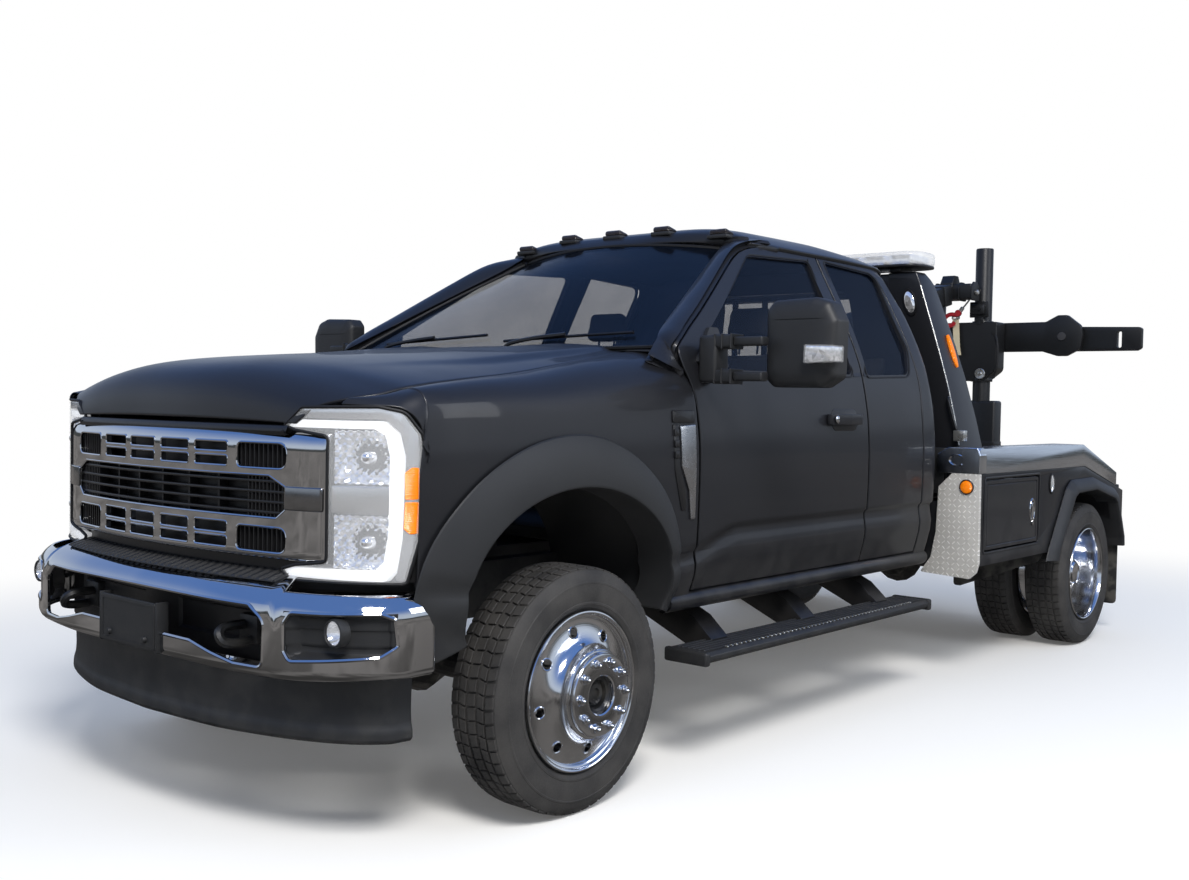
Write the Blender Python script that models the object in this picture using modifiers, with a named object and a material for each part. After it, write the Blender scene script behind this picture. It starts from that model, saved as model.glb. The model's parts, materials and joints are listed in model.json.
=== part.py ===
"""Tow truck: extended-cab, dual-rear-wheel cab chassis with a light auto-loader wrecker body.

Metres, +Z up.  The truck's nose points along -Y and its left (driver's) side is +X.
Every y below is measured from the front axle; ORIGIN_SHIFT_Y then centres the whole truck.
"""
import math

import bmesh
import bpy
from mathutils import Matrix, Vector

# ---------------------------------------------------------------- general clearances
SEAT_GAP = 0.0003            # between faces that rest on each other
RUNNING_GAP = 0.0005         # between a pin or slide and what it runs in
DOOR_GAP = 0.010             # shut line round a door
DOOR_INNER_GAP = 0.020       # behind a door, where its front edge swings inwards

# ---------------------------------------------------------------- chassis and axles
WHEELBASE = 4.27
TYRE_RADIUS = 0.406
TYRE_WIDTH = 0.226
RIM_RADIUS = 0.248           # bead seat
RIM_LIP_RADIUS = 0.262
BEAD_HALF = 0.084
HUB_OFFSET = 0.1195          # front hub face, inboard of the tyre's middle plane
DUAL_FACE = 0.1695           # rear hub face, inboard of the outer tyre's middle plane
FRONT_WHEEL_X = 0.950        # middle of the front tyre
REAR_OUTER_X = 1.080         # middle of the outer rear tyre
DUAL_SPACING = 0.300
KINGPIN_X = 0.770            # steering axis
KINGPIN_RADIUS = 0.045
KNUCKLE_HALF = 0.120
HUB_ROOT_X = 0.790
YOKE_X = (0.640, KINGPIN_X - KINGPIN_RADIUS - RUNNING_GAP)
RAIL_X = 0.450               # outer face of a frame rail
RAIL_WIDTH = 0.070
RAIL_BOTTOM = 0.560
RAIL_TOP = 0.760
FRAME_FRONT_Y = -0.780
FRAME_REAR_Y = WHEELBASE + 0.510
AXLE_RADIUS = 0.050
SPRING_PAD = 0.060
SPRING_FOOT = 0.013          # height of a spring's foot over its axle's centre
CROSSMEMBER_Y = (-0.700, 1.150, 2.600, WHEELBASE - 0.570, WHEELBASE + 0.430)
CROSSMEMBER_Z = (0.660, 0.740)
CROSSMEMBER_WIDTH = 0.070
CAB_MOUNT_Y = (0.660, 1.700, 2.560)

# ---------------------------------------------------------------- cab
CAB_FRONT_Y = 0.600          # firewall
CAB_REAR_Y = 2.690
SILL_BOTTOM = 0.600
FLOOR_BOTTOM = 0.780
FLOOR_TOP = 0.840
DOOR_BOTTOM = 0.660
BELT_Z = 1.540               # foot of the windshield and of the window frames
DOOR_TOP = 2.000
HEADER_Z = 2.020             # top of the windshield
HEADER_Y = 1.430
ROOF_TOP = 2.075
ROOF_HALF = 0.620
DOOR_THICK = 0.100
FRAME_THICK = 0.050          # window frames and roof
REAR_WALL = 0.060
SIDE_PROFILE = (             # height, half width of the cab's outer side
    (0.600, 0.975),
    (0.850, 1.000),
    (1.250, 1.012),
    (1.540, 0.950),
    (2.020, 0.715),
)
HINGE_X = 1.020              # hinge line of the cab doors
KNUCKLE_X = 0.990            # door hinge knuckles, in the shut line
FRONT_DOOR_Y = (0.690, 1.965)
REAR_DOOR_Y = (1.977, 2.500)
FRONT_DOOR_FOOT_Y = 0.610    # the front door's foremost point, at the belt
FRONT_DOOR_TOP_Y = 1.390     # where the A-pillar meets the roof
GLASS = 0.006
WINDSHIELD_FOOT_HALF = 0.800
WINDSHIELD_HEAD_HALF = 0.600
WINDSHIELD_MARGIN = 0.055    # pillar and header round the glass

# ---------------------------------------------------------------- front end
NOSE_Y = -0.660              # front edge of the fenders
FENDER_X = 1.020
FENDER_THICK = 0.060
FENDER_TOP = 1.480
ARCH_HALF = 0.500
ARCH_TOP = 1.070
HOOD_THICK = 0.040
HOOD_HINGE_Y = 0.565
HOOD_HINGE_Z = 1.590
HOOD_SECTIONS = (            # y, half width, height at the edge, height on the centre line
    (-0.860, 0.660, 1.275, 1.285),
    (-0.830, 0.720, 1.350, 1.395),
    (-0.700, 0.780, 1.400, 1.450),
    (-0.300, 0.785, 1.440, 1.495),
    (0.200, 0.770, 1.480, 1.535),
    (0.575, 0.740, 1.520, 1.570),
)
GRILLE_Y = -0.900
GRILLE_HALF = 0.750
GRILLE_BOTTOM = 0.860
GRILLE_TOP = 1.240
BUMPER_Y = -0.990
BUMPER_HALF = 1.000
BUMPER_BOTTOM = 0.525
BUMPER_TOP = 0.830
DAM_BOTTOM = 0.320
LAMP_BOTTOM = 0.831
LAMP_TOP = 1.300
LAMP_INNER_X = 0.770
LAMP_OUTER_X = 0.985

# ---------------------------------------------------------------- running boards and mirrors
BOARD_Y = (0.600, 2.410)
BOARD_X = (0.930, 1.115)
BOARD_Z = (0.405, 0.450)
MIRROR_HEAD_X = (1.200, 1.490)
MIRROR_HEAD_Y = (0.770, 0.910)
MIRROR_HEAD_Z = (1.410, 1.735)
MIRROR_BASE_Y = (0.700, 0.790)

# ---------------------------------------------------------------- wrecker body
BODY_HALF = 1.200
BODY_FRONT_Y = WHEELBASE - 1.530
BODY_REAR_Y = WHEELBASE + 0.550
DECK_TOP = 0.930
DECK_THICK = 0.020
CAP_TOP = 1.153
CAP_BOTTOM = 1.030
CAP_WIDTH = 0.170
CAP_KINK_Y = WHEELBASE - 0.150    # where the cap starts to slope
CAP_END_Y = BODY_REAR_Y - 0.130
CAP_END_TOP = 0.978
BOX_BOTTOM = 0.580
BOX_REAR_Y = BODY_FRONT_Y + 0.810
BOX_INNER_X = 0.720
SKIN = 0.030
REAR_ARCH = 0.500
TOOLBOX_Y = (BODY_FRONT_Y + 0.060, BODY_FRONT_Y + 0.730)
TOOLBOX_Z = (0.655, 0.995)
TOOLBOX_DOOR = 0.025         # thickness
FLARE_PROUD = 0.018

# ---------------------------------------------------------------- cab guard, mast and boom
GUARD_Y = BODY_FRONT_Y + 0.200
GUARD_TOP = 2.050
GUARD_SECTIONS = (           # height, inner x, outer x, rear y
    (DECK_TOP + SEAT_GAP, BODY_HALF - 0.340, BODY_HALF - 0.180, GUARD_Y + 0.340),
    (1.155, BODY_HALF - 0.400, BODY_HALF - 0.205, GUARD_Y + 0.280),
    (GUARD_TOP, 0.560, 0.740, GUARD_Y + 0.160),
)
LIGHT_BAR_HALF = 0.776
LIGHT_BAR_Y = (GUARD_Y - 0.070, GUARD_Y + 0.210)
LIGHT_BAR_TOP = 2.150
MAST_Y = (GUARD_Y + 0.390, GUARD_Y + 0.620)
MAST_HALF = 0.160
MAST_TOP = 1.680
BOOM_PIVOT = (MAST_Y[0] + 0.120, 1.800)  # y, z
BOOM_HEAD = (BOOM_PIVOT[0] + 1.480, 2.120)  # y, z of the middle of the head
BOOM_HALF = 0.060
HEAD_HALF = 0.175
HEAD_Z = (2.068, 2.175)
HOOK_X = 0.045
BOOM_EAR = 0.014
CYLINDER_FOOT = (BOOM_PIVOT[0] + 0.310, 1.120)
CYLINDER_EYE = (BOOM_PIVOT[0] + 0.770, 1.850)
BARREL_RADIUS = 0.045
ROD_RADIUS = 0.022
BARREL_LENGTH = 0.560

# ---------------------------------------------------------------- wheel lift
LIFT_PIVOT = (FRAME_REAR_Y + 0.200, 0.620)  # y, z
TUBE_Y = LIFT_PIVOT[0] + 0.120
TUBE_X = 0.165
TUBE_RADIUS = 0.057
TUBE_TOP = {"left": 2.420, "right": 2.150}    # the right tube ends below the boom's head
COLUMN_X = (0.100, 0.290)
COLUMN_TOP = 1.400
CARRIAGE_HALF = 0.290
CARRIAGE_Y = (TUBE_Y - 0.070, TUBE_Y + 0.070)
CARRIAGE_Z = (1.540, 1.925)
CROSSBAR_Z = (1.728, 1.925)
CROSSBAR_Y = (CARRIAGE_Y[1] + 0.010, CARRIAGE_Y[1] + 0.050)
HUMP_X = 0.670
HUMP_RADIUS = 0.133
ARM_Y = (CROSSBAR_Y[1] + 0.0053, CROSSBAR_Y[1] + 0.0453)
ARM_Z = (1.730, 1.874)
ARM_END_X = 1.160
ARM_SLOT_X = 1.020

TRUCK_FRONT_Y = BUMPER_Y - 0.012
TRUCK_REAR_Y = ARM_Y[1]
ORIGIN_SHIFT_Y = -(TRUCK_FRONT_Y + TRUCK_REAR_Y) / 2

# ---------------------------------------------------------------- joint lines of the moving bodies
REAR_INNER_X = REAR_OUTER_X - DUAL_SPACING
ARM_PIVOT_Z = (CROSSBAR_Z[0] + CROSSBAR_Z[1]) / 2
PIVOTS = {
    "root": (0.0, 0.0, 0.0),
    "hood": (0.0, HOOD_HINGE_Y, HOOD_HINGE_Z),
    "boom": (0.0, BOOM_PIVOT[0], BOOM_PIVOT[1]),
    "boom_barrel": (0.0, CYLINDER_FOOT[0], CYLINDER_FOOT[1]),
    "boom_rod": (0.0, CYLINDER_EYE[0], CYLINDER_EYE[1]),
    "lift": (0.0, LIFT_PIVOT[0], LIFT_PIVOT[1]),
    "carriage": (0.0, TUBE_Y, ARM_PIVOT_Z),
    "crossbar": (0.0, CROSSBAR_Y[0], ARM_PIVOT_Z),
}
SIDES = (("left", 1), ("right", -1))
for side, sign in SIDES:
    PIVOTS["front_door_" + side] = (sign * HINGE_X, FRONT_DOOR_Y[0] - DOOR_GAP / 2, DOOR_BOTTOM)
    PIVOTS["rear_door_" + side] = (sign * HINGE_X, REAR_DOOR_Y[1] + DOOR_GAP / 2, DOOR_BOTTOM)
    PIVOTS["toolbox_" + side] = (sign * BODY_HALF, TOOLBOX_Y[0] - DOOR_GAP / 2, TOOLBOX_Z[0])
    PIVOTS["arm_" + side] = (sign * HUMP_X, ARM_Y[0], ARM_PIVOT_Z)
    PIVOTS["knuckle_" + side] = (sign * KINGPIN_X, 0.0, TYRE_RADIUS)
    PIVOTS["front_wheel_" + side] = (sign * FRONT_WHEEL_X, 0.0, TYRE_RADIUS)
    PIVOTS["rear_wheel_" + side] = (sign * REAR_OUTER_X, WHEELBASE, TYRE_RADIUS)

# ---------------------------------------------------------------- materials
PAINTS = {                   # colour, roughness, metallic
    "body_paint": ((0.045, 0.050, 0.058), 0.35, 0.5),
    "black_plastic": ((0.012, 0.012, 0.013), 0.55, 0.0),
    "black_steel": ((0.010, 0.010, 0.011), 0.35, 0.3),
    "frame_steel": ((0.020, 0.020, 0.021), 0.50, 0.4),
    "chrome": ((0.75, 0.76, 0.78), 0.08, 1.0),
    "polished_aluminium": ((0.70, 0.71, 0.73), 0.18, 1.0),
    "bright_plate": ((0.55, 0.58, 0.62), 0.30, 1.0),
    "tyre_rubber": ((0.018, 0.018, 0.018), 0.85, 0.0),
    "window_glass": ((0.03, 0.04, 0.07), 0.05, 0.0),
    "lamp_glass": ((0.70, 0.72, 0.75), 0.10, 0.0),
    "seat_fabric": ((0.03, 0.03, 0.035), 0.90, 0.0),
}


def paint(name):
    if name in bpy.data.materials:
        return bpy.data.materials[name]
    colour, roughness, metallic = PAINTS[name]
    made = bpy.data.materials.new(name)
    made.use_nodes = True
    shader = made.node_tree.nodes["Principled BSDF"]
    shader.inputs["Base Color"].default_value = (*colour, 1.0)
    shader.inputs["Roughness"].default_value = roughness
    shader.inputs["Metallic"].default_value = metallic
    made.diffuse_color = (*colour, 1.0)
    return made


# ---------------------------------------------------------------- scene and shape helpers
for old in list(bpy.data.objects):
    bpy.data.objects.remove(old)

PARTS = bpy.data.collections.new("tow_truck")
TOOLS = bpy.data.collections.new("tow_truck_tools")
bpy.context.scene.collection.children.link(PARTS)
bpy.context.scene.collection.children.link(TOOLS)

AXIS_FRAMES = {              # columns: outline's first and second direction, extrusion
    "x": Matrix(((0, 0, 1, 0), (1, 0, 0, 0), (0, 1, 0, 0), (0, 0, 0, 1))),
    "y": Matrix(((1, 0, 0, 0), (0, 0, -1, 0), (0, 1, 0, 0), (0, 0, 0, 1))),
    "z": Matrix.Identity(4),
}


def add(name, mesh, body="root", colour=None):
    """Object whose origin is on its body's joint line; without a colour it is a tool."""
    pivot = Vector(PIVOTS[body])
    mesh.transform(Matrix.Translation(-pivot))
    made = bpy.data.objects.new(name, mesh)
    made.location = pivot + Vector((0.0, ORIGIN_SHIFT_Y, 0.0))
    if colour is None:
        TOOLS.objects.link(made)
        made.hide_render = True
        made.display_type = "WIRE"
    else:
        PARTS.objects.link(made)
        mesh.materials.clear()
        mesh.materials.append(paint(colour))
    return made


def finish_bmesh(bm, name):
    bmesh.ops.recalc_face_normals(bm, faces=bm.faces)
    mesh = bpy.data.meshes.new(name)
    bm.to_mesh(mesh)
    bm.free()
    return mesh


def block(name, x, y, z, body="root", colour=None):
    bm = bmesh.new()
    size = Matrix.Diagonal((x[1] - x[0], y[1] - y[0], z[1] - z[0], 1.0))
    middle = Matrix.Translation(((x[0] + x[1]) / 2, (y[0] + y[1]) / 2, (z[0] + z[1]) / 2))
    bmesh.ops.create_cube(bm, size=1.0, matrix=middle @ size)
    return add(name, finish_bmesh(bm, name), body, colour)


def curve_mesh(curve_data):
    """Mesh of a curve, with its loose caps welded on."""
    holder = bpy.data.objects.new(curve_data.name, curve_data)
    TOOLS.objects.link(holder)
    bpy.context.view_layer.update()
    depsgraph = bpy.context.evaluated_depsgraph_get()
    mesh = bpy.data.meshes.new_from_object(holder.evaluated_get(depsgraph))
    bpy.data.objects.remove(holder)
    bm = bmesh.new()
    bm.from_mesh(mesh)
    bmesh.ops.remove_doubles(bm, verts=bm.verts, dist=0.00001)
    bmesh.ops.recalc_face_normals(bm, faces=bm.faces)
    bm.to_mesh(mesh)
    bm.free()
    return mesh


def outline_mesh(name, outline, thickness):
    data = bpy.data.curves.new(name, "CURVE")
    data.dimensions = "2D"
    data.fill_mode = "BOTH"
    data.extrude = thickness / 2
    spline = data.splines.new("POLY")
    spline.points.add(len(outline) - 1)
    for point, (u, v) in zip(spline.points, outline):
        point.co = (u, v, 0.0, 1.0)
    spline.use_cyclic_u = True
    return curve_mesh(data)


def panel(name, outline, axis, span, body="root", colour=None):
    """Flat outline, given as (y, z), (x, z) or (x, y) for axis x, y or z, between span's planes."""
    mesh = outline_mesh(name, outline, abs(span[1] - span[0]))
    middle = (span[0] + span[1]) / 2
    offset = Vector([middle if letter == axis else 0.0 for letter in "xyz"])
    mesh.transform(Matrix.Translation(offset) @ AXIS_FRAMES[axis])
    return add(name, mesh, body, colour)


def loft(name, rings, body="root", colour=None):
    """Closed solid through rings of equally many points."""
    bm = bmesh.new()
    loops = [[bm.verts.new(point) for point in ring] for ring in rings]
    for low, high in zip(loops, loops[1:]):
        for i in range(len(low)):
            j = (i + 1) % len(low)
            bm.faces.new((low[i], low[j], high[j], high[i]))
    bm.faces.new(loops[0])
    bm.faces.new(loops[-1])
    return add(name, finish_bmesh(bm, name), body, colour)


def turned(name, profile, centre, direction, colour=None, steps=28):
    """Profile of (radius, distance along direction), outer side from far end to near end."""
    bm = bmesh.new()
    verts = [bm.verts.new((radius, 0.0, along)) for radius, along in profile]
    for first, second in zip(verts, verts[1:]):
        bm.edges.new((first, second))
    if profile[0][0] > 0.0:
        bm.edges.new((verts[-1], verts[0]))
    mesh = bpy.data.meshes.new(name)
    bm.to_mesh(mesh)
    bm.free()
    made = add(name, mesh, "root", colour)
    made.rotation_euler = Vector(direction).to_track_quat("Z", "Y").to_euler()
    made.location = Vector(centre) + Vector((0.0, ORIGIN_SHIFT_Y, 0.0))
    spin = made.modifiers.new("turn", "SCREW")
    spin.steps = steps
    spin.render_steps = steps
    spin.use_merge_vertices = True
    spin.merge_threshold = 0.00001
    return made


def rod(name, start, end, radius, body="root", colour=None, sides=16):
    bm = bmesh.new()
    run = Vector(end) - Vector(start)
    turn = run.to_track_quat("Z", "Y").to_matrix().to_4x4()
    place = Matrix.Translation((Vector(start) + Vector(end)) / 2) @ turn
    bmesh.ops.create_cone(
        bm, cap_ends=True, segments=sides, radius1=radius, radius2=radius,
        depth=run.length, matrix=place,
    )
    return add(name, finish_bmesh(bm, name), body, colour)


def pipe(name, points, radius, body="root", colour=None):
    data = bpy.data.curves.new(name, "CURVE")
    data.dimensions = "3D"
    data.bevel_depth = radius
    data.bevel_resolution = 2
    data.use_fill_caps = True
    spline = data.splines.new("POLY")
    spline.points.add(len(points) - 1)
    for point, place in zip(spline.points, points):
        point.co = (*place, 1.0)
    return add(name, curve_mesh(data), body, colour)


def boolean(target, operation, *tools):
    for tool in tools:
        step = target.modifiers.new(tool.name, "BOOLEAN")
        step.operation = operation
        step.object = tool
    return target


def join(target, *tools):
    return boolean(target, "UNION", *tools)


def cut(target, *tools):
    return boolean(target, "DIFFERENCE", *tools)


def arc(centre, radii, start, end, count):
    """Points on an ellipse's arc, angles in degrees, both ends included."""
    points = []
    for i in range(count + 1):
        angle = math.radians(start + (end - start) * i / count)
        across = radii[0] * math.cos(angle)
        up = radii[1] * math.sin(angle)
        points.append((centre[0] + across, centre[1] + up))
    return points


def interpolate(table, value):
    for (low, first), (high, second) in zip(table, table[1:]):
        if value <= high:
            return first + (second - first) * (value - low) / (high - low)
    return table[-1][1]


def side_x(z):
    return interpolate(SIDE_PROFILE, z)


def mirrored(span, sign):
    """The span as it lies on the left (+1) or the right (-1) side."""
    return (span[0], span[1]) if sign > 0 else (-span[1], -span[0])


# ---------------------------------------------------------------- chassis
def make_chassis():
    frame = block(
        "chassis_frame", (RAIL_X - RAIL_WIDTH, RAIL_X), (FRAME_FRONT_Y, FRAME_REAR_Y),
        (RAIL_BOTTOM, RAIL_TOP), colour="frame_steel",
    )
    right = (-RAIL_X, RAIL_WIDTH - RAIL_X)
    pieces = [block("rail_right", right, (FRAME_FRONT_Y, FRAME_REAR_Y), (RAIL_BOTTOM, RAIL_TOP))]
    inner = RAIL_X - RAIL_WIDTH / 2
    for number, y in enumerate(CROSSMEMBER_Y):
        span = (y, y + CROSSMEMBER_WIDTH)
        pieces.append(block(f"crossmember_{number}", (-inner, inner), span, CROSSMEMBER_Z))
    pieces.append(block("fuel_tank", (0.080, inner), (1.300, 2.400), (0.470, 0.690)))
    mount_z = (RAIL_TOP - 0.060, FLOOR_BOTTOM - SEAT_GAP)
    for number, y in enumerate(CAB_MOUNT_Y):
        for side, sign in SIDES:
            span = mirrored((RAIL_X - 0.060, RAIL_X + 0.090), sign)
            pieces.append(block(f"cab_mount_{number}_{side}", span, (y, y + 0.090), mount_z))
    run = [(-0.250, 0.900, 0.640), (-0.250, 2.500, 0.640), (-0.330, 2.640, 0.600), (-0.880, 2.660, 0.520)]
    pieces.append(pipe("exhaust", run, 0.040))
    pieces.append(rod("muffler", (-0.250, 1.500, 0.620), (-0.250, 2.200, 0.620), 0.095))
    pivot_y, pivot_z = LIFT_PIVOT
    for side, sign in SIDES:
        ear = panel(
            f"lift_ear_{side}",
            [(FRAME_REAR_Y - 0.180, 0.560), (pivot_y, pivot_z - 0.080), (pivot_y + 0.060, pivot_z),
             (pivot_y, pivot_z + 0.080), (FRAME_REAR_Y - 0.180, 0.740)],
            "x", mirrored((COLUMN_X[1] + RUNNING_GAP, RAIL_X - RAIL_WIDTH / 2), sign),
        )
        pieces.append(ear)
    join(frame, *pieces)

    engine = block("powertrain", (-0.300, 0.300), (-0.420, 0.350), (0.640, 1.200), colour="frame_steel")
    gearbox = block("gearbox", (-0.150, 0.150), (0.300, 1.148), (0.560, 0.760))
    shaft = rod("driveshaft", (0.0, 1.100, 0.600), (0.0, WHEELBASE - 0.190, 0.430), 0.040)
    reach = RAIL_X - RAIL_WIDTH - SEAT_GAP
    foot = block("engine_foot", (-reach, reach), (-0.150, -0.050), CROSSMEMBER_Z)
    join(engine, gearbox, shaft, foot)


def make_axles():
    z = TYRE_RADIUS
    end = YOKE_X[1] - 0.010
    front = rod("front_axle", (-end, 0.0, z), (end, 0.0, z), AXLE_RADIUS, colour="frame_steel")
    bulb = [(0, 0.12), (0.10, 0.08), (0.13, 0.0), (0.10, -0.08), (0, -0.12)]
    pieces = [turned("front_differential", bulb, (0.25, 0.0, z), (0, 1, 0), steps=16)]
    for side, sign in SIDES:
        x = sign * (RAIL_X - RAIL_WIDTH / 2)
        foot = (x, 0.0, z + SPRING_FOOT)
        pieces.append(rod(f"coil_spring_{side}", foot, (x, 0.0, RAIL_BOTTOM - SEAT_GAP), SPRING_PAD))
        yoke_z = (z - 0.060, z + 0.060)
        pieces.append(block(f"yoke_{side}", mirrored(YOKE_X, sign), (-0.060, 0.060), yoke_z))
    join(front, *pieces)

    end = REAR_OUTER_X - DUAL_FACE - RUNNING_GAP
    rear = rod("rear_axle", (-end, WHEELBASE, z), (end, WHEELBASE, z), 0.060, colour="frame_steel")
    bulb = [(0, 0.16), (0.12, 0.10), (0.17, 0.0), (0.12, -0.10), (0, -0.14)]
    pieces = [turned("rear_differential", bulb, (0.0, WHEELBASE, z), (0, 1, 0), steps=16)]
    for side, sign in SIDES:
        span = mirrored((RAIL_X + 0.020, RAIL_X + 0.100), sign)
        leaf = [(-0.670, 0.560), (-0.370, 0.470), (0.370, 0.470), (0.630, 0.560),
                (0.630, 0.600), (0.370, 0.530), (-0.370, 0.530), (-0.670, 0.600)]
        leaf = [(WHEELBASE + y, height) for y, height in leaf]
        pieces.append(panel(f"leaf_spring_{side}", leaf, "x", span))
        seat_y = (WHEELBASE - 0.080, WHEELBASE + 0.080)
        pieces.append(block(f"spring_seat_{side}", span, seat_y, (0.400, 0.480)))
        hanger = mirrored((RAIL_X + SEAT_GAP, RAIL_X + 0.060), sign)
        for number, y in enumerate((WHEELBASE - 0.670, WHEELBASE + 0.390)):
            pieces.append(block(f"hanger_{side}_{number}", hanger, (y, y + 0.050), (0.500, 0.640)))
    join(rear, *pieces)


# ---------------------------------------------------------------- wheels
def tyre_profile(half):
    side = [(RIM_RADIUS + SEAT_GAP, BEAD_HALF - 0.004), (RIM_LIP_RADIUS + 0.004, BEAD_HALF),
            (RIM_LIP_RADIUS + 0.014, half * 0.93), (0.330, half), (TYRE_RADIUS - 0.040, half * 0.96),
            (TYRE_RADIUS - 0.004, half * 0.76)]
    return side + [(TYRE_RADIUS, 0.0)] + [(radius, -along) for radius, along in reversed(side)]


def flange(middle, sign):
    """Rim flange from its bead seat out, about a tyre's middle plane."""
    return [(RIM_RADIUS, middle + sign * BEAD_HALF),
            (RIM_LIP_RADIUS, middle + sign * (BEAD_HALF + 0.012)),
            (RIM_LIP_RADIUS - 0.004, middle + sign * (BEAD_HALF + 0.018)),
            (0.238, middle + sign * (BEAD_HALF + 0.014))]


def front_rim_profile():
    """Radius, and distance outboard of the tyre's middle plane."""
    face = [(0.000, 0.215), (0.055, 0.215), (0.062, 0.150), (0.105, 0.145), (0.115, 0.115), (0.200, 0.095),
            (0.232, 0.070)]
    back = [(0.228, 0.030), (0.120, 0.055), (0.105, -HUB_OFFSET), (0.000, -HUB_OFFSET)]
    return face + flange(0.0, 1)[::-1] + flange(0.0, -1) + back


def rear_rims_profile():
    dish = [(0.000, 0.060), (0.075, 0.060), (0.085, -0.090), (0.200, -0.120), (0.228, -0.090)]
    waist = [(0.210, -DUAL_SPACING / 2 + 0.005), (0.210, -DUAL_SPACING / 2 - 0.005)]
    back = [(0.236, -0.230), (0.200, -0.180), (0.110, -DUAL_FACE), (0.000, -DUAL_FACE)]
    return dish + flange(0.0, 1)[::-1] + flange(0.0, -1) + waist + flange(-DUAL_SPACING, 1)[::-1] + \
        flange(-DUAL_SPACING, -1) + back


def make_wheels():
    z = TYRE_RADIUS
    half = TYRE_WIDTH / 2
    for side, sign in SIDES:
        outward = (sign, 0, 0)
        centre = (sign * FRONT_WHEEL_X, 0.0, z)
        turned(f"front_tyre_{side}", tyre_profile(half), centre, outward, colour="tyre_rubber")
        turned(f"front_rim_{side}", front_rim_profile(), centre, outward, colour="polished_aluminium")
        outer = (sign * REAR_OUTER_X, WHEELBASE, z)
        inner = (sign * REAR_INNER_X, WHEELBASE, z)
        turned(f"rear_tyre_outer_{side}", tyre_profile(half), outer, outward, colour="tyre_rubber")
        turned(f"rear_tyre_inner_{side}", tyre_profile(half), inner, outward, colour="tyre_rubber")
        turned(f"rear_rims_{side}", rear_rims_profile(), outer, outward, colour="polished_aluminium")
        hub_face = FRONT_WHEEL_X - HUB_OFFSET - RUNNING_GAP
        body = f"knuckle_{side}"
        x = sign * KINGPIN_X
        knuckle = rod(f"knuckle_{side}", (x, 0.0, z - KNUCKLE_HALF), (x, 0.0, z + KNUCKLE_HALF),
                      KINGPIN_RADIUS, body, "frame_steel", 28)
        root = (sign * HUB_ROOT_X, 0.0, z)
        join(knuckle, rod(f"hub_{side}", root, (sign * hub_face, 0.0, z), 0.095, body))


# ---------------------------------------------------------------- cab
def cab_ring(z, half, front, rear):
    return [(half, front, z), (half, rear, z), (-half, rear, z), (-half, front, z)]


def pillar_y(z):
    """Front of the cab at height z: firewall, then the raked windshield."""
    if z <= BELT_Z:
        return CAB_FRONT_Y
    return CAB_FRONT_Y + (HEADER_Y - CAB_FRONT_Y) * (z - BELT_Z) / (HEADER_Z - BELT_Z)


def cab_solid(name, inset, colour=None):
    """Outer cab (inset False) or its inside (inset True)."""
    rings = []
    if inset:
        thin = BELT_Z + 0.020
        top = HEADER_Z - 0.005
        for z, wall in ((FLOOR_TOP, DOOR_THICK), (1.250, DOOR_THICK), (BELT_Z - 0.020, DOOR_THICK),
                        (thin, FRAME_THICK), (top, FRAME_THICK)):
            rings.append(cab_ring(z, side_x(z) - wall, pillar_y(z) + FRAME_THICK, CAB_REAR_Y - REAR_WALL))
        rings.append(cab_ring(ROOF_TOP - FRAME_THICK, ROOF_HALF, HEADER_Y + 0.080, CAB_REAR_Y - REAR_WALL))
    else:
        for z, half in SIDE_PROFILE:
            rings.append(cab_ring(z, half, pillar_y(z), CAB_REAR_Y))
        rings.append(cab_ring(ROOF_TOP, ROOF_HALF, HEADER_Y + 0.090, CAB_REAR_Y - 0.060))
    return loft(name, rings, colour=colour)


def door_front_y(z):
    if z <= 1.300:
        return FRONT_DOOR_Y[0]
    if z <= BELT_Z:
        return FRONT_DOOR_Y[0] + (FRONT_DOOR_FOOT_Y - FRONT_DOOR_Y[0]) * (z - 1.300) / (BELT_Z - 1.300)
    return FRONT_DOOR_FOOT_Y + (FRONT_DOOR_TOP_Y - FRONT_DOOR_FOOT_Y) * (z - BELT_Z) / (DOOR_TOP - BELT_Z)


DOOR_LEVELS = (              # height, door thickness there
    (DOOR_BOTTOM, DOOR_THICK),
    (0.850, DOOR_THICK),
    (1.250, DOOR_THICK),
    (1.300, DOOR_THICK),
    (BELT_Z - 0.020, DOOR_THICK),
    (BELT_Z + 0.020, FRAME_THICK),
    (DOOR_TOP, FRAME_THICK),
)


def door_solid(name, sign, front, rear, front_slant, rear_slant, body, colour):
    """Door between two edge functions; a slant draws the edge's inner side back, per metre of depth."""
    rings = []
    for z, depth in DOOR_LEVELS:
        outer = side_x(z)
        inner = outer - depth
        inner_front = front(z) + front_slant * depth
        inner_rear = rear(z) - rear_slant * depth
        rings.append([
            (sign * outer, front(z), z), (sign * outer, rear(z), z),
            (sign * inner, inner_rear, z), (sign * inner, inner_front, z),
        ])
    return loft(name, rings, body, colour)


def hinge_knuckle(name, sign, x, axis_y, toward, z, body):
    """Small round knuckle in the shut line, joined to the door that lies toward +y or -y."""
    radius = DOOR_GAP / 2 - RUNNING_GAP
    angles = (180, 360) if toward > 0 else (0, 180)
    outline = arc((x * sign, axis_y), (radius, radius), *angles, 8)
    reach = axis_y + toward * (DOOR_GAP / 2 + 0.010)
    outline.append((outline[-1][0], reach))
    outline.append((outline[0][0], reach))
    return panel(name, outline, "z", z, body)


FRONT_WINDOW = ((0.830, 1.490), (1.885, 1.500), (1.885, 1.955), (1.400, 1.935), (0.830, 1.590))
REAR_WINDOW = ((2.045, 1.505), (2.440, 1.520), (2.450, 1.930), (2.045, 1.950))
HINGE_HEIGHTS = ((0.880, 0.960), (1.160, 1.240))


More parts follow.
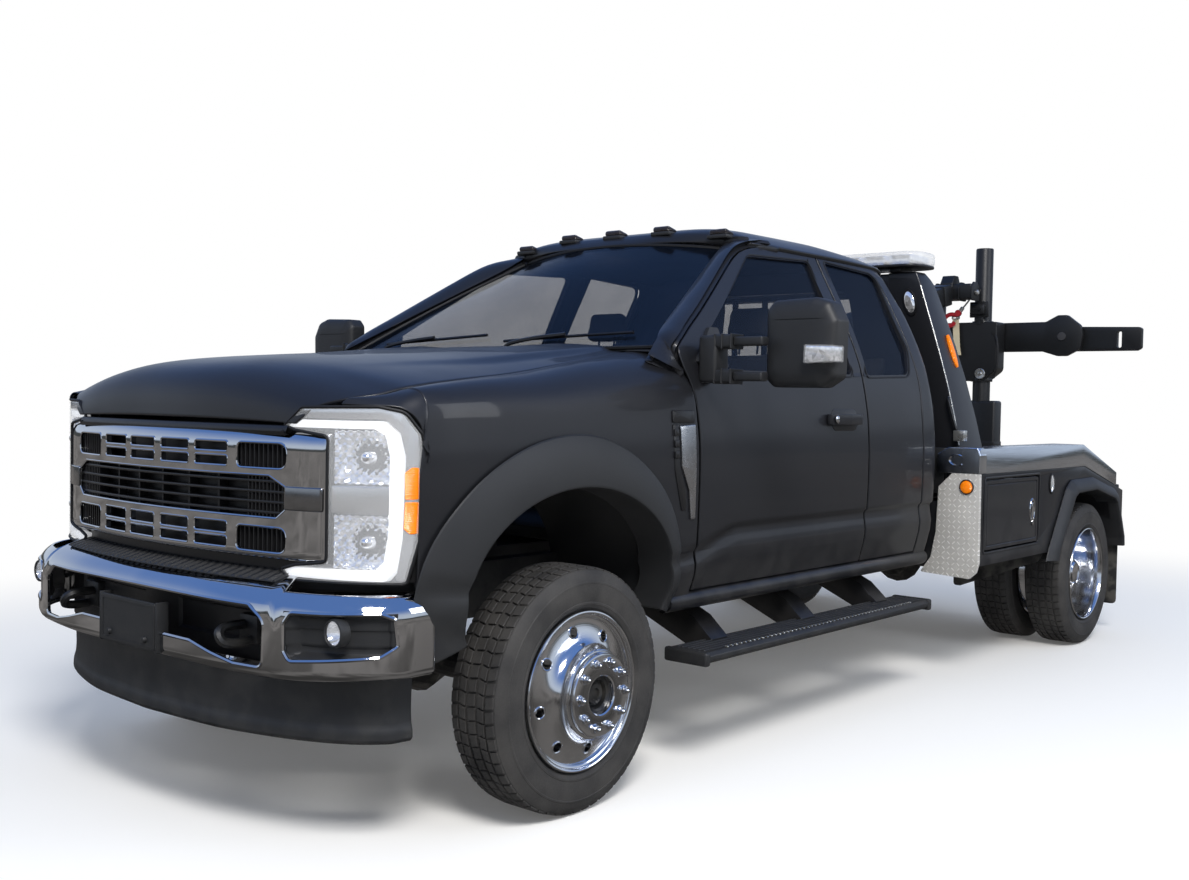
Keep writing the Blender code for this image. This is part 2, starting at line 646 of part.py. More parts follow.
def make_cab():
    shell = cab_solid("cab_shell", False, "body_paint")
    tools = [cab_solid("cab_inside", True)]
    tools.append(block("under_floor", (-0.780, 0.780), (0.300, 3.000), (0.500, FLOOR_BOTTOM)))
    for side, sign in SIDES:
        rings = []
        for z, depth in DOOR_LEVELS:
            level = z
            if z == DOOR_BOTTOM:
                level = z - DOOR_GAP
            if z == DOOR_TOP:
                level = z + 0.008
            front = door_front_y(z) - DOOR_GAP - (0.006 if z > BELT_Z else 0.0)
            inner = side_x(z) - depth - DOOR_INNER_GAP
            if z < FLOOR_TOP + 0.050:
                inner = side_x(DOOR_BOTTOM) - DOOR_THICK - DOOR_INNER_GAP
            rear = REAR_DOOR_Y[1] + DOOR_GAP
            rings.append([
                (sign * 1.100, front, level), (sign * 1.100, rear, level),
                (sign * inner, rear, level), (sign * inner, front, level),
            ])
        tools.append(loft(f"door_opening_{side}", rings))
    tools.append(windshield_plate("windshield_opening", 0.0, 0.150, 0.0, None))
    tools.append(block("rear_window_opening", (-0.560, 0.560), (2.500, 2.800), (1.520, 1.920)))
    cut(shell, *tools)
    windshield_plate("windshield", 0.012, 0.012 + GLASS, SEAT_GAP, "window_glass")
    glass_y = CAB_REAR_Y - REAR_WALL / 2
    block("rear_window", (SEAT_GAP - 0.560, 0.560 - SEAT_GAP), (glass_y, glass_y + GLASS),
          (1.520 + SEAT_GAP, 1.920 - SEAT_GAP), colour="window_glass")

    for side, sign in SIDES:
        body = f"front_door_{side}"
        across = mirrored((0.500, 1.100), sign)
        door = door_solid(body, sign, door_front_y, lambda z: FRONT_DOOR_Y[1], 0.0, 0.40, body,
                          "body_paint")
        cut(door, panel(f"front_window_{side}", FRONT_WINDOW, "x", across, body))
        axis_y = PIVOTS[body][1]
        for number, span in enumerate(HINGE_HEIGHTS):
            name = f"front_hinge_{side}_{number}"
            join(door, hinge_knuckle(name, sign, KNUCKLE_X, axis_y, 1, span, body))
        body = f"rear_door_{side}"
        door = door_solid(body, sign, lambda z: REAR_DOOR_Y[0], lambda z: REAR_DOOR_Y[1], 0.75, 0.0, body,
                          "body_paint")
        cut(door, panel(f"rear_window_{side}", REAR_WINDOW, "x", across, body))
        axis_y = PIVOTS[body][1]
        for number, span in enumerate(HINGE_HEIGHTS):
            name = f"rear_hinge_{side}_{number}"
            join(door, hinge_knuckle(name, sign, KNUCKLE_X, axis_y, -1, span, body))


def windshield_plate(name, start, end, clearance, colour):
    """Plate between two depths below the windshield's outer plane, as large as its opening."""
    foot = Vector((0.0, CAB_FRONT_Y, BELT_Z))
    head = Vector((0.0, HEADER_Y, HEADER_Z))
    up = (head - foot).normalized()
    out = Vector((1.0, 0.0, 0.0)).cross(up)
    length = (head - foot).length
    low = WINDSHIELD_MARGIN + clearance
    high = length - WINDSHIELD_MARGIN - clearance
    wide = WINDSHIELD_FOOT_HALF - clearance
    narrow = WINDSHIELD_HEAD_HALF - clearance
    if colour is None:
        start = -0.080
    outline = [(-wide, low), (wide, low), (narrow, high), (-narrow, high)]
    mesh = outline_mesh(name, outline, end - start)
    frame = Matrix.Identity(4)
    for row in range(3):
        frame[row][0] = (1.0, 0.0, 0.0)[row]
        frame[row][1] = up[row]
        frame[row][2] = out[row]
        frame[row][3] = (foot - out * (start + end) / 2)[row]
    mesh.transform(frame)
    return add(name, mesh, "root", colour)


def make_interior():
    floor = FLOOR_TOP + SEAT_GAP
    wall = CAB_FRONT_Y + FRAME_THICK + SEAT_GAP
    dash_profile = [(wall, 1.020), (wall, 1.480), (0.860, 1.500), (1.010, 1.400), (1.000, 1.150),
                    (0.800, 1.020)]
    dash = panel("dashboard", dash_profile, "x", (-0.780, 0.780), colour="black_plastic")
    column = rod("steering_column", (0.400, 0.900, 1.220), (0.400, 1.180, 1.350), 0.035)
    grip = arc((0.205, 0.0), (0.016, 0.016), 90, -210, 5)
    ring = turned("steering_ring", grip, (0.400, 1.170, 1.345), (0, 0.90, 0.42), steps=24)
    spoke = block("steering_spoke", (0.200, 0.600), (1.160, 1.185), (1.325, 1.365))
    join(dash, column, spoke, ring)

    seats = block("front_seats", (-0.180, 0.180), (1.200, 1.760), (floor, 1.080), colour="seat_fabric")
    pieces = []
    for side, sign in SIDES:
        span = mirrored((0.170, 0.700), sign)
        back = [(1.660, 1.040), (1.780, 1.040), (1.900, 1.620), (1.800, 1.640)]
        rest = [(1.800, 1.640), (1.890, 1.600), (1.930, 1.800), (1.840, 1.820)]
        pieces.append(block(f"seat_cushion_{side}", span, (1.220, 1.780), (0.960, 1.120)))
        pieces.append(panel(f"seat_back_{side}", back, "x", span))
        pieces.append(panel(f"head_rest_{side}", rest, "x", mirrored((0.300, 0.570), sign)))
        base = mirrored((0.250, 0.620), sign)
        pieces.append(block(f"seat_base_{side}", base, (1.280, 1.700), (floor, 0.980)))
    join(seats, *pieces)

    bench = block("rear_bench", (-0.800, 0.800), (2.180, 2.600), (0.960, 1.110), colour="seat_fabric")
    bench_back = [(2.480, 1.090), (2.610, 1.090), (2.629, 1.640), (2.550, 1.640)]
    join(bench,
         panel("bench_back", bench_back, "x", (-0.800, 0.800)),
         block("bench_base", (-0.700, 0.700), (2.220, 2.560), (floor, 0.980)))


# ---------------------------------------------------------------- front end
def make_front_end():
    rear = CAB_FRONT_Y - DOOR_GAP
    outline = [(NOSE_Y, 0.830), (NOSE_Y, 1.330), (NOSE_Y + 0.300, 1.400), (rear, FENDER_TOP),
               (rear, SILL_BOTTOM), (ARCH_HALF + 0.010, SILL_BOTTOM)]
    outline += arc((0.0, 0.720), (ARCH_HALF, ARCH_TOP - 0.720), 0, 180, 14)
    outline += [(-ARCH_HALF - 0.010, 0.830)]
    for side, sign in SIDES:
        span = mirrored((FENDER_X - FENDER_THICK, FENDER_X), sign)
        fender = panel(f"fender_{side}", outline, "x", span, colour="body_paint")
        shelf = [(NOSE_Y, 1.290), (NOSE_Y, 1.330), (NOSE_Y + 0.300, 1.400), (rear, FENDER_TOP),
                 (rear, 1.420), (NOSE_Y + 0.300, 1.340)]
        liner = arc((0.0, 0.720), (ARCH_HALF + 0.020, ARCH_TOP - 0.700), 0, 180, 12)
        liner += arc((0.0, 0.720), (ARCH_HALF + 0.035, ARCH_TOP - 0.685), 180, 0, 12)
        inner = FENDER_X - 0.030
        join(fender,
             panel(f"fender_shelf_{side}", shelf, "x", mirrored((0.805, inner), sign)),
             panel(f"wheel_house_{side}", liner, "x", mirrored((RAIL_X + 0.030, inner), sign)))
        lamp_outline = [(sign * LAMP_INNER_X, -0.820), (sign * LAMP_INNER_X, NOSE_Y - 0.001),
                        (sign * LAMP_OUTER_X, NOSE_Y - 0.001), (sign * LAMP_OUTER_X, -0.700),
                        (sign * 0.900, -0.780)]
        lamp = panel(f"headlamp_{side}", lamp_outline, "z", (LAMP_BOTTOM, LAMP_TOP), colour="lamp_glass")
        arm = [(sign * 0.560, -0.830), (sign * 0.560, -0.790), (sign * 0.800, -0.740), (sign * 0.800, -0.820)]
        join(lamp, panel(f"lamp_lower_arm_{side}", arm, "z", (LAMP_BOTTOM, GRILLE_BOTTOM - 0.005)))

    stop_y, _, _, stop_crown = HOOD_SECTIONS[2]
    support = block("front_support", (-0.760, 0.760), (-0.740, -0.680), (BUMPER_TOP + 0.001, 1.220),
                    colour="black_plastic")
    foot_z = (RAIL_TOP + SEAT_GAP, BUMPER_TOP + 0.020)
    stop_z = (1.200, stop_crown - HOOD_THICK - SEAT_GAP)
    join(support,
         block("support_foot", (-RAIL_X, RAIL_X), (-0.735, -0.690), foot_z),
         block("lamp_carrier", (-0.960, 0.960), (NOSE_Y + 0.001, NOSE_Y + 0.020), (0.900, 1.200)),
         block("lamp_bridge", (-0.700, 0.700), (-0.690, NOSE_Y + 0.010), (1.000, 1.100)),
         block("hood_stop", (-0.200, 0.200), (stop_y, stop_y + 0.020), stop_z))

    grille = block("grille", (-GRILLE_HALF, GRILLE_HALF), (GRILLE_Y + 0.010, GRILLE_Y + 0.050),
                   (GRILLE_BOTTOM, GRILLE_TOP), colour="chrome")
    cut(grille, block("grille_slot", (-0.680, 0.680), (-1.000, -0.700), (0.985, 1.095)))
    post_y = (GRILLE_Y + 0.045, -0.740 - SEAT_GAP)
    join(grille,
         block("grille_post", (-0.040, 0.040), post_y, (0.880, 1.220)),
         block("grille_slats", (-0.690, 0.690), (GRILLE_Y + 0.030, GRILLE_Y + 0.046), (1.010, 1.070)))

    middle_y = BUMPER_Y + 0.012
    bumper_line = [(-BUMPER_HALF, -0.700), (-0.960, -0.830), (-0.700, -0.940), (-0.350, middle_y),
                   (0.350, middle_y), (0.700, -0.940), (0.960, -0.830), (BUMPER_HALF, -0.700)]
    inner_line = [(x * 0.955, y + 0.050) for x, y in reversed(bumper_line)]
    bumper = panel("front_bumper", bumper_line + inner_line, "z", (BUMPER_BOTTOM, BUMPER_TOP),
                   colour="chrome")
    cut(bumper, block("bumper_mouth", (-0.480, 0.480), (-1.100, -0.700), (0.610, 0.720)))
    for side, sign in SIDES:
        recess = mirrored((0.700, 0.930), sign)
        cut(bumper, block(f"fog_recess_{side}", recess, (-1.100, -0.910), (0.580, 0.740)))
    beam_y = (-0.940, FRAME_FRONT_Y - SEAT_GAP)
    join(bumper,
         block("plate_bracket", (-0.165, 0.165), (TRUCK_FRONT_Y, -0.960), (0.543, 0.690)),
         block("bumper_beam", (-RAIL_X, RAIL_X), beam_y, (0.730, 0.755)),
         block("bumper_beam_low", (-RAIL_X, RAIL_X), beam_y, (0.575, 0.605)))
    dam_line = [(-0.950, -0.700), (-0.900, -0.810), (-0.680, -0.910), (-0.330, -0.950), (0.330, -0.950),
                (0.680, -0.910), (0.900, -0.810), (0.950, -0.700)]
    dam_inner = [(x * 0.960, y + 0.040) for x, y in reversed(dam_line)]
    join(bumper, panel("air_dam", dam_line + dam_inner, "z", (DAM_BOTTOM, BUMPER_BOTTOM + 0.010)))

    rings_top = []
    for y, half, edge, crown in HOOD_SECTIONS:
        top = [(-half, y, edge), (-half * 0.55, y, crown), (half * 0.55, y, crown), (half, y, edge)]
        under = [(x * 0.97, y + (0.020 if y < -0.8 else 0.0), z - HOOD_THICK) for x, y, z in reversed(top)]
        rings_top.append(top + under)
    loft("hood", rings_top, "hood", "body_paint")


# ---------------------------------------------------------------- steps and mirrors
def make_steps_and_mirrors():
    for side, sign in SIDES:
        board = block(f"running_board_{side}", mirrored(BOARD_X, sign), BOARD_Y, BOARD_Z,
                      colour="black_plastic")
        for number, y in enumerate((0.850, 1.500, 2.150)):
            root = RAIL_X + SEAT_GAP
            bracket = [(root, 0.600), (root, 0.700), (0.520, 0.700), (0.980, 0.480), (0.980, 0.410),
                       (0.900, 0.410)]
            bracket = [(sign * x, z) for x, z in bracket]
            join(board, panel(f"board_bracket_{side}_{number}", bracket, "y", (y, y + 0.050)))

        body = f"front_door_{side}"
        rings = []
        for z in (1.420, 1.470, 1.520):
            near = side_x(z) + SEAT_GAP
            rings.append([(sign * near, MIRROR_BASE_Y[0], z), (sign * near, MIRROR_BASE_Y[1], z),
                          (sign * 1.040, MIRROR_BASE_Y[1], z), (sign * 1.040, MIRROR_BASE_Y[0], z)])
        mirror = loft(f"mirror_{side}", rings, body, "black_plastic")
        arm_x = mirrored((1.030, MIRROR_HEAD_X[0] + 0.050), sign)
        arm_y = (0.725, 0.775)
        join(mirror,
             block(f"mirror_post_{side}", mirrored((1.020, 1.060), sign), arm_y, (1.430, 1.590), body),
             block(f"mirror_arm_low_{side}", arm_x, arm_y, (1.430, 1.470), body),
             block(f"mirror_arm_high_{side}", arm_x, arm_y, (1.550, 1.590), body),
             block(f"mirror_head_{side}", mirrored(MIRROR_HEAD_X, sign), MIRROR_HEAD_Y, MIRROR_HEAD_Z, body))


# ---------------------------------------------------------------- wrecker body
def make_wrecker_body():
    front = BODY_FRONT_Y - 0.020
    kink = CAP_KINK_Y + 0.030
    cap_end_bottom = CAP_END_TOP - (CAP_TOP - CAP_BOTTOM) * 0.65
    cap = [(front, CAP_BOTTOM), (front, CAP_TOP), (CAP_KINK_Y, CAP_TOP), (CAP_END_Y, CAP_END_TOP),
           (CAP_END_Y, cap_end_bottom), (kink, CAP_BOTTOM)]
    end_top = cap_end_bottom - SEAT_GAP
    side_top = CAP_BOTTOM - SEAT_GAP
    box_top = DECK_TOP - DECK_THICK - SEAT_GAP
    skin_x = BODY_HALF - SKIN
    arch = (WHEELBASE, TYRE_RADIUS)
    for side, sign in SIDES:
        body_box = block(f"side_body_{side}", mirrored((BOX_INNER_X, BODY_HALF), sign),
                         (BODY_FRONT_Y, BOX_REAR_Y), (BOX_BOTTOM, box_top), colour="body_paint")
        skin = [(BODY_FRONT_Y, BOX_BOTTOM), (BODY_FRONT_Y, side_top), (kink, side_top),
                (CAP_END_Y, end_top), (BODY_REAR_Y, end_top - 0.030), (BODY_REAR_Y, 0.540),
                (WHEELBASE + REAR_ARCH + 0.030, 0.540)]
        skin += arc(arch, (REAR_ARCH, REAR_ARCH), 15, 160, 14)
        skin += [(BOX_REAR_Y + 0.020, BOX_BOTTOM)]
        tail_y = BODY_REAR_Y - 0.004
        shelf = [(BODY_FRONT_Y, side_top), (kink, side_top), (CAP_END_Y, end_top),
                 (tail_y, end_top - 0.030), (tail_y, end_top - 0.060), (CAP_END_Y, end_top - 0.030),
                 (kink - 0.010, side_top - 0.030), (BODY_FRONT_Y, box_top - 0.005)]
        shelf_x = (BODY_HALF - CAP_WIDTH - 0.010, skin_x + 0.002)
        join(body_box,
             panel(f"side_skin_{side}", skin, "x", mirrored((skin_x, BODY_HALF), sign)),
             panel(f"side_shelf_{side}", shelf, "x", mirrored(shelf_x, sign)))
        mouth_x = mirrored((skin_x - 0.010, BODY_HALF + 0.050), sign)
        mouth_y = (TOOLBOX_Y[0] - DOOR_GAP, TOOLBOX_Y[1] + DOOR_GAP)
        mouth_z = (TOOLBOX_Z[0] - DOOR_GAP, TOOLBOX_Z[1] + DOOR_GAP)
        inside_x = mirrored((BOX_INNER_X + SKIN, skin_x), sign)
        inside_y = (BODY_FRONT_Y + SKIN, BOX_REAR_Y - SKIN)
        cut(body_box,
            block(f"toolbox_inside_{side}", inside_x, inside_y, (BOX_BOTTOM + SKIN, box_top - SKIN)),
            block(f"toolbox_mouth_{side}", mouth_x, mouth_y, mouth_z))
        panel(f"deck_cap_{side}", cap, "x", mirrored((BODY_HALF - CAP_WIDTH, BODY_HALF), sign),
              colour="bright_plate")

        body = f"toolbox_{side}"
        door = block(f"toolbox_door_{side}", mirrored((BODY_HALF - TOOLBOX_DOOR, BODY_HALF), sign),
                     TOOLBOX_Y, TOOLBOX_Z, body, "body_paint")
        for number, z in enumerate((0.700, 0.900)):
            join(door, hinge_knuckle(f"toolbox_hinge_{side}_{number}", sign, BODY_HALF - 0.008,
                                     PIVOTS[body][1], 1, (z, z + 0.040), body))

        flare = arc(arch, (REAR_ARCH + 0.050, REAR_ARCH + 0.048), 14, 164, 14)
        flare += arc(arch, (REAR_ARCH - 0.006, REAR_ARCH - 0.006), 164, 14, 14)
        flare_x = mirrored((BODY_HALF + SEAT_GAP, BODY_HALF + FLARE_PROUD), sign)
        panel(f"fender_flare_{side}", flare, "x", flare_x, colour="black_plastic")

    deck_half = BODY_HALF - CAP_WIDTH - 0.012
    deck = block("deck", (-deck_half, deck_half), (BODY_FRONT_Y, BODY_REAR_Y - 0.020),
                 (DECK_TOP - DECK_THICK, DECK_TOP), colour="bright_plate")
    pieces = [block("bulkhead", (-1.010, 1.010), (BODY_FRONT_Y, BODY_FRONT_Y + 0.040),
                    (DECK_TOP - 0.010, 1.150))]
    for side, sign in SIDES:
        pieces.append(block(f"subframe_{side}", mirrored((RAIL_X - RAIL_WIDTH, RAIL_X), sign),
                            (BODY_FRONT_Y, FRAME_REAR_Y - 0.020), (RAIL_TOP + SEAT_GAP, DECK_TOP - 0.010)))
        pieces.append(block(f"tail_panel_{side}", mirrored((0.340, 1.018), sign),
                            (BODY_REAR_Y - 0.040, BODY_REAR_Y - 0.001), (0.800, DECK_TOP - 0.010)))
    join(deck, *pieces)


# ---------------------------------------------------------------- cab guard, mast, boom
def make_boom_gear():
    rings = [[(-x_out, GUARD_Y, z), (-x_out, rear, z), (-x_in, rear, z), (-x_in, GUARD_Y, z)]
             for z, x_in, x_out, rear in GUARD_SECTIONS]
    guard = loft("cab_guard", rings, colour="body_paint")
    left = [[(-x, y, z) for x, y, z in ring] for ring in rings]
    foot, foot_inner, _, _ = GUARD_SECTIONS[0]
    panel_half = foot_inner + 0.040
    join(guard, loft("guard_left", left),
         block("guard_beam", (-0.640, 0.640), (GUARD_Y + 0.010, GUARD_Y + 0.150), (1.930, GUARD_TOP - 0.005)),
         block("guard_panel", (-panel_half, panel_half), (GUARD_Y + 0.010, GUARD_Y + 0.040), (foot, 1.400)))
    front, rear = LIGHT_BAR_Y
    seat = GUARD_TOP + SEAT_GAP
    bar = [(front, seat), (front, 2.110), (front + 0.040, LIGHT_BAR_TOP),
           (rear - 0.040, LIGHT_BAR_TOP), (rear, 2.110), (rear, seat)]
    panel("light_bar", bar, "x", (-LIGHT_BAR_HALF, LIGHT_BAR_HALF), colour="lamp_glass")

    deck = DECK_TOP + SEAT_GAP
    mast = block("mast", (-MAST_HALF, MAST_HALF), MAST_Y, (deck, MAST_TOP), colour="black_steel")
    pivot_y, pivot_z = BOOM_PIVOT
    drum_y = (MAST_Y[0] + MAST_Y[1]) / 2
    pieces = [rod("winch_drums", (-0.330, drum_y, 1.400), (0.330, drum_y, 1.400), 0.100)]
    for side, sign in SIDES:
        ear = [(MAST_Y[0], MAST_TOP - 0.020), (MAST_Y[1], MAST_TOP - 0.020)]
        ear += arc((pivot_y, pivot_z), (0.060, 0.060), 0, 180, 6)
        ear_span = mirrored((BOOM_HALF + RUNNING_GAP, BOOM_HALF + RUNNING_GAP + 0.030), sign)
        pieces.append(panel(f"mast_ear_{side}", ear, "x", ear_span))
        root = MAST_Y[1] - 0.020
        foot_y, foot_z = CYLINDER_FOOT
        foot = [(root, foot_z - 0.100), (foot_y + 0.040, foot_z - 0.060), (foot_y + 0.040, foot_z + 0.040),
                (foot_y - 0.020, foot_z + 0.060), (root, foot_z + 0.120)]
        foot_span = mirrored((BARREL_RADIUS + RUNNING_GAP, BARREL_RADIUS + RUNNING_GAP + 0.020), sign)
        pieces.append(panel(f"cylinder_ear_{side}", foot, "x", foot_span))
    join(mast, *pieces)

    run = Vector((0.0, BOOM_HEAD[0] - pivot_y, BOOM_HEAD[1] - pivot_z))
    slope = run.z / run.y
    low = pivot_z - BOOM_HALF
    tail = pivot_y - 0.050
    tip = BOOM_HEAD[0]
    tail_z = low + slope * (tail - pivot_y)
    tip_z = low + slope * (tip - pivot_y)
    depth = 2 * BOOM_HALF
    outline = [(tail, tail_z), (tip, tip_z), (tip, tip_z + depth), (tail, tail_z + depth)]
    boom = panel("boom", outline, "x", (-BOOM_HALF, BOOM_HALF), "boom", "black_steel")
    eye_y, eye_z = CYLINDER_EYE
    lug = [(eye_y - 0.050, eye_z + 0.100), (eye_y - 0.030, eye_z - 0.020),
           (eye_y + 0.030, eye_z - 0.020), (eye_y + 0.050, eye_z + 0.110)]
    join(boom,
         block("boom_head", (-HEAD_HALF, HEAD_HALF), (tip - 0.050, tip + 0.060), HEAD_Z, "boom"),
         block("head_bracket", (-0.045, 0.045), (tip - 0.030, tip + 0.050), (2.150, 2.232), "boom"),
         panel("cylinder_lug", lug, "x", (-BOOM_EAR, BOOM_EAR), "boom"))

    hook_y = tip + 0.045
    top = (HOOK_X, hook_y, HEAD_Z[0] - SEAT_GAP)
    hook = rod("recovery_hook", top, (HOOK_X, hook_y, 1.995), 0.008, "boom", "black_steel", 12)
    hook_shape = [(0.015, 2.010), (0.075, 2.010), (0.090, 1.960), (0.070, 1.915), (0.020, 1.910),
                  (-0.005, 1.935), (0.010, 1.955), (0.050, 1.945), (0.058, 1.965), (0.050, 1.985),
                  (0.015, 1.985)]
    join(hook, panel("hook_shape", hook_shape, "y", (hook_y - 0.012, hook_y + 0.012), "boom"))

    foot = Vector((0.0, *CYLINDER_FOOT))
    eye = Vector((0.0, *CYLINDER_EYE))
    along = (eye - foot).normalized()
    start = 0.030
    bore = ROD_RADIUS + RUNNING_GAP
    bottom = BARREL_LENGTH * 0.12
    wall = [(0.0, bottom), (bore, bottom), (bore, BARREL_LENGTH), (BARREL_RADIUS, BARREL_LENGTH),
            (BARREL_RADIUS, start), (0.0, start)]
    barrel = turned("boom_barrel", wall, foot, along, colour="black_steel", steps=20)
    half = Vector((BARREL_RADIUS, 0, 0))
    join(barrel, rod("barrel_eye", foot - half, foot + half, 0.035))
    rod_start = foot + along * (bottom + 0.020)
    rod_end = eye - along * 0.055
    piston = rod("boom_rod", rod_start, rod_end, ROD_RADIUS, "boom_rod", "chrome", 20)
    cheek_in = BOOM_EAR + RUNNING_GAP
    fork = rod("fork_root", rod_end - along * 0.010, rod_end + along * 0.014, 0.036, "boom_rod", None, 16)
    pieces = [fork]
    for side, sign in SIDES:
        cheek = rod(f"fork_cheek_{side}", (sign * cheek_in, *CYLINDER_EYE),
                    (sign * (cheek_in + 0.016), *CYLINDER_EYE), 0.026, "boom_rod", None, 12)
        base = rod_end + along * 0.008
        side_line = Vector((0.0, along.z, -along.y)) * 0.020
        strip = [base + side_line, base - side_line, eye - side_line, eye + side_line]
        outline = [(point.y, point.z) for point in strip]
        strap = panel(f"fork_strap_{side}", outline, "x", mirrored((cheek_in, cheek_in + 0.014), sign),
                      "boom_rod")
        pieces += [strap, cheek]
    join(piston, *pieces)


# ---------------------------------------------------------------- wheel lift
def make_wheel_lift():
    pivot_y, pivot_z = LIFT_PIVOT
    half = COLUMN_X[1]
    base = rod("lift_frame", (-half, pivot_y, pivot_z), (half, pivot_y, pivot_z), 0.055,
               "lift", "black_steel", 20)
    shoe_x = (-half + 0.002, half - 0.002)
    shoe_z = (pivot_z - 0.030, pivot_z + 0.050)
    pieces = [block("lift_shoe", shoe_x, (pivot_y, TUBE_Y + 0.060), shoe_z, "lift"),
              block("lift_web", (-0.110, 0.110), (TUBE_Y - 0.020, TUBE_Y + 0.020), (pivot_z, 1.300), "lift")]
    for side, sign in SIDES:
        column_y = (TUBE_Y - 0.060, TUBE_Y + 0.062)
        pieces.append(block(f"lift_column_{side}", mirrored(COLUMN_X, sign), column_y,
                            (pivot_z - 0.028, COLUMN_TOP), "lift"))
        pieces.append(rod(f"lift_tube_{side}", (sign * TUBE_X, TUBE_Y, COLUMN_TOP - 0.100),
                          (sign * TUBE_X, TUBE_Y, TUBE_TOP[side]), TUBE_RADIUS, "lift", None, 24))
    join(base, *pieces)

    carriage = block("carriage", (-CARRIAGE_HALF, CARRIAGE_HALF), CARRIAGE_Y, CARRIAGE_Z,
                     "carriage", "black_steel")
    for side, sign in SIDES:
        x = sign * TUBE_X
        cut(carriage, rod(f"carriage_bore_{side}", (x, TUBE_Y, 1.400), (x, TUBE_Y, 2.000),
                          TUBE_RADIUS + RUNNING_GAP, "carriage", None, 24))
    join(carriage, rod("swivel_boss", (0.0, CARRIAGE_Y[1] - 0.010, ARM_PIVOT_Z),
                       (0.0, CROSSBAR_Y[0] - RUNNING_GAP, ARM_PIVOT_Z), 0.070, "carriage", None, 20))

    bar = block("crossbar", (-HUMP_X, HUMP_X), CROSSBAR_Y, CROSSBAR_Z, "crossbar", "black_steel")
    for side, sign in SIDES:
        x = sign * HUMP_X
        join(bar,
             rod(f"crossbar_hump_{side}", (x, CROSSBAR_Y[0] + 0.001, ARM_PIVOT_Z),
                 (x, CROSSBAR_Y[1] - 0.001, ARM_PIVOT_Z), HUMP_RADIUS, "crossbar", None, 24),
             rod(f"crossbar_boss_{side}", (x, CROSSBAR_Y[1] - 0.010, ARM_PIVOT_Z),
                 (x, ARM_Y[0] - RUNNING_GAP, ARM_PIVOT_Z), 0.050, "crossbar", None, 20))
        body = f"arm_{side}"
        outline = arc((HUMP_X, ARM_PIVOT_Z), (0.085, 0.085), 110, 250, 8)
        outline += [(ARM_END_X, ARM_Z[0]), (ARM_END_X, ARM_Z[1])]
        outline = [(sign * px, pz) for px, pz in outline]
        arm = panel(f"lift_arm_{side}", outline, "y", ARM_Y, body, "black_steel")
        slot = block(f"arm_slot_{side}", mirrored((ARM_SLOT_X - 0.014, ARM_SLOT_X + 0.014), sign),
                     (ARM_Y[0] - 0.050, ARM_Y[1] + 0.050), (1.755, 1.850), body)
        cut(arm, slot)


make_chassis()
make_axles()
make_wheels()
make_cab()
make_interior()
make_front_end()
make_steps_and_mirrors()
make_wrecker_body()
make_boom_gear()
make_wheel_lift()
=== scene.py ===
# %% [markdown]
# # A wrecker truck, dressed piece by piece
#
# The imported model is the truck's skeleton: plain solids of the right size, each on the body it moves
# with. This lesson makes the pieces that are seen: pressed body panels, lamps, wheels, glass, seats
# and the recovery gear. Every piece is shaped in one shared frame and then rides on its body.

# %% Load the frame
import json
import math

import bpy
from mathutils import Matrix, Vector


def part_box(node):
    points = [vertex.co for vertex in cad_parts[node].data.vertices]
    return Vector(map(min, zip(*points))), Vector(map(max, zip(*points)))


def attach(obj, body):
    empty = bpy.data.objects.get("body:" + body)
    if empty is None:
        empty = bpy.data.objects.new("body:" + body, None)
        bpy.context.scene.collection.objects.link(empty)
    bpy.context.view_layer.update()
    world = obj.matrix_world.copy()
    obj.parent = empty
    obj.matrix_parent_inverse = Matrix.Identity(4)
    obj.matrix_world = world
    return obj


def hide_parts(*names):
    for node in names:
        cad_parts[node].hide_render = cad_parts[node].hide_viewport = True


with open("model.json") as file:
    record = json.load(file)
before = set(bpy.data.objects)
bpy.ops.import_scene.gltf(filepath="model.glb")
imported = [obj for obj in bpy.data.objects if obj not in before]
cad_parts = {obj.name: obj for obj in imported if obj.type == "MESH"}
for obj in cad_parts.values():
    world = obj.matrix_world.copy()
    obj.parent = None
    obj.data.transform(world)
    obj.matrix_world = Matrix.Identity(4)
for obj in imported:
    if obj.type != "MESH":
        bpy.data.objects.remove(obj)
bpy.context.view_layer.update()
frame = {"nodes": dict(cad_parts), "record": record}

# %% [markdown]
# A truck is drawn from its front axle: lengths are counted back from there, widths from the middle
# and heights from the ground. The frame's middle lies elsewhere, so the front rim's own box says how
# far a finished piece is slid along the truck. `span` gives a solid's box in the axle's lengths.

# %% Measure from the front axle
rim_low, rim_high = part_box("front_rim_left")
AXLE_Y = (rim_low[1] + rim_high[1]) / 2
SIDES = (("left", 1), ("right", -1))
REAR_Y = 4.27
RADIUS = 0.406
FRONT_AT = Vector((0.95, 0, RADIUS))
REAR_AT = Vector((1.08, REAR_Y, RADIUS))
REAR_INNER_AT = Vector((0.78, REAR_Y, RADIUS))


def span(node):
    """Lowest and highest corner of a frame solid, counted from the front axle."""
    low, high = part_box(node)
    return (Vector((low[0], low[1] - AXLE_Y, low[2])), Vector((high[0], high[1] - AXLE_Y, high[2])))


print("front axle at", round(AXLE_Y, 4), "wheelbase", round(span("rear_rims_left")[0].y + 0.262, 3))

# %% [markdown]
# An operator works on whatever is selected, and after loading everything is. `only` leaves one piece
# selected and active, which is what nearly every operator wants.

# %% Select one piece
def clear():
    """Object mode with nothing selected."""
    if bpy.context.object and bpy.context.object.mode != "OBJECT":
        bpy.ops.object.mode_set(mode="OBJECT")
    bpy.ops.object.select_all(action="DESELECT")


def only(piece):
    clear()
    piece.select_set(True)
    bpy.context.view_layer.objects.active = piece
    return piece


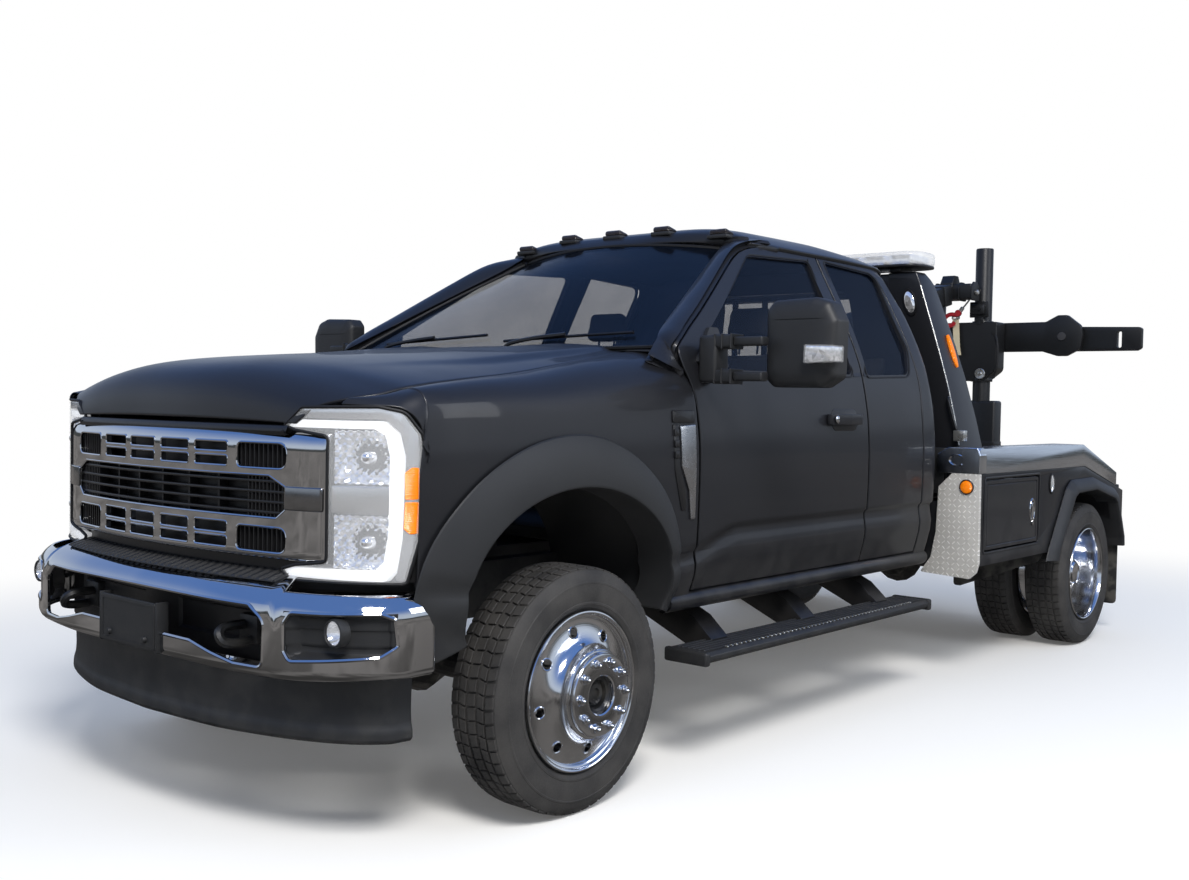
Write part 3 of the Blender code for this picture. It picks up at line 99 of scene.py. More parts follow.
def fresh(name):
    """Names the primitive that was just added and puts its place into its mesh."""
    piece = bpy.context.object
    piece.name = name
    piece.data.name = name
    bpy.ops.object.transform_apply(location=True, rotation=True, scale=True)
    return piece


def edit(piece):
    """Edit mode with everything selected."""
    only(piece)
    bpy.ops.object.mode_set(mode="EDIT")
    bpy.ops.mesh.select_all(action="SELECT")


def pick(piece, kind, test):
    """Edit mode with the faces, edges or points that pass a test selected."""
    only(piece)
    bpy.ops.object.mode_set(mode="EDIT")
    bpy.ops.mesh.select_mode(type=kind)
    bpy.ops.mesh.select_all(action="DESELECT")
    bpy.ops.object.mode_set(mode="OBJECT")
    mesh = piece.data
    if kind == "FACE":
        for face in mesh.polygons:
            face.select = test(face.center, face.normal)
    elif kind == "EDGE":
        for edge in mesh.edges:
            start, end = (mesh.vertices[index].co for index in edge.vertices)
            edge.select = test(start, end)
    else:
        for vertex in mesh.vertices:
            vertex.select = test(vertex.co)
    bpy.ops.object.mode_set(mode="EDIT")
    return piece


def leave(piece):
    """Back to object mode with outward faces and no doubles."""
    bpy.ops.mesh.select_all(action="SELECT")
    bpy.ops.mesh.remove_doubles(threshold=0.00001)
    bpy.ops.mesh.normals_make_consistent(inside=False)
    bpy.ops.object.mode_set(mode="OBJECT")
    return piece


# %% [markdown]
# Modifiers are applied at once, so that what follows works on the real mesh. `soften` rounds sharp
# edges: pressed and moulded parts never have knife edges, and the small radius is what catches light.

# %% Modify and soften
def modify(piece, kind, **settings):
    only(piece)
    modifier = piece.modifiers.new(kind.lower(), kind)
    for key, value in settings.items():
        setattr(modifier, key, value)
    bpy.ops.object.modifier_apply(modifier=modifier.name)
    return piece


def soften(piece, width, segments=2, angle=35):
    return modify(piece, "BEVEL", width=width, segments=segments, limit_method="ANGLE",
        angle_limit=math.radians(angle))


def carve(piece, *tools, operation="DIFFERENCE"):
    """Cuts each tool out of the piece, or keeps or adds what they share, and removes the tools."""
    for tool in tools:
        modify(piece, "BOOLEAN", operation=operation, solver="MANIFOLD", object=tool)
        bpy.data.objects.remove(tool)
    return piece


def join(piece, *others, name=None):
    """One object out of several, without merging their surfaces."""
    clear()
    for other in others:
        other.select_set(True)
    piece.select_set(True)
    bpy.context.view_layer.objects.active = piece
    bpy.ops.object.join()
    piece.name = name or piece.name
    return piece


# %% [markdown]
# Four starts cover most of the truck: a block, a plate cut to an outline, a turned shape and a round
# bar. Each begins as a primitive and is shaped by extruding, spinning or sweeping.

# %% Blocks, plates, turned shapes and bars
def block(name, low, high, soft=0, segments=2):
    clear()
    bpy.ops.mesh.primitive_cube_add(size=1, location=[(a + b) / 2 for a, b in zip(low, high)])
    bpy.context.object.scale = [b - a for a, b in zip(low, high)]
    piece = fresh(name)
    return soften(piece, soft, segments) if soft else piece


AXES = {"x": Vector((1, 0, 0)), "y": Vector((0, 1, 0)), "z": Vector((0, 0, 1))}


def on_axis(axis, along, a, b):
    """Point at a distance along one axis, with a and b on the two others in order."""
    return Vector({"x": (along, a, b), "y": (a, along, b), "z": (a, b, along)}[axis])


def plate(name, outline, axis, reach, soft=0, segments=2, angle=35):
    """Flat outline pulled out along an axis from reach[0] to reach[1]."""
    clear()
    bpy.ops.mesh.primitive_circle_add(vertices=len(outline), radius=1, fill_type="NGON")
    piece = fresh(name)
    for vertex, (a, b) in zip(piece.data.vertices, outline):
        vertex.co = on_axis(axis, reach[0], a, b)
    edit(piece)
    bpy.ops.mesh.extrude_region_move(TRANSFORM_OT_translate={"value": AXES[axis] * (reach[1] - reach[0])})
    leave(piece)
    return soften(piece, soft, segments, angle) if soft else piece


def turned(name, profile, centre, axis="x", steps=48):
    """Closed profile of (radius, distance along the axis) spun round an axis through centre."""
    clear()
    bpy.ops.mesh.primitive_circle_add(vertices=len(profile), radius=1, fill_type="NOTHING")
    piece = fresh(name)
    for vertex, (radius, along) in zip(piece.data.vertices, profile):
        vertex.co = Vector(centre) + on_axis(axis, along, *((0, radius) if axis == "x" else (radius, 0)))
    edit(piece)
    bpy.ops.mesh.spin(steps=steps, angle=2 * math.pi, center=centre, axis=AXES[axis])
    bpy.ops.mesh.select_all(action="SELECT")
    bpy.ops.mesh.remove_doubles(threshold=0.00002)
    bpy.ops.mesh.delete_loose()
    return leave(piece)


def bar(name, points, radius, sides=12, closed=False):
    """Round bar along points."""
    curve = bpy.data.curves.new(name, "CURVE")
    curve.dimensions = "3D"
    curve.bevel_depth = radius
    curve.bevel_resolution = max(1, sides // 4 - 1)
    curve.use_fill_caps = not closed
    spline = curve.splines.new("POLY")
    spline.points.add(len(points) - 1)
    for slot, point in zip(spline.points, points):
        slot.co = (*point, 1)
    spline.use_cyclic_u = closed
    piece = bpy.data.objects.new(name, curve)
    bpy.context.collection.objects.link(piece)
    only(piece)
    bpy.ops.object.convert(target="MESH")
    piece = bpy.context.object
    bpy.ops.object.mode_set(mode="EDIT")
    return leave(piece)


# %% [markdown]
# Body panels are drawn through a few measured stations. `smooth` turns a short table into a curve
# with no overshoot, `rounded` rounds the corners of an outline, and `flowing` draws a smooth line
# through points, as a bent wire or hose runs.

# %% Curves through a few stations
def smooth(*table):
    """Function through (place, value) pairs that never overshoots them."""
    places = [pair[0] for pair in table]
    values = [pair[1] for pair in table]
    rises = [(b - a) / (q - p) for (p, a), (q, b) in zip(table, table[1:])]
    slopes = [rises[0]]
    for before, after in zip(rises, rises[1:]):
        slopes.append(0 if before * after <= 0 else 2 * before * after / (before + after))
    slopes.append(rises[-1])

    def value(place):
        place = min(max(place, places[0]), places[-1])
        index = max(i for i in range(len(places) - 1) if place >= places[i])
        width = places[index + 1] - places[index]
        t = (place - places[index]) / width
        a, b = values[index], values[index + 1]
        m, n = slopes[index] * width, slopes[index + 1] * width
        return (a * (2 * t ** 3 - 3 * t * t + 1) + m * (t ** 3 - 2 * t * t + t) + b * (3 * t * t - 2 * t ** 3)
            + n * (t ** 3 - t * t))

    return value


def stations(places, *rows):
    """One smooth function for each row of values over the same places."""
    return [smooth(*zip(places, row)) for row in rows]


def step(low, high, place):
    """0 below low, 1 above high and a soft rise between."""
    t = min(max((place - low) / (high - low), 0), 1)
    return t * t * (3 - 2 * t)


def bend(t, start, knee, end):
    """Point on the curve that leaves start towards knee and arrives at end from there."""
    return (1 - t) ** 2 * start + 2 * t * (1 - t) * knee + t * t * end


def arc(centre, radius, start, end, count):
    """Points on a circle or ellipse, angles in degrees."""
    wide, tall = radius if isinstance(radius, tuple) else (radius, radius)
    turns = [math.radians(start + (end - start) * i / count) for i in range(count + 1)]
    return [(centre[0] + wide * math.cos(t), centre[1] + tall * math.sin(t)) for t in turns]


def rounded(corners, radius, count=4):
    """Outline with each corner rounded; radius is one number or one for each corner."""
    outline = []
    for i, corner in enumerate(corners):
        here = Vector(corner)
        before = Vector(corners[i - 1]) - here
        after = Vector(corners[(i + 1) % len(corners)]) - here
        size = radius[i] if isinstance(radius, (list, tuple)) else radius
        if size <= 0:
            outline.append(tuple(here))
            continue
        half = before.angle(after) / 2
        reach = min(size / math.tan(half), before.length * 0.49, after.length * 0.49)
        start, end = here + before.normalized() * reach, here + after.normalized() * reach
        for k in range(count + 1):
            outline.append(tuple(bend(k / count, start, here, end)))
    return outline


def flowing(points, count=8):
    """Smooth line through points."""
    points = [Vector(p) for p in points]
    line = []
    for i in range(len(points) - 1):
        a, b = points[i], points[i + 1]
        before = points[i - 1] if i else a + (a - b)
        after = points[i + 2] if i + 2 < len(points) else b + (b - a)
        for k in range(count):
            t = k / count
            line.append(0.5 * (2 * a + (b - before) * t + (2 * before - 5 * a + 4 * b - after) * t * t
                + (3 * a - before - 3 * b + after) * t ** 3))
    return line + [points[-1]]


def rectangle(low, high, radius=0, count=4):
    """Outline of a rectangle, with its corners rounded if a radius is given."""
    corners = [(low[0], low[1]), (high[0], low[1]), (high[0], high[1]), (low[0], high[1])]
    return rounded(corners, radius, count) if radius else corners


def divided(outline, reach):
    """Outline with extra points, so that no step across is much longer than reach."""
    line = []
    for (x, z), (x2, z2) in zip(outline, outline[1:] + outline[:1]):
        parts = max(1, round(abs(x2 - x) / reach))
        line += [(x + (x2 - x) * k / parts, z + (z2 - z) * k / parts) for k in range(parts)]
    return line


def mirrored(outline):
    """Outline on the other side of the middle."""
    return [(-x, z) for x, z in reversed(outline)]


# %% [markdown]
# A pressed panel is a thin sheet with rolled edges. `panel` starts from a flat grid and places each
# of its points by a rule of two shares, across and up. Points near the rim are crowded together and
# drop inwards on a small radius, so that each shut line shows a rounded lip. Solidify gives the
# sheet its thickness.

# %% Pressed panels
def shares(count, size, lip):
    """Places 0..1 along a side of a panel, crowded at both ends over the lip's radius."""
    near = [0, 0.15, 0.45, 1, 2.2] if lip else [0]
    near = [n * lip / size for n in near]
    inner = [near[-1] + (1 - 2 * near[-1]) * i / count for i in range(1, count)]
    return near + inner + [1 - n for n in reversed(near)]


def panel(name, place, across, up, lip=0.004, thick=0.015, crowd=()):
    """Sheet whose points are place(a, b), a and b from 0 to 1, with cells of about the given sizes.

    Its rim rolls inwards over the lip's radius; crowd adds rows at the given places of b."""
    wide = sum((place((i + 1) / 8, 0.5) - place(i / 8, 0.5)).length for i in range(8))
    tall = sum((place(0.5, (i + 1) / 8) - place(0.5, i / 8)).length for i in range(8))
    a_list = shares(max(2, round(wide / across)), wide, lip)
    b_list = sorted(set(shares(max(2, round(tall / up)), tall, lip)) | set(crowd))
    clear()
    bpy.ops.mesh.primitive_grid_add(x_subdivisions=len(a_list) - 1, y_subdivisions=len(b_list) - 1, size=2)
    piece = fresh(name)
    small = 0.002
    for vertex in piece.data.vertices:
        a = a_list[round((vertex.co.x + 1) / 2 * (len(a_list) - 1))]
        b = b_list[round((vertex.co.y + 1) / 2 * (len(b_list) - 1))]
        a_low, a_high = max(a - small, 0), min(a + small, 1)
        b_low, b_high = max(b - small, 0), min(b + small, 1)
        normal = (place(a_high, b) - place(a_low, b)).cross(place(a, b_high) - place(a, b_low))
        point = place(a, b)
        gap = min(a * wide, (1 - a) * wide, b * tall, (1 - b) * tall)
        if gap < lip:
            inset = lip - gap
            point -= normal.normalized() * (lip - math.sqrt(max(lip * lip - inset * inset, 0)))
        vertex.co = point
    if thick:
        modify(piece, "SOLIDIFY", thickness=thick, offset=-1)
    return piece


def flip(piece):
    piece.data.flip_normals()
    return piece


def other_side(piece, name):
    """Copy of a piece for the truck's other side."""
    only(piece)
    bpy.ops.object.duplicate()
    copy = bpy.context.object
    copy.name = name
    copy.data.name = name
    for vertex in copy.data.vertices:
        vertex.co.x = -vertex.co.x
    return flip(copy)


def copied(piece, name, move):
    """Copy of a piece, moved."""
    only(piece)
    bpy.ops.object.duplicate()
    copy = bpy.context.object
    copy.name = name
    copy.data.name = name
    copy.data.transform(Matrix.Translation(move))
    return copy


# %% [markdown]
# When a piece is ready it is slid from the axle's lengths into the frame, gets its finish and its
# smooth shading, and rides on its body. `pair` does that for a piece and its mirror image.

# %% Settle a finished piece
COUNT = {"pieces": 0}


def settle(piece, body, finish, stands_for=(), slot="own", angle=32):
    piece.data.transform(Matrix.Translation((0, AXLE_Y, 0)))
    piece.data.materials.clear()
    piece.data.materials.append(finish)
    for face in piece.data.polygons:
        face.material_index = 0
    only(piece)
    bpy.ops.object.shade_smooth_by_angle(angle=math.radians(angle))
    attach(piece, body)
    if stands_for:
        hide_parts(*([stands_for] if isinstance(stands_for, str) else stands_for))
    if slot == "own":
        slot = OWN_SLOT[finish.name]
    COUNT["pieces"] += 1
    return piece


def pair(piece, body, finish, stands_for="", **extra):
    """Settles a left piece and its mirror image; {} in body and stands_for is the side's name."""
    name = piece.name
    right = other_side(piece, name + "_right")
    piece.name = name + "_left"
    piece.data.name = name + "_left"
    for (side, _), one in zip(SIDES, (piece, right)):
        settle(one, body.format(side), finish, stands_for.format(side), **extra)


# %% [markdown]
# Finishes are node materials. `Wire` lets shader maths be written as Python: adding or multiplying
# two wires adds the Math node for it. `Finish` holds one material, sets the even values on its
# shader and makes every other node through one method.

# %% Shader maths as expressions
class Wire:
    """Output of a node that can be added, multiplied and raised to a power."""

    def __init__(self, finish, socket):
        self.finish = finish
        self.socket = socket

    def maths(self, operation, *values):
        return self.finish.node("ShaderNodeMath", {"operation": operation}, dict(enumerate(values)))


OPERATIONS = {"add": "ADD", "sub": "SUBTRACT", "mul": "MULTIPLY", "truediv": "DIVIDE", "pow": "POWER"}
for method, operation in OPERATIONS.items():
    setattr(Wire, f"__{method}__", lambda one, two, kind=operation: one.maths(kind, one, two))
    setattr(Wire, f"__r{method}__", lambda one, two, kind=operation: one.maths(kind, two, one))


class Finish:
    """A node material with a Principled shader."""

    def __init__(self, name, **even):
        self.material = bpy.data.materials.new(name)
        self.material.use_nodes = True
        self.tree = self.material.node_tree
        self.shader = self.tree.nodes["Principled BSDF"]
        for key, value in even.items():
            self.shader.inputs[key.replace("_", " ")].default_value = value
        self.place = self.node("ShaderNodeTexCoord", {}, {}, "Object")

    def node(self, kind, settings=None, sockets=None, output=0):
        node = self.tree.nodes.new(kind)
        for key, value in (settings or {}).items():
            setattr(node, key, value)
        for key, value in (sockets or {}).items():
            if isinstance(value, Wire):
                self.tree.links.new(value.socket, node.inputs[key])
            else:
                node.inputs[key].default_value = value
        return Wire(self, node.outputs[output])

    def put(self, socket, wire):
        self.tree.links.new(wire.socket, self.shader.inputs[socket])

    def noise(self, scale, detail=3, roughness=0.5, place=None):
        sockets = {"Vector": place or self.place, "Scale": scale, "Detail": detail, "Roughness": roughness}
        return self.node("ShaderNodeTexNoise", {}, sockets, "Fac")

    def stretch(self, x, y, z):
        return self.node("ShaderNodeMapping", {}, {"Vector": self.place, "Scale": (x, y, z)})

    def axis(self, letter, place=None):
        return self.node("ShaderNodeSeparateXYZ", {}, {0: place or self.place}, letter.upper())

    def ramp(self, wire, low, high, start=0, end=1):
        sockets = {"Value": wire, "From Min": low, "From Max": high, "To Min": start, "To Max": end}
        return self.node("ShaderNodeMapRange", {"interpolation_type": "SMOOTHSTEP"}, sockets)

    def blend(self, share, one, two):
        return self.node("ShaderNodeMix", {"data_type": "RGBA"}, {0: share, 6: one, 7: two}, 2)

    def bump(self, height, distance, strength=1):
        self.put("Normal", self.node("ShaderNodeBump", {}, {"Height": height, "Distance": distance,
            "Strength": strength}))


def shade(red, green, blue):
    """Colour of a shader socket from the 0..255 numbers of a paint chart."""
    def linear(value):
        value /= 255
        return value / 12.92 if value <= 0.04045 else ((value + 0.055) / 1.055) ** 2.4
    return (linear(red), linear(green), linear(blue), 1)


# %% [markdown]
# ## Camera, light and floor
#
# The camera stands near the left front corner, a little under the belt line, with a slight roll. Its
# matrix is built from three angles, so that no tracking constraint can turn it.

# %% Camera
CAMERA_AT = Vector((3.7113, -3.0778 + AXLE_Y, 1.3531))
YAW, PITCH, ROLL = math.radians(40.481), math.radians(-1.8105), math.radians(1.0347)
ahead = Vector((-math.sin(YAW) * math.cos(PITCH), math.cos(YAW) * math.cos(PITCH), math.sin(PITCH)))
level = Vector((math.cos(YAW), math.sin(YAW), 0))
upright = level.cross(ahead)
right = level * math.cos(ROLL) + upright * math.sin(ROLL)
up = upright * math.cos(ROLL) - level * math.sin(ROLL)
bpy.ops.object.camera_add(location=CAMERA_AT)
camera = bpy.context.object
camera.name = "camera"
camera.matrix_world = Matrix.Translation(CAMERA_AT) @ Matrix((right, up, -ahead)).transposed().to_4x4()
camera.data.sensor_width = 36
camera.data.lens = 38.075405
camera.data.clip_end = 200
bpy.context.scene.camera = camera
bpy.context.scene.view_settings.view_transform = "Standard"

# %% [markdown]
# The light is a plain even studio with a broad lamp high before the left front corner and a weaker one
# at the left side. Chrome needs something to mirror: its rays see a blue sky and a dark line at the
# horizon, while the eye sees white all round.

# %% Sky and lamps
world = bpy.data.worlds.new("studio")
bpy.context.scene.world = world
world.use_nodes = True


class Sky(Finish):
    """The world's nodes, written in the same way as a finish."""

    def __init__(self, world):
        self.tree = world.node_tree
        self.shader = self.tree.nodes["Background"]
        self.place = self.node("ShaderNodeTexCoord", {}, {}, "Generated")


sky = Sky(world)
height = sky.axis("z")
overhead = sky.ramp(height, 0.3, 0.75)
room = sky.blend(overhead, (1, 1, 1, 1), (0.55, 0.68, 0.92, 1))
trees = sky.blend(sky.ramp(height, 0.03, 0.075), (0.07, 0.075, 0.075, 1), (0.6, 0.68, 0.8, 1))
mirrored_sky = sky.blend(sky.ramp(height, 0.1, 0.6), trees, (0.12, 0.24, 0.58, 1))
mirror_ray = sky.node("ShaderNodeLightPath", {}, {}, "Is Glossy Ray")
sky.put("Color", sky.blend(mirror_ray, room, mirrored_sky))
seen = mirror_ray
for ray in ("Is Camera Ray", "Is Transmission Ray"):
    seen = seen.maths("MAXIMUM", seen, sky.node("ShaderNodeLightPath", {}, {}, ray))
sky.put("Strength", seen * 0.45 + 0.55)


def lamp(name, at, size, power, colour=(1, 1, 1)):
    """Square lamp that faces the truck's middle."""
    at = Vector(at)
    bpy.ops.object.light_add(type="AREA", location=at)
    light = bpy.context.object
    light.name = name
    light.data.size = size
    light.data.energy = power
    light.data.color = colour
    light.rotation_euler = (Vector((0, 0, 0.9)) - at).to_track_quat("-Z", "Y").to_euler()
    return light


lamp("key", (6, -6, 8), 3, 900, (1, 0.97, 0.92))
lamp("side", (9, 3, 5), 4, 200, (0.96, 0.98, 1))

# %% [markdown]
# The floor is matt and pale, keeps the truck's shadow and fades into the white round it. Mirrored rays
# see a grey-brown ground there instead, darker near the truck as a painted shadow, and it belongs to the
# stage, not to the part.

# %% Floor
clear()
bpy.ops.mesh.primitive_plane_add(size=120, location=(0, 0, -0.001))
floor = fresh("floor")
floor_finish = Finish("floor_paint", Roughness=0.9)
floor_finish.put("Base Color", floor_finish.blend(floor_finish.noise(0.6), (0.93, 0.93, 0.93, 1),
    (0.95, 0.95, 0.95, 1)))
by_camera = floor_finish.node("ShaderNodeLightPath", {}, {}, "Is Camera Ray")
floor_finish.put("Emission Color", floor_finish.blend(by_camera, (0, 0, 0, 1), (0.08, 0.079, 0.078, 1)))
floor_finish.shader.inputs["Emission Strength"].default_value = 1
wide, long = floor_finish.axis("x") / 4.6, floor_finish.axis("y") / 6.2
away = floor_finish.ramp((wide * wide + long * long) ** 0.5, 0.55, 1.25)
glow = floor_finish.node("ShaderNodeEmission", {}, {"Color": (1, 1, 1, 1), "Strength": 1})
body = Wire(floor_finish, floor_finish.shader.outputs[0])
mixed = floor_finish.node("ShaderNodeMixShader", {}, {0: away, 1: body, 2: glow})
patches = floor_finish.ramp(floor_finish.noise(0.9, 3, 0.5, floor_finish.stretch(1, 0.5, 1)), 0.4, 0.6)
# Painted shadow: the mirrored ground is darker near the truck, with random patches.
ground = floor_finish.blend(away * 0.5 + patches * 0.5, (0.05, 0.048, 0.046, 1), (0.26, 0.245, 0.235, 1))
mirrored_ground = floor_finish.node("ShaderNodeEmission", {}, {"Color": ground, "Strength": 1})
in_mirror = floor_finish.node("ShaderNodeLightPath", {}, {}, "Is Glossy Ray")
mixed = floor_finish.node("ShaderNodeMixShader", {}, {0: in_mirror, 1: mixed, 2: mirrored_ground})
floor_finish.tree.links.new(mixed.socket, floor_finish.tree.nodes["Material Output"].inputs["Surface"])
floor.data.materials.append(floor_finish.material)

# %% [markdown]
# ## Finishes
#
# The body paint is a dark charcoal satin with fine metallic flake: a slightly rough metallic base
# under a thin clear coat. The flake is a tiny noise in the colour and the normal. The lower body
# collects a little dust, so the paint is a shade paler and rougher near the ground.

# %% Paints
def tones(colour, darker, lighter):
    """A darker and a lighter tone of a colour."""
    return [tuple(c * k for c in colour[:3]) + (1,) for k in (darker, lighter)]


def paint(name, colour, dust=True):
    finish = Finish(name, Coat_Roughness=0.06, Specular_IOR_Level=0.38)
    flake = finish.noise(900, 2, 0.7)
    cloud = finish.noise(2.2, 4)
    low, high = tones(colour, 0.86, 1.16)
    base = finish.blend(flake * 0.7 + cloud * 0.3, low, high)
    rough = finish.ramp(cloud, 0.3, 0.7, 0.4, 0.47)
    if dust:
        height = finish.axis("z")
        film = finish.ramp(height, 0.95, 0.35, 0, 0.16) * finish.ramp(finish.noise(9, 5), 0.35, 0.65)
        base = finish.blend(film, base, shade(128, 126, 122))
        rough = rough + film * 0.9
    finish.put("Base Color", base)
    finish.put("Roughness", rough)
    finish.put("Metallic", finish.ramp(flake, 0.3, 0.7, 0.25, 0.5))
    finish.put("Coat Weight", finish.ramp(cloud, 0.2, 0.8, 0.3, 0.22))
    finish.bump(flake, 0.00006, 0.35)
    return finish.material


BODY_PAINT = paint("body_paint", shade(33, 34, 38))

# %% [markdown]
# Moulded plastics have a leather-like grain and no coat. Powder-coated steel shows a finer orange
# peel and dust in its lower parts. Both are the same recipe with other numbers.

# %% Plastics and black steel
def grained(name, colour, rough, scale, depth, metallic=0, dust=0.12):
    finish = Finish(name, Metallic=metallic, Specular_IOR_Level=0.45)
    grain = finish.noise(scale, 3, 0.6)
    cloud = finish.noise(5, 4)
    low, high = tones(colour, 0.8, 1.25)
    base = finish.blend(cloud, low, high)
    film = finish.ramp(finish.axis("z"), 0.9, 0.2, 0, dust) * finish.ramp(finish.noise(14, 5), 0.4, 0.6)
    finish.put("Base Color", finish.blend(film, base, shade(120, 116, 108)))
    finish.put("Roughness", finish.ramp(grain, 0.3, 0.7, rough - 0.05, rough + 0.05))
    finish.bump(grain, depth, 0.5)
    return finish.material


BLACK_PLASTIC = grained("black_plastic", shade(32, 33, 35), 0.52, 420, 0.0004, dust=0.05)
SATIN_BLACK = grained("satin_black", shade(22, 22, 24), 0.36, 160, 0.0002, dust=0.05)
BLACK_STEEL = grained("black_steel", shade(18, 19, 21), 0.42, 260, 0.0003, dust=0.16)
FRAME_STEEL = grained("frame_steel", shade(24, 24, 25), 0.58, 60, 0.0008, dust=0.3)
ENGINE_IRON = grained("engine_iron", shade(70, 70, 72), 0.55, 90, 0.001, metallic=0.6, dust=0.2)
RUBBER_SEAL = grained("rubber_seal", shade(16, 16, 17), 0.62, 300, 0.0002, dust=0)

# %% [markdown]
# Bright metals differ in their roughness: chrome is a mirror with faint waves, polished aluminium
# is a little softer with fine turning marks round the wheel, and galvanised plate is dull with
# pale and dark spangles.

# %% Bright metals
def chrome(name, colour, rough=0.04, wave=0.0012):
    finish = Finish(name, Metallic=1)
    cloud = finish.noise(3, 2)
    finish.put("Base Color", finish.blend(cloud, tuple(c * 0.92 for c in colour[:3]) + (1,), colour))
    finish.put("Roughness", finish.ramp(finish.noise(40, 4), 0.35, 0.75, rough, rough + 0.05))
    finish.bump(finish.noise(7, 2), wave, 0.25)
    return finish.material


CHROME = chrome("chrome", (0.66, 0.67, 0.69, 1))
GREY_CHROME = chrome("grey_chrome", (0.3, 0.305, 0.315, 1), 0.16)


def wheel_metal(name, centre):
    """Polished aluminium with turning marks round the wheel's own axle."""
    finish = Finish(name, Metallic=1)
    moved = finish.node("ShaderNodeMapping", {}, {"Vector": finish.place,
        "Location": tuple(-c for c in centre)})
    y, z = finish.axis("y", moved), finish.axis("z", moved)
    radius = (y * y + z * z) ** 0.5
    ring = finish.node("ShaderNodeCombineXYZ", {}, {0: radius * 260})
    marks = finish.noise(1, 2, 0.6, ring)
    cloud = finish.noise(11, 4)
    finish.put("Base Color", finish.blend(cloud, (0.62, 0.63, 0.65, 1), (0.8, 0.81, 0.83, 1)))
    finish.put("Roughness", finish.ramp(marks, 0.3, 0.7, 0.07, 0.17) + cloud * 0.04)
    finish.bump(marks, 0.0004, 0.3)
    return finish.material


def galvanised(name, colour, rough):
    finish = Finish(name, Metallic=0.85)
    spangle = finish.node("ShaderNodeTexVoronoi", {}, {"Vector": finish.place, "Scale": 38}, "Color")
    shine = finish.axis("x", spangle)
    cloud = finish.noise(6, 4)
    mixed = shine * 0.5 + cloud * 0.5
    low, high = tones(colour, 0.78, 1.08)
    finish.put("Base Color", finish.blend(mixed, low, high))
    finish.put("Roughness", finish.ramp(mixed, 0.2, 0.8, rough - 0.08, rough + 0.08))
    finish.bump(finish.noise(70, 4), 0.0005, 0.3)
    return finish.material


def brushed(name, colour, rough):
    """Sheet metal with fine marks along the truck."""
    finish = Finish(name, Metallic=1)
    marks = finish.noise(1, 3, 0.6, finish.stretch(240, 6, 240))
    cloud = finish.noise(3, 4)
    low, high = tones(colour, 0.88, 1.06)
    finish.put("Base Color", finish.blend(cloud * 0.6 + marks * 0.4, low, high))
    finish.put("Roughness", finish.ramp(marks, 0.3, 0.7, rough - 0.05, rough + 0.05))
    finish.bump(marks, 0.00006, 0.15)
    return finish.material


BRIGHT_PLATE = brushed("bright_plate", (0.64, 0.68, 0.74), 0.17)
ZINC = galvanised("zinc_fittings", (0.52, 0.52, 0.5), 0.3)

# %% [markdown]
# Tread plate carries raised lozenges that point two ways by turns. Each square cell of the sheet has
# one; the cell's place decides its direction, and the same sum raises the bump, paints the lozenges
# lighter as a painted highlight and makes their worn tops a little smoother.

# %% Tread plate
def tread_plate(name, across, upward, cell=0.026):
    finish = Finish(name, Metallic=0.2)
    one, two = [finish.axis(letter) / cell for letter in (across, upward)]
    place = [wire.maths("FRACT", wire) - 0.5 for wire in (one, two)]
    turn = finish.node("ShaderNodeMath", {"operation": "PINGPONG"},
        {0: one.maths("FLOOR", one) + two.maths("FLOOR", two), 1: 1}) * 2 - 1
    long = (place[0] + place[1] * turn) * 0.707
    short = (place[0] - place[1] * turn) * 0.707
    spread = (long / 0.44) ** 2 + (short / 0.12) ** 2
    lug = finish.ramp(spread, 1, 0.35)
    cloud = finish.noise(5, 4)
    # Painted highlight: the lozenges are painted lighter than the plate between them.
    finish.put("Base Color", finish.blend(lug * 0.7 + cloud * 0.3, (0.44, 0.43, 0.41, 1), (1, 0.99, 0.97, 1)))
    finish.put("Roughness", finish.ramp(cloud, 0.3, 0.7, 0.26, 0.38) - lug * 0.08)
    finish.bump(lug, 0.0035, 0.9)
    return finish.material


KICK_TREAD = tread_plate("kick_tread", "x", "z")
DECK_TREAD = tread_plate("deck_tread", "x", "y")

# %% [markdown]
# Lenses and window glass let the background through. Glass is a dark blue tint that is part
# see-through; lamp lenses are nearly clear; the marker lenses are amber with a ribbed inside.

# %% Glass and lenses
def see_through(name, colour, alpha, rough=0.02, ribs=None, glow=0, gloss=0.6):
    finish = Finish(name, IOR=1.5, Specular_IOR_Level=gloss)
    cloud = finish.noise(4, 2)
    low, high = tones(colour, 0.9, 1.1)
    finish.put("Base Color", finish.blend(cloud, low, high))
    finish.put("Alpha", finish.ramp(cloud, 0.2, 0.8, alpha - 0.02, alpha + 0.02))
    finish.put("Roughness", finish.ramp(cloud, 0.2, 0.8, rough, rough + 0.02))
    if ribs:
        wave = finish.node("ShaderNodeTexWave", {"bands_direction": ribs[0]},
            {"Vector": finish.place, "Scale": ribs[1], "Distortion": 0}, "Fac")
        finish.bump(wave, 0.002, 0.6)
    if glow:
        finish.shader.inputs["Emission Color"].default_value = colour
        finish.shader.inputs["Emission Strength"].default_value = glow
    return finish.material


WINDOW_GLASS = see_through("window_glass", shade(14, 21, 34), 0.36, gloss=0.24)
CLEAR_LENS = see_through("clear_lens", (0.85, 0.87, 0.9, 1), 0.16)
AMBER_LENS = see_through("amber_lens", shade(243, 128, 8), 0.97, 0.08, ("Z", 60), 0.25)
SMOKED_LENS = see_through("smoked_lens", shade(40, 34, 30), 0.96, 0.06, ("Z", 60))
RED_LENS = see_through("red_lens", shade(176, 14, 12), 0.97, 0.08, ("Z", 60), 0.1)
WHITE_LAMP = see_through("white_lamp", (0.93, 0.94, 0.96, 1), 1, 0.18, None, 0.35)

# %% [markdown]
# Tyre rubber is nearly black and dull, with an even film of grey dust. The seats are woven cloth,
# made later with the cushions.

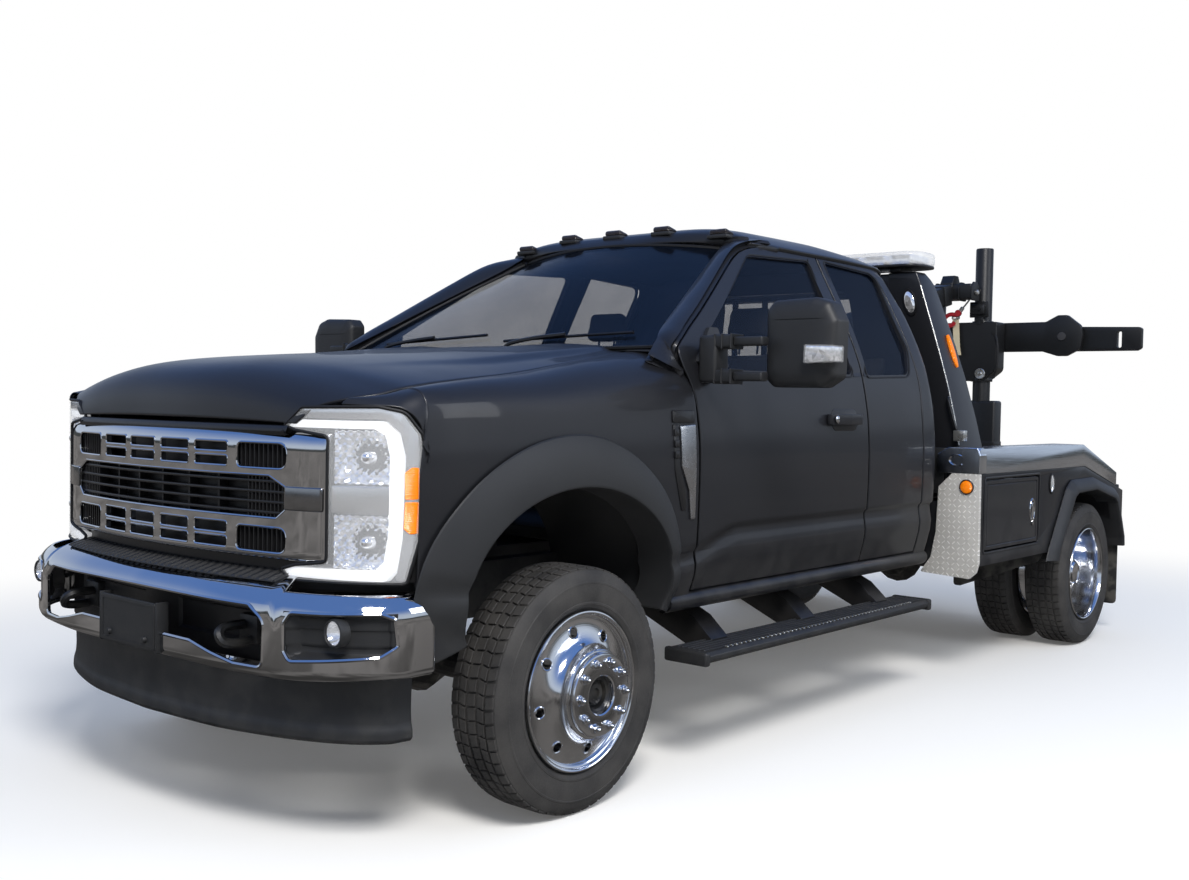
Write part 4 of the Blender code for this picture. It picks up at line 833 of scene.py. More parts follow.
# %% Rubber
def tyre_rubber(name):
    finish = Finish(name, Specular_IOR_Level=0.4)
    fine = finish.noise(180, 4, 0.6)
    cloud = finish.noise(8, 5)
    finish.put("Base Color", finish.blend(finish.ramp(cloud, 0.25, 0.75, 0.2, 0.6), shade(27, 27, 28),
        shade(74, 72, 70)))
    finish.put("Roughness", finish.ramp(fine, 0.3, 0.7, 0.58, 0.74))
    finish.bump(fine, 0.0008, 0.5)
    return finish.material


TYRE_RUBBER = tyre_rubber("tyre_rubber")
MUD_FLAP = grained("flap_rubber", shade(28, 28, 28), 0.66, 220, 0.0004, dust=0.3)

# %% [markdown]
# Each finish stands for one of the record's material slots. `settle` looks up a piece's slot from its
# finish, unless its line names another one or none, but does not store it on the piece.

# %% The slot of each finish
OWN_SLOT = {}
for slot, finishes in (("body_paint", [BODY_PAINT]), ("black_steel", [BLACK_STEEL]),
        ("chrome", [CHROME, GREY_CHROME]), ("black_plastic", [BLACK_PLASTIC, SATIN_BLACK, RUBBER_SEAL,
        MUD_FLAP]), ("lamp_lens", [CLEAR_LENS, AMBER_LENS, SMOKED_LENS, RED_LENS, WHITE_LAMP]),
        ("window_glass", [WINDOW_GLASS]), ("tyre_rubber", [TYRE_RUBBER]),
        ("bright_plate", [BRIGHT_PLATE, KICK_TREAD, DECK_TREAD])):
    OWN_SLOT.update({finish.name: slot for finish in finishes})
print("finishes with a slot:", len(OWN_SLOT))

# %% [markdown]
# Every frame solid that stays in sight gets a node finish too. The ones that a later piece replaces
# are hidden there; the rest are the plain hidden metal under the truck.

# %% Finishes for the frame solids
SLOT_FINISH = {"body_paint": BODY_PAINT, "black_plastic": BLACK_PLASTIC, "black_steel": BLACK_STEEL,
    "frame_steel": FRAME_STEEL, "engine_iron": ENGINE_IRON, "chrome": CHROME,
    "polished_aluminium": BRIGHT_PLATE, "bright_plate": BRIGHT_PLATE, "tyre_rubber": TYRE_RUBBER,
    "window_glass": WINDOW_GLASS, "lamp_lens": CLEAR_LENS, "seat_fabric": BLACK_PLASTIC}
for part in frame["record"]["subparts"]:
    node = frame["nodes"][part["node"]]
    for material_slot in node.material_slots:
        material_slot.material = SLOT_FINISH[part["material_slot"]]


# %% [markdown]
# ## The hood
#
# A pressed lid that runs from a blunt nose back to the windshield. Its centre line and its outer edge
# are measured; every cross line between them is a flat crown that falls off near the edge, with two
# long creases that rise towards the cab. A grid panel suits it: the stations become rows.

# %% Hood
HOOD_CENTRE_Y, HOOD_CENTRE_Z, HOOD_EDGE_X, HOOD_EDGE_Y, HOOD_EDGE_Z = stations((0, 0.05, 0.1, 0.16, 0.22, 0.3,
    0.45, 0.6, 0.75, 0.88, 1), (-0.868, -0.862, -0.848, -0.815, -0.755, -0.65, -0.36, -0.1, 0.165, 0.4,
    0.572), (1.276, 1.33, 1.376, 1.42, 1.452, 1.474, 1.5, 1.518, 1.538, 1.556, 1.569),
    (0.64, 0.672, 0.715, 0.79, 0.845, 0.866, 0.834, 0.8, 0.779, 0.752, 0.73),
    (-0.838, -0.832, -0.812, -0.762, -0.69, -0.6, -0.35, -0.1, 0.165, 0.4, 0.572),
    (1.268, 1.288, 1.322, 1.345, 1.36, 1.384, 1.415, 1.441, 1.482, 1.518, 1.543))


def hood_point(a, b):
    """Place on the hood: a from the right edge to the left, b from the nose to the cab."""
    across = 2 * a - 1
    out = abs(across)
    centre_z, edge_z = HOOD_CENTRE_Z(b), HOOD_EDGE_Z(b)
    y = HOOD_CENTRE_Y(b) + (HOOD_EDGE_Y(b) - HOOD_CENTRE_Y(b)) * out ** 2
    z = centre_z + (edge_z - centre_z) * out ** 2.6
    x = HOOD_EDGE_X(b) * across
    grown = step(-0.72, 0.35, y)
    crease = 0.6 + 0.05 * grown
    z += 0.016 * grown * (1 - step(crease - 0.035, crease + 0.035, abs(x))) - 0.006 * grown
    z -= 0.012 * grown * (1 - step(0.24, 0.42, abs(x)))
    return Vector((x, y, z))


hood = panel("hood_skin", hood_point, 0.02, 0.02, lip=0.006, thick=0.018,
    crowd=(0.02, 0.035, 0.07, 0.13, 0.19))
settle(hood, "hood", BODY_PAINT, "hood", angle=50)
print("hood corners", hood_point(0.5, 0), hood_point(1, 0.3), hood_point(1, 1))

# %% [markdown]
# The hood seals against a dark strip at its nose and a black cowl at the windshield's foot. The cowl
# is a ribbed plastic moulding; the strip is a plain rolled bar of body plastic behind the lip.

# %% Nose seal and cowl
def nose_point(a, b):
    across = 2 * a - 1
    return Vector((0.612 * across, -0.86 + 0.03 * across ** 2 + 0.012 * b, 1.264 - 0.024 * b))


settle(panel("nose_seal", nose_point, 0.05, 0.008, lip=0.003, thick=0.03), "truck", SATIN_BLACK, slot=None)


def cowl_point(a, b):
    across = 2 * a - 1
    x = 0.905 * across
    y = 0.575 + 0.085 * b - 0.055 * (1 - across ** 2) * b
    z = 1.556 - 0.018 * across ** 2 + 0.012 * math.sin(b * math.pi) - 0.018 * b
    return Vector((x, y, z))


cowl = panel("cowl", cowl_point, 0.04, 0.012, lip=0.004, thick=0.02)
pick(cowl, "FACE", lambda c, n: n.z > 0.7 and abs(c.x) < 0.74 and abs(c.x) % 0.16 < 0.08
    and 0.59 < c.y < 0.62)
bpy.ops.mesh.inset(thickness=0.004, depth=-0.006)
leave(cowl)
settle(cowl, "truck", BLACK_PLASTIC, slot=None)

# %% [markdown]
# ## The cab side
#
# One rule gives the half width of the cab at each height: a step and a shallow tuck near the sill, a
# nearly upright flank, a soft shoulder and the lean of the window band. The step dips at its front
# end. Fenders and doors are all cut from this one surface, so they line up across the shut lines.

# %% The side surface
SIDE = smooth((0.58, 0.94), (0.61, 0.962), (0.655, 0.972), (0.7, 0.984), (0.76, 0.998), (0.8, 1.002),
    (0.868, 0.993), (0.88, 0.995), (0.89, 1.005), (0.9, 1.0075), (1, 1.0115), (1.08, 1.013), (1.16, 1.012),
    (1.23, 1.008), (1.3, 1.0015), (1.37, 0.991), (1.45, 0.9745), (1.54, 0.95), (2.05, 0.7))
STEP_ROWS = (0.655, 0.7, 0.76, 0.8, 0.84, 0.868, 0.88, 0.89, 0.9, 0.95)


def dipped(y, z):
    """Height on the flat drawing for a real height: the low step dips ahead of the door."""
    dip = 0.085 * (1 - step(0.6, 0.98, y))
    near = 1 - abs(z + dip - 0.885) / 0.22
    return z + dip * max(0, near)


def side_x(y, z):
    nose = 0.016 * step(0.3, 0.72, -y) + 0.02 * step(0.52, 0.7, -y)
    return SIDE(dipped(y, z)) - nose


# %% [markdown]
# The front door's leading edge runs straight up, leans forward to the pillar's foot and then climbs
# back with the windshield, turning over the top in a wide curve. Each row of the panel reaches from
# that edge to the rear one. The windows are cut afterwards, with rounded corners.

# %% Doors
FRONT_EDGE = smooth((0.655, 0.692), (1.18, 0.692), (1.33, 0.684), (1.42, 0.664), (1.5, 0.628), (1.54, 0.622),
    (1.6, 0.692), (1.7, 0.852), (1.8, 1.012), (1.88, 1.14), (1.94, 1.238), (1.975, 1.306), (2, 1.38),
    (2.018, 1.47), (2.03, 1.58))
REAR_EDGE = smooth((0.655, 2.5), (1.3, 2.5), (1.45, 2.515), (1.56, 2.515), (1.75, 2.515), (1.9, 2.512),
    (1.975, 2.49), (2.015, 2.43), (2.03, 2.33))
DOOR_SPAN = (0.655, 2.03)
DOOR_ROWS = tuple((z - DOOR_SPAN[0]) / (DOOR_SPAN[1] - DOOR_SPAN[0]) for z in STEP_ROWS[1:]
    + (1.27, 1.29, 1.315, 1.34, 1.36, 1.985, 2, 2.012, 2.021, 2.026))


def door_point(front, rear):
    def place(a, b):
        z = DOOR_SPAN[0] + (DOOR_SPAN[1] - DOOR_SPAN[0]) * b
        y = front(z) + (rear(z) - front(z)) * a
        return Vector((side_x(y, z), y, z))
    return place


def window_outline(corners, radius, grow=0):
    """Rounded window outline in lengths and heights, grown outwards by a margin."""
    middle = sum((Vector(c) for c in corners), Vector((0, 0))) / len(corners)
    grown = []
    for corner in corners:
        away = Vector(corner) - middle
        grown.append((corner[0] + math.copysign(grow, away.x), corner[1] + math.copysign(grow, away.y)))
    return rounded(grown, radius, 6)


FRONT_WINDOW = [(0.8, 1.478), (1.88, 1.486), (1.874, 1.992), (1.368, 1.97), (0.82, 1.6)]
FRONT_RADII = [0.04, 0.03, 0.03, 0.11, 0.08]
REAR_WINDOW = [(2.018, 1.486), (2.42, 1.5), (2.484, 1.62), (2.482, 1.984), (2.03, 2.004)]
REAR_RADII = [0.03, 0.06, 0.1, 0.065, 0.02]


def draped(piece, depth=0):
    """Lays a flat piece, drawn in lengths and heights with its thickness in x, on the side surface."""
    for vertex in piece.data.vertices:
        vertex.co.x += side_x(vertex.co.y, vertex.co.z) - depth
    return piece


def framed(name, outer, inner, thick, depth):
    """Ring between two outlines with as many points, laid on the side surface."""
    ring = plate(name, outer, "x", (0, thick))
    carve(ring, plate("cut", inner, "x", (-0.1, thick + 0.1)))
    return draped(ring, depth)


def side_glass(name, corners, radii, depth=0.016):
    glass = plate(name, window_outline(corners, radii, 0.006), "x", (0, 0.005))
    return draped(glass, depth)


front_door = panel("front_door_skin", door_point(FRONT_EDGE, lambda z: 1.965), 0.028, 0.028, thick=0.03,
    crowd=DOOR_ROWS)
carve(front_door, plate("cut", window_outline(FRONT_WINDOW, FRONT_RADII), "x", (0.4, 1.3)))
rear_door = panel("rear_door_skin", door_point(lambda z: 1.977, REAR_EDGE), 0.028, 0.028, thick=0.03,
    crowd=DOOR_ROWS)
carve(rear_door, plate("cut", window_outline(REAR_WINDOW, REAR_RADII), "x", (0.4, 1.3)))
pair(front_door, "front_door_{}", BODY_PAINT, "front_door_{}", angle=35)
pair(rear_door, "rear_door_{}", BODY_PAINT, "rear_door_{}", angle=35)

# %% [markdown]
# Each door window has a dark rubber seal round its opening and a pane set a little behind the skin.
# Between the two windows the door frames wear gloss black covers, and the front door has a black
# sail at its front corner, on which the mirror stands.

# %% Window seals, panes and pillar covers
for door, corners, radii in (("front_door", FRONT_WINDOW, FRONT_RADII),
        ("rear_door", REAR_WINDOW, REAR_RADII)):
    seal = framed(door + "_seal", window_outline(corners, radii, 0.012),
        window_outline(corners, radii, -0.006), 0.012, 0.008)
    pair(seal, door + "_{}", RUBBER_SEAL)
    pair(side_glass(door + "_glass", corners, radii), door + "_{}", WINDOW_GLASS)

cover = plate("front_pillar_cover", rounded([(1.888, 1.478), (1.958, 1.48), (1.958, 2.018), (1.884, 2.01)],
    0.008), "x", (0, 0.004))
pair(draped(cover, 0.001), "front_door_{}", SATIN_BLACK)
cover = plate("rear_pillar_cover", rounded([(1.984, 1.482), (2.024, 1.484), (2.03, 2.014), (1.984, 2.018)],
    0.006), "x", (0, 0.004))
pair(draped(cover, 0.001), "rear_door_{}", SATIN_BLACK)
sail = plate("mirror_sail", rounded([(0.705, 1.5), (0.905, 1.486), (0.905, 1.64), (0.85, 1.64)],
    [0.012, 0.01, 0.01, 0.02]), "x", (-0.01, 0.014))
pair(draped(sail), "front_door_{}", BLACK_PLASTIC)

# %% [markdown]
# Behind the outer skins the doors have an inner panel with an arm rest, seen through the glass and
# when a door is open. It is a shallow box with its edges rounded and a pocket pressed into it.

# %% Inner door panels
def inner_panel(name, y, low_z):
    inner = block(name, (0.885, y[0], low_z), (0.958, y[1], 1.44), 0.012)
    pick(inner, "FACE", lambda c, n: n.x < -0.9)
    bpy.ops.mesh.inset(thickness=0.07, depth=0)
    bpy.ops.mesh.inset(thickness=0.012, depth=0.01)
    leave(inner)
    middle = (y[0] + y[1]) / 2
    rest = block(name + "_rest", (0.85, middle - 0.22, 1.13), (0.9, middle + 0.22, 1.2), 0.018, 3)
    return join(inner, rest)


pair(inner_panel("front_door_inner", (0.745, 1.93), 0.72), "front_door_{}", BLACK_PLASTIC, slot=None)
pair(inner_panel("rear_door_inner", (2.005, 2.44), 0.72), "rear_door_{}", BLACK_PLASTIC, slot=None)

# %% [markdown]
# ## Fenders
#
# A fender is the same side surface from the lamp back to the door, turned over inwards at its top to
# meet the hood. Rows below the shoulder lie on the side surface; above it they follow a rounded
# crown up to the shut line. The wheel arch is cut with an upright oval.

# %% Fender skins
SHUT_X, SHUT_Z = stations((-0.66, -0.6, -0.35, -0.1, 0.165, 0.4, 0.6),
    (0.884, 0.875, 0.843, 0.809, 0.788, 0.761, 0.738), (1.366, 1.38, 1.411, 1.437, 1.478, 1.514, 1.541))
FENDER_BACK = smooth((0.6, 0.68), (1.18, 0.68), (1.33, 0.672), (1.42, 0.652), (1.5, 0.616), (1.54, 0.61))


FLANK = 0.72
SHOULDER_Z = 1.3


def fender_front(z):
    return -0.65 + 0.03 * step(1.1, 1.36, z)


def fender_point(a, b):
    """a from the lamp to the door, b from the sill up and over to the hood."""
    share = min(b / FLANK, 1)
    z = 0.6 + (SHOULDER_Z - 0.6) * share
    y = fender_front(z) + (FENDER_BACK(z) - fender_front(z)) * a
    if b <= FLANK:
        return Vector((side_x(y, z), y, z))
    turn = (b - FLANK) / 0.28
    top = FENDER_BACK(SHOULDER_Z + 0.24 * turn)
    y = fender_front(1.36) + (top - fender_front(1.36)) * a
    start = Vector((side_x(y, SHOULDER_Z), y, SHOULDER_Z))
    end = Vector((SHUT_X(y), y, SHUT_Z(y)))
    knee = Vector((side_x(y, SHOULDER_Z) - 0.012, y, end.z + 0.018 - 0.02 * step(0.2, 0.6, y)))
    return bend(turn, start, knee, end)


ARCH_MIDDLE, ARCH_SIZE = (0, 0.72), (0.5, 0.35)
fender = panel("fender_skin", fender_point, 0.024, 0.022, thick=0.022,
    crowd=tuple((z - 0.6) / 0.7 * FLANK for z in STEP_ROWS + (1.27, 1.29)))
opening = arc(ARCH_MIDDLE, (0.535, 0.385), 0, 180, 30) + [(-0.535, 0.3), (0.535, 0.3)]
carve(fender, plate("cut", opening, "x", (0.6, 1.3)))
carve(fender, block("cut", (0.6, -0.9, 0.3), (1.3, -0.53, 0.8)))
pair(fender, "truck", BODY_PAINT, "fender_{}", angle=42)

# %% [markdown]
# The arch flare is a broad black moulding that stands proud of the fender and runs down to the
# bumper in front and to the sill behind. Its outline is wider than the arch; its outer face rolls
# inwards to the opening. The liner is a curved shell inside the arch.

# %% Arch flares and liners
def flare_line(share, reach):
    """Point on a line round the arch, share 0 at the front foot and 1 at the rear foot."""
    angle = math.radians(198 - 216 * share)
    y = ARCH_MIDDLE[0] + (ARCH_SIZE[0] + reach) * math.cos(angle)
    z = ARCH_MIDDLE[1] + (ARCH_SIZE[1] + reach) * math.sin(angle)
    return y, z


FLARE_WIDTH = smooth((0, 0.15), (0.15, 0.165), (0.3, 0.16), (0.5, 0.165), (0.7, 0.12), (0.85, 0.075),
    (1, 0.055))
FLARE_FACE = 0.72


def flare_point(a, b):
    """a round the arch from the front foot to the rear one, b from the outer rim in to the opening."""
    wide = FLARE_WIDTH(a)
    t = b / FLARE_FACE
    if b <= FLARE_FACE:
        y, z = flare_line(a, wide * (1 - t) + 0.004)
        proud = 0.01 + 0.026 * math.sin(t * math.pi / 2) ** 0.8
        return Vector((max(side_x(y, max(z, 0.62)), 0.966) + proud, y, z))
    turn = (b - FLARE_FACE) / 0.28
    y, z = flare_line(a, 0.004 * (1 - turn))
    return Vector((max(side_x(y, max(z, 0.62)), 0.966) + 0.036 - 0.15 * turn ** 1.3, y, z))


flare = panel("arch_flare", flare_point, 0.03, 0.012, lip=0.004, thick=0.006,
    crowd=(0.68, 0.7, 0.715, 0.73, 0.75))
flip(flare)
pair(flare, "truck", BLACK_PLASTIC, angle=40)


def liner_point(a, b):
    y, z = flare_line(a, 0.03)
    return Vector((0.42 + 0.47 * b, y, z))


liner = panel("arch_liner", liner_point, 0.05, 0.1, lip=0, thick=0.008)
pair(liner, "truck", BLACK_PLASTIC, slot=None)

# %% [markdown]
# ## Roof, pillars and back of the cab
#
# The roof is a crowned sheet between the windshield's head, the two door tops and the back wall. The
# header bulges forward in the middle. The rest of the cab is two pillar strips and one wrap that
# runs from door to door round the back, with the rear window cut into it.

# %% Windshield lines
def header(across):
    """Top edge of the windshield, across from -1 to 1."""
    return Vector((0.59 * across, 1.322 + 0.105 * across ** 2, 2.052 - 0.036 * across ** 2))


def glass_foot(across):
    return Vector((0.858 * across, 0.545 + 0.045 * across ** 2, 1.548 + 0.006 * across ** 2))


def windshield_point(a, b):
    across = 2 * a - 1
    point = glass_foot(across).lerp(header(across), b)
    swell = 0.03 * math.sin(b * math.pi) * (1 - across ** 2 * 0.6)
    return point + Vector((0, -0.5, 0.86)) * swell


# %% [markdown]
# The roof's stations run from the header to the back: its middle line and its gutter line, and a cross
# line of high power between them, flat in the middle and rounded at the gutter.

# %% Roof
ROOF_CENTRE_Y, ROOF_CENTRE_Z = stations((0, 0.04, 0.25, 0.6, 0.85, 0.95, 1),
    (1.322, 1.375, 1.62, 2.08, 2.44, 2.61, 2.685), (2.056, 2.098, 2.138, 2.14, 2.12, 2.095, 2.04))
ROOF_EDGE_X = smooth((0, 0.59), (0.04, 0.655), (0.12, 0.716), (0.25, 0.724), (0.9, 0.724), (0.96, 0.715),
    (1, 0.68))
ROOF_EDGE_Y = smooth((0, 1.428), (0.04, 1.425), (0.12, 1.44), (0.25, 1.64), (0.6, 2.08), (0.85, 2.42),
    (0.95, 2.585), (1, 2.66))
ROOF_EDGE_Z = smooth((0, 2.022), (0.04, 2.03), (0.12, 2.034), (0.25, 2.036), (0.6, 2.036), (0.9, 2.03),
    (0.96, 2.018), (1, 1.99))


def roof_point(a, b):
    across = 2 * a - 1
    out = abs(across)
    y = ROOF_CENTRE_Y(b) + (ROOF_EDGE_Y(b) - ROOF_CENTRE_Y(b)) * out ** 2
    z = ROOF_CENTRE_Z(b) + (ROOF_EDGE_Z(b) - ROOF_CENTRE_Z(b)) * out ** 5
    return Vector((ROOF_EDGE_X(b) * across, y, z))


roof = panel("roof_skin", roof_point, 0.035, 0.035, lip=0.006, thick=0.035, crowd=(0.015, 0.08, 0.16))
settle(roof, "truck", BODY_PAINT, "cab_shell", angle=50)

drip = [roof_point(1, k / 48) + Vector((-0.012, 0, -0.006)) for k in range(2, 48)]
pair(bar("roof_drip", drip, 0.0085, 8), "truck", RUBBER_SEAL)


# %% [markdown]
# The pillar is a narrow rolled strip between the door line and the glass. A short bar closes the corner
# where it meets the roof.

# %% Windshield pillars
corner = flowing([(0.58, 1.424, 2.01), (0.64, 1.43, 2.018), (0.688, 1.452, 2.022), (0.706, 1.52, 2.026),
    (0.712, 1.64, 2.028)], 6)
pair(bar("roof_corner", corner, 0.015, 10), "truck", BODY_PAINT, angle=60)


def pillar_point(a, b):
    """a from the door line to the glass, b from the foot, hidden under the cowl, to the head."""
    z = 1.45 + (2.03 - 1.45) * b
    tuck = min(max(0, 1.62 - 8.9 * b), 1)
    outer = Vector((side_x(1, z) - 0.035 * tuck, FRONT_EDGE(z) - 0.01 + 0.005 * tuck, z))
    inner = glass_foot(1) + (header(1) - glass_foot(1)) * (1.149 * b - 0.129) + Vector((0.006, 0.004, 0))
    knee = Vector(((outer.x + inner.x) / 2 + 0.012, min(outer.y, inner.y) - 0.002,
        (outer.z + inner.z) / 2 + 0.01))
    return bend(a, outer, knee, inner)


pillar = panel("windshield_pillar", pillar_point, 0.012, 0.03, lip=0.005, thick=0.03)
flip(pillar)
pair(pillar, "truck", BODY_PAINT, angle=50)


# %% [markdown]
# The back wall is one wrap from door to door. Its rule walks along the wall's plan: straight, a quarter
# turn, straight across, and the same again on the right.

# %% Back of the cab
def wrap_point(a, b):
    """Wall from one rear door round the back to the other; a along it, b from the sill to the roof."""
    z = 0.6 + (2.036 - 0.6) * b
    half = SIDE(z)
    back = 2.69 - 0.055 * step(1.75, 2.03, z)
    start = REAR_EDGE(min(max(z, 0.655), 2.029)) + 0.01
    straight = max(back - 0.08 - start, 0.01)
    turn = 0.08 * math.pi / 2
    rear = half - 0.08
    total = 2 * (straight + turn + rear)
    s = a * total
    sign = 1
    if s > total / 2:
        s, sign = total - s, -1
    if s < straight:
        x, y = half, start + s
    elif s < straight + turn:
        angle = (s - straight) / 0.08
        x, y = rear + 0.08 * math.cos(angle), back - 0.08 + 0.08 * math.sin(angle)
    else:
        x, y = rear - (s - straight - turn), back
    return Vector((sign * x, y, z))


back = panel("cab_back", wrap_point, 0.02, 0.05, lip=0.005, thick=0.035,
    crowd=tuple((z - 0.6) / 1.436 for z in STEP_ROWS + (1.27, 1.315, 1.36)))
carve(back, plate("cut", rounded([(-0.56, 1.52), (0.56, 1.52), (0.52, 1.93), (-0.52, 1.93)], 0.05), "y",
    (2.5, 2.9)))
settle(back, "truck", BODY_PAINT, angle=35)

# %% [markdown]
# The windshield is one bent pane held by a thin black seal; the rear window is flat. The rocker under
# the doors is a rounded rail behind the running board.

# %% Glass and rocker
windshield = panel("windshield_glass", windshield_point, 0.05, 0.05, lip=0, thick=0.005)
settle(windshield, "truck", WINDOW_GLASS, "windshield", angle=60)
edge = [windshield_point(i / 40, 0) for i in range(41)] + [windshield_point(1, i / 20) for i in range(1, 21)]
edge += [windshield_point(1 - i / 40, 1) for i in range(1, 41)] + [windshield_point(0, 1 - i / 20)
    for i in range(1, 20)]
settle(bar("windshield_seal", edge, 0.0075, 8, True), "truck", RUBBER_SEAL)
rear_glass = plate("rear_glass", rounded([(-0.552, 1.528), (0.552, 1.528), (0.512, 1.922), (-0.512, 1.922)],
    0.05), "y", (2.66, 2.665))
settle(rear_glass, "truck", WINDOW_GLASS, "rear_window")


def rocker_point(a, b):
    """a from the wheel arch back to the cab's end, b round the section from under the door inwards."""
    y = 0.56 + (2.64 - 0.56) * a
    angle = math.radians(80 - 170 * b)
    return Vector((0.93 + 0.044 * math.cos(angle), y, 0.618 + 0.03 * math.sin(angle)))


rocker = panel("rocker", rocker_point, 0.2, 0.012, lip=0.004, thick=0.01)
pair(rocker, "truck", BODY_PAINT, angle=50)
sill = block("door_sill", (0.82, 0.64, 0.61), (0.93, 2.62, 0.65), 0.01)
pair(sill, "truck", BLACK_PLASTIC, slot=None)
floor_pan = block("cab_floor", (-0.86, 0.66, 0.785), (0.86, 2.62, 0.835), 0.008)
settle(floor_pan, "truck", BLACK_PLASTIC, slot=None)

# %% [markdown]
# ## The grille
#
# The grille is one chromed moulding with a bowed face: two wide bars pierced by rounded slots, open
# ends with upright ribs, and broad plates beside the lamps. A bowed grid with rolled edges takes the
# slots in one cut, and a thin round lip along each slot stands for the radius that chrome shows.

# %% Bend flat parts over a bowed surface
def sliced(piece, axis, places):
    """Cuts extra lines across a piece so that it can bend."""
    only(piece)
    bpy.ops.object.mode_set(mode="EDIT")
    for place in places:
        bpy.ops.mesh.select_all(action="SELECT")
        bpy.ops.mesh.bisect(plane_co=AXES[axis] * place, plane_no=AXES[axis])
    return leave(piece)


def bowed(piece, rule):
    """Moves each point back by a rule of its place across and its height."""
    for vertex in piece.data.vertices:
        vertex.co.y += rule(vertex.co.x, vertex.co.z)
    return piece


def grille_y(x, z=0):
    return -0.905 + 0.085 * (x / 0.75) ** 2


SLOTS = []
for low, high in ((1.176, 1.209), (1.133, 1.166), (0.926, 0.964), (0.883, 0.918)):
    for left, right in ((0.018, 0.175), (0.205, 0.365)):
        SLOTS.append(rectangle((left, low), (right, high), 0.011, 4))
for low, high in ((1.131, 1.209), (0.88, 0.958)):
    SLOTS.append(rectangle((0.405, low), (0.615, high), [0.022, 0.034, 0.034, 0.022], 5))
SLOTS += [mirrored(slot) for slot in SLOTS]
BAND = [(0.545, 1.112), (-0.545, 1.112), (-0.612, 1.08), (-0.612, 1.012), (-0.575, 0.984), (0.575, 0.984),
    (0.612, 1.012), (0.612, 1.08)]


def grille_point(a, b):
    across = 2 * a - 1
    x = 0.752 * across
    z = 0.862 + (1.243 - 0.862) * b
    return Vector((x, grille_y(x) + 0.01 * step(0.66, 0.75, abs(x)) + 0.012 * step(1.2, 1.243, z), z))


grille = panel("grille_face", grille_point, 0.022, 0.016, lip=0.014, thick=0.02)
cuts = [plate("cut", outline, "y", (-1.2, -0.6)) for outline in SLOTS + [rounded(BAND, 0.01, 3)]]
carve(grille, *cuts)
lips = []
for outline in SLOTS + [rounded(BAND, 0.01, 3)]:
    lips.append(bar("lip", [(x, grille_y(x) + 0.003, z) for x, z in divided(outline, 0.03)], 0.0042, 8, True))
grille = join(grille, *lips)
settle(grille, "truck", CHROME, "grille", angle=38)
print("grille face", len(grille.data.polygons), "faces,", len(SLOTS), "slots")

# %% [markdown]
# Behind the slots lies a black core. The dark middle band holds four long slats, and upright ribs
# close its ends and the two open ends of each bar. A satin tongue joins the band to each lamp.

# %% Grille core, slats, ribs and tongues
def core_point(a, b):
    x = 0.735 * (2 * a - 1)
    return Vector((x, grille_y(x) + 0.052, 0.85 + 0.385 * b))


core = panel("grille_core", core_point, 0.06, 0.06, lip=0.004, thick=0.01)
slats = []
for height in (1, 1.031, 1.062, 1.093):
    slat = block("slat", (-0.618, 0.008, height - 0.0045), (0.618, 0.046, height + 0.0045), 0.003)
    slats.append(bowed(sliced(slat, "x", [i * 0.06 for i in range(-10, 11)]), grille_y))
for low, high, inner, outer in ((0.984, 1.112, 0.44, 0.612), (1.128, 1.212, 0.405, 0.615),
        (0.877, 0.961, 0.405, 0.615)):
    for number in range(11):
        x = inner + (outer - inner) * (number + 0.5) / 11
        for sign in (1, -1):
            rib = block("rib", (sign * x - 0.0022, 0.01, low), (sign * x + 0.0022, 0.045, high))
            slats.append(bowed(rib, grille_y))
for x in (-0.3, -0.15, 0, 0.15, 0.3):
    slats.append(bowed(block("post", (x - 0.004, 0.02, 0.984), (x + 0.004, 0.05, 1.112)), grille_y))
settle(join(core, *slats), "truck", SATIN_BLACK)

tongue = plate("grille_tongue", rounded([(0.61, 1.012), (0.744, 1.012), (0.744, 1.083), (0.61, 1.083)],
    0.008), "y", (-0.006, 0.012), 0.004, 3)
sliced(tongue, "x", [0.64, 0.67, 0.7, 0.72])
pair(bowed(tongue, lambda x, z: grille_y(x) + 0.01 * step(0.66, 0.75, abs(x))), "truck", GREY_CHROME)

# %% [markdown]
# ## Headlamps
#
# The lamp wraps round the corner. Its parts all lie on one surface that bends back with the width:
# a dark tray, two chromed reflectors with facets, a satin bar between them, a white light guide in
# the shape of a square bracket, an amber marker at the corner, and the clear cover over all.

# %% The lamp's surface and outline
LAMP_Y = smooth((0.5, -0.853), (0.56, -0.845), (0.66, -0.832), (0.76, -0.808), (0.86, -0.762), (0.93, -0.705),
    (0.97, -0.65), (0.985, -0.6), (0.99, -0.55))
LAMP_CUTS = [0.6, 0.64, 0.68, 0.72, 0.76, 0.8, 0.83, 0.86, 0.885, 0.91, 0.93, 0.945, 0.957, 0.967, 0.974,
    0.98]
LAMP_OUTLINE = rounded([(0.583, 0.835), (0.618, 0.806), (0.955, 0.812), (0.973, 0.938), (0.98, 1.16),
    (0.974, 1.249), (0.95, 1.309), (0.896, 1.323), (0.663, 1.318), (0.59, 1.262), (0.64, 1.25),
    (0.757, 1.235), (0.757, 0.868), (0.64, 0.852)], [0.006, 0.01, 0.012, 0.05, 0.05, 0.03, 0.03, 0.03, 0.02,
    0.004, 0.004, 0.02, 0.02, 0.004])


def lamp_piece(name, outline, front, back, soft=0, segments=2):
    """Flat part of the lamp, front and back counted back from the cover's surface."""
    piece = plate(name, outline, "y", (front, back), soft, segments, 50)
    xs = [x for x, z in outline]
    sliced(piece, "x", [place for place in LAMP_CUTS if min(xs) + 0.004 < place < max(xs) - 0.003])
    return bowed(piece, lambda x, z: LAMP_Y(x))


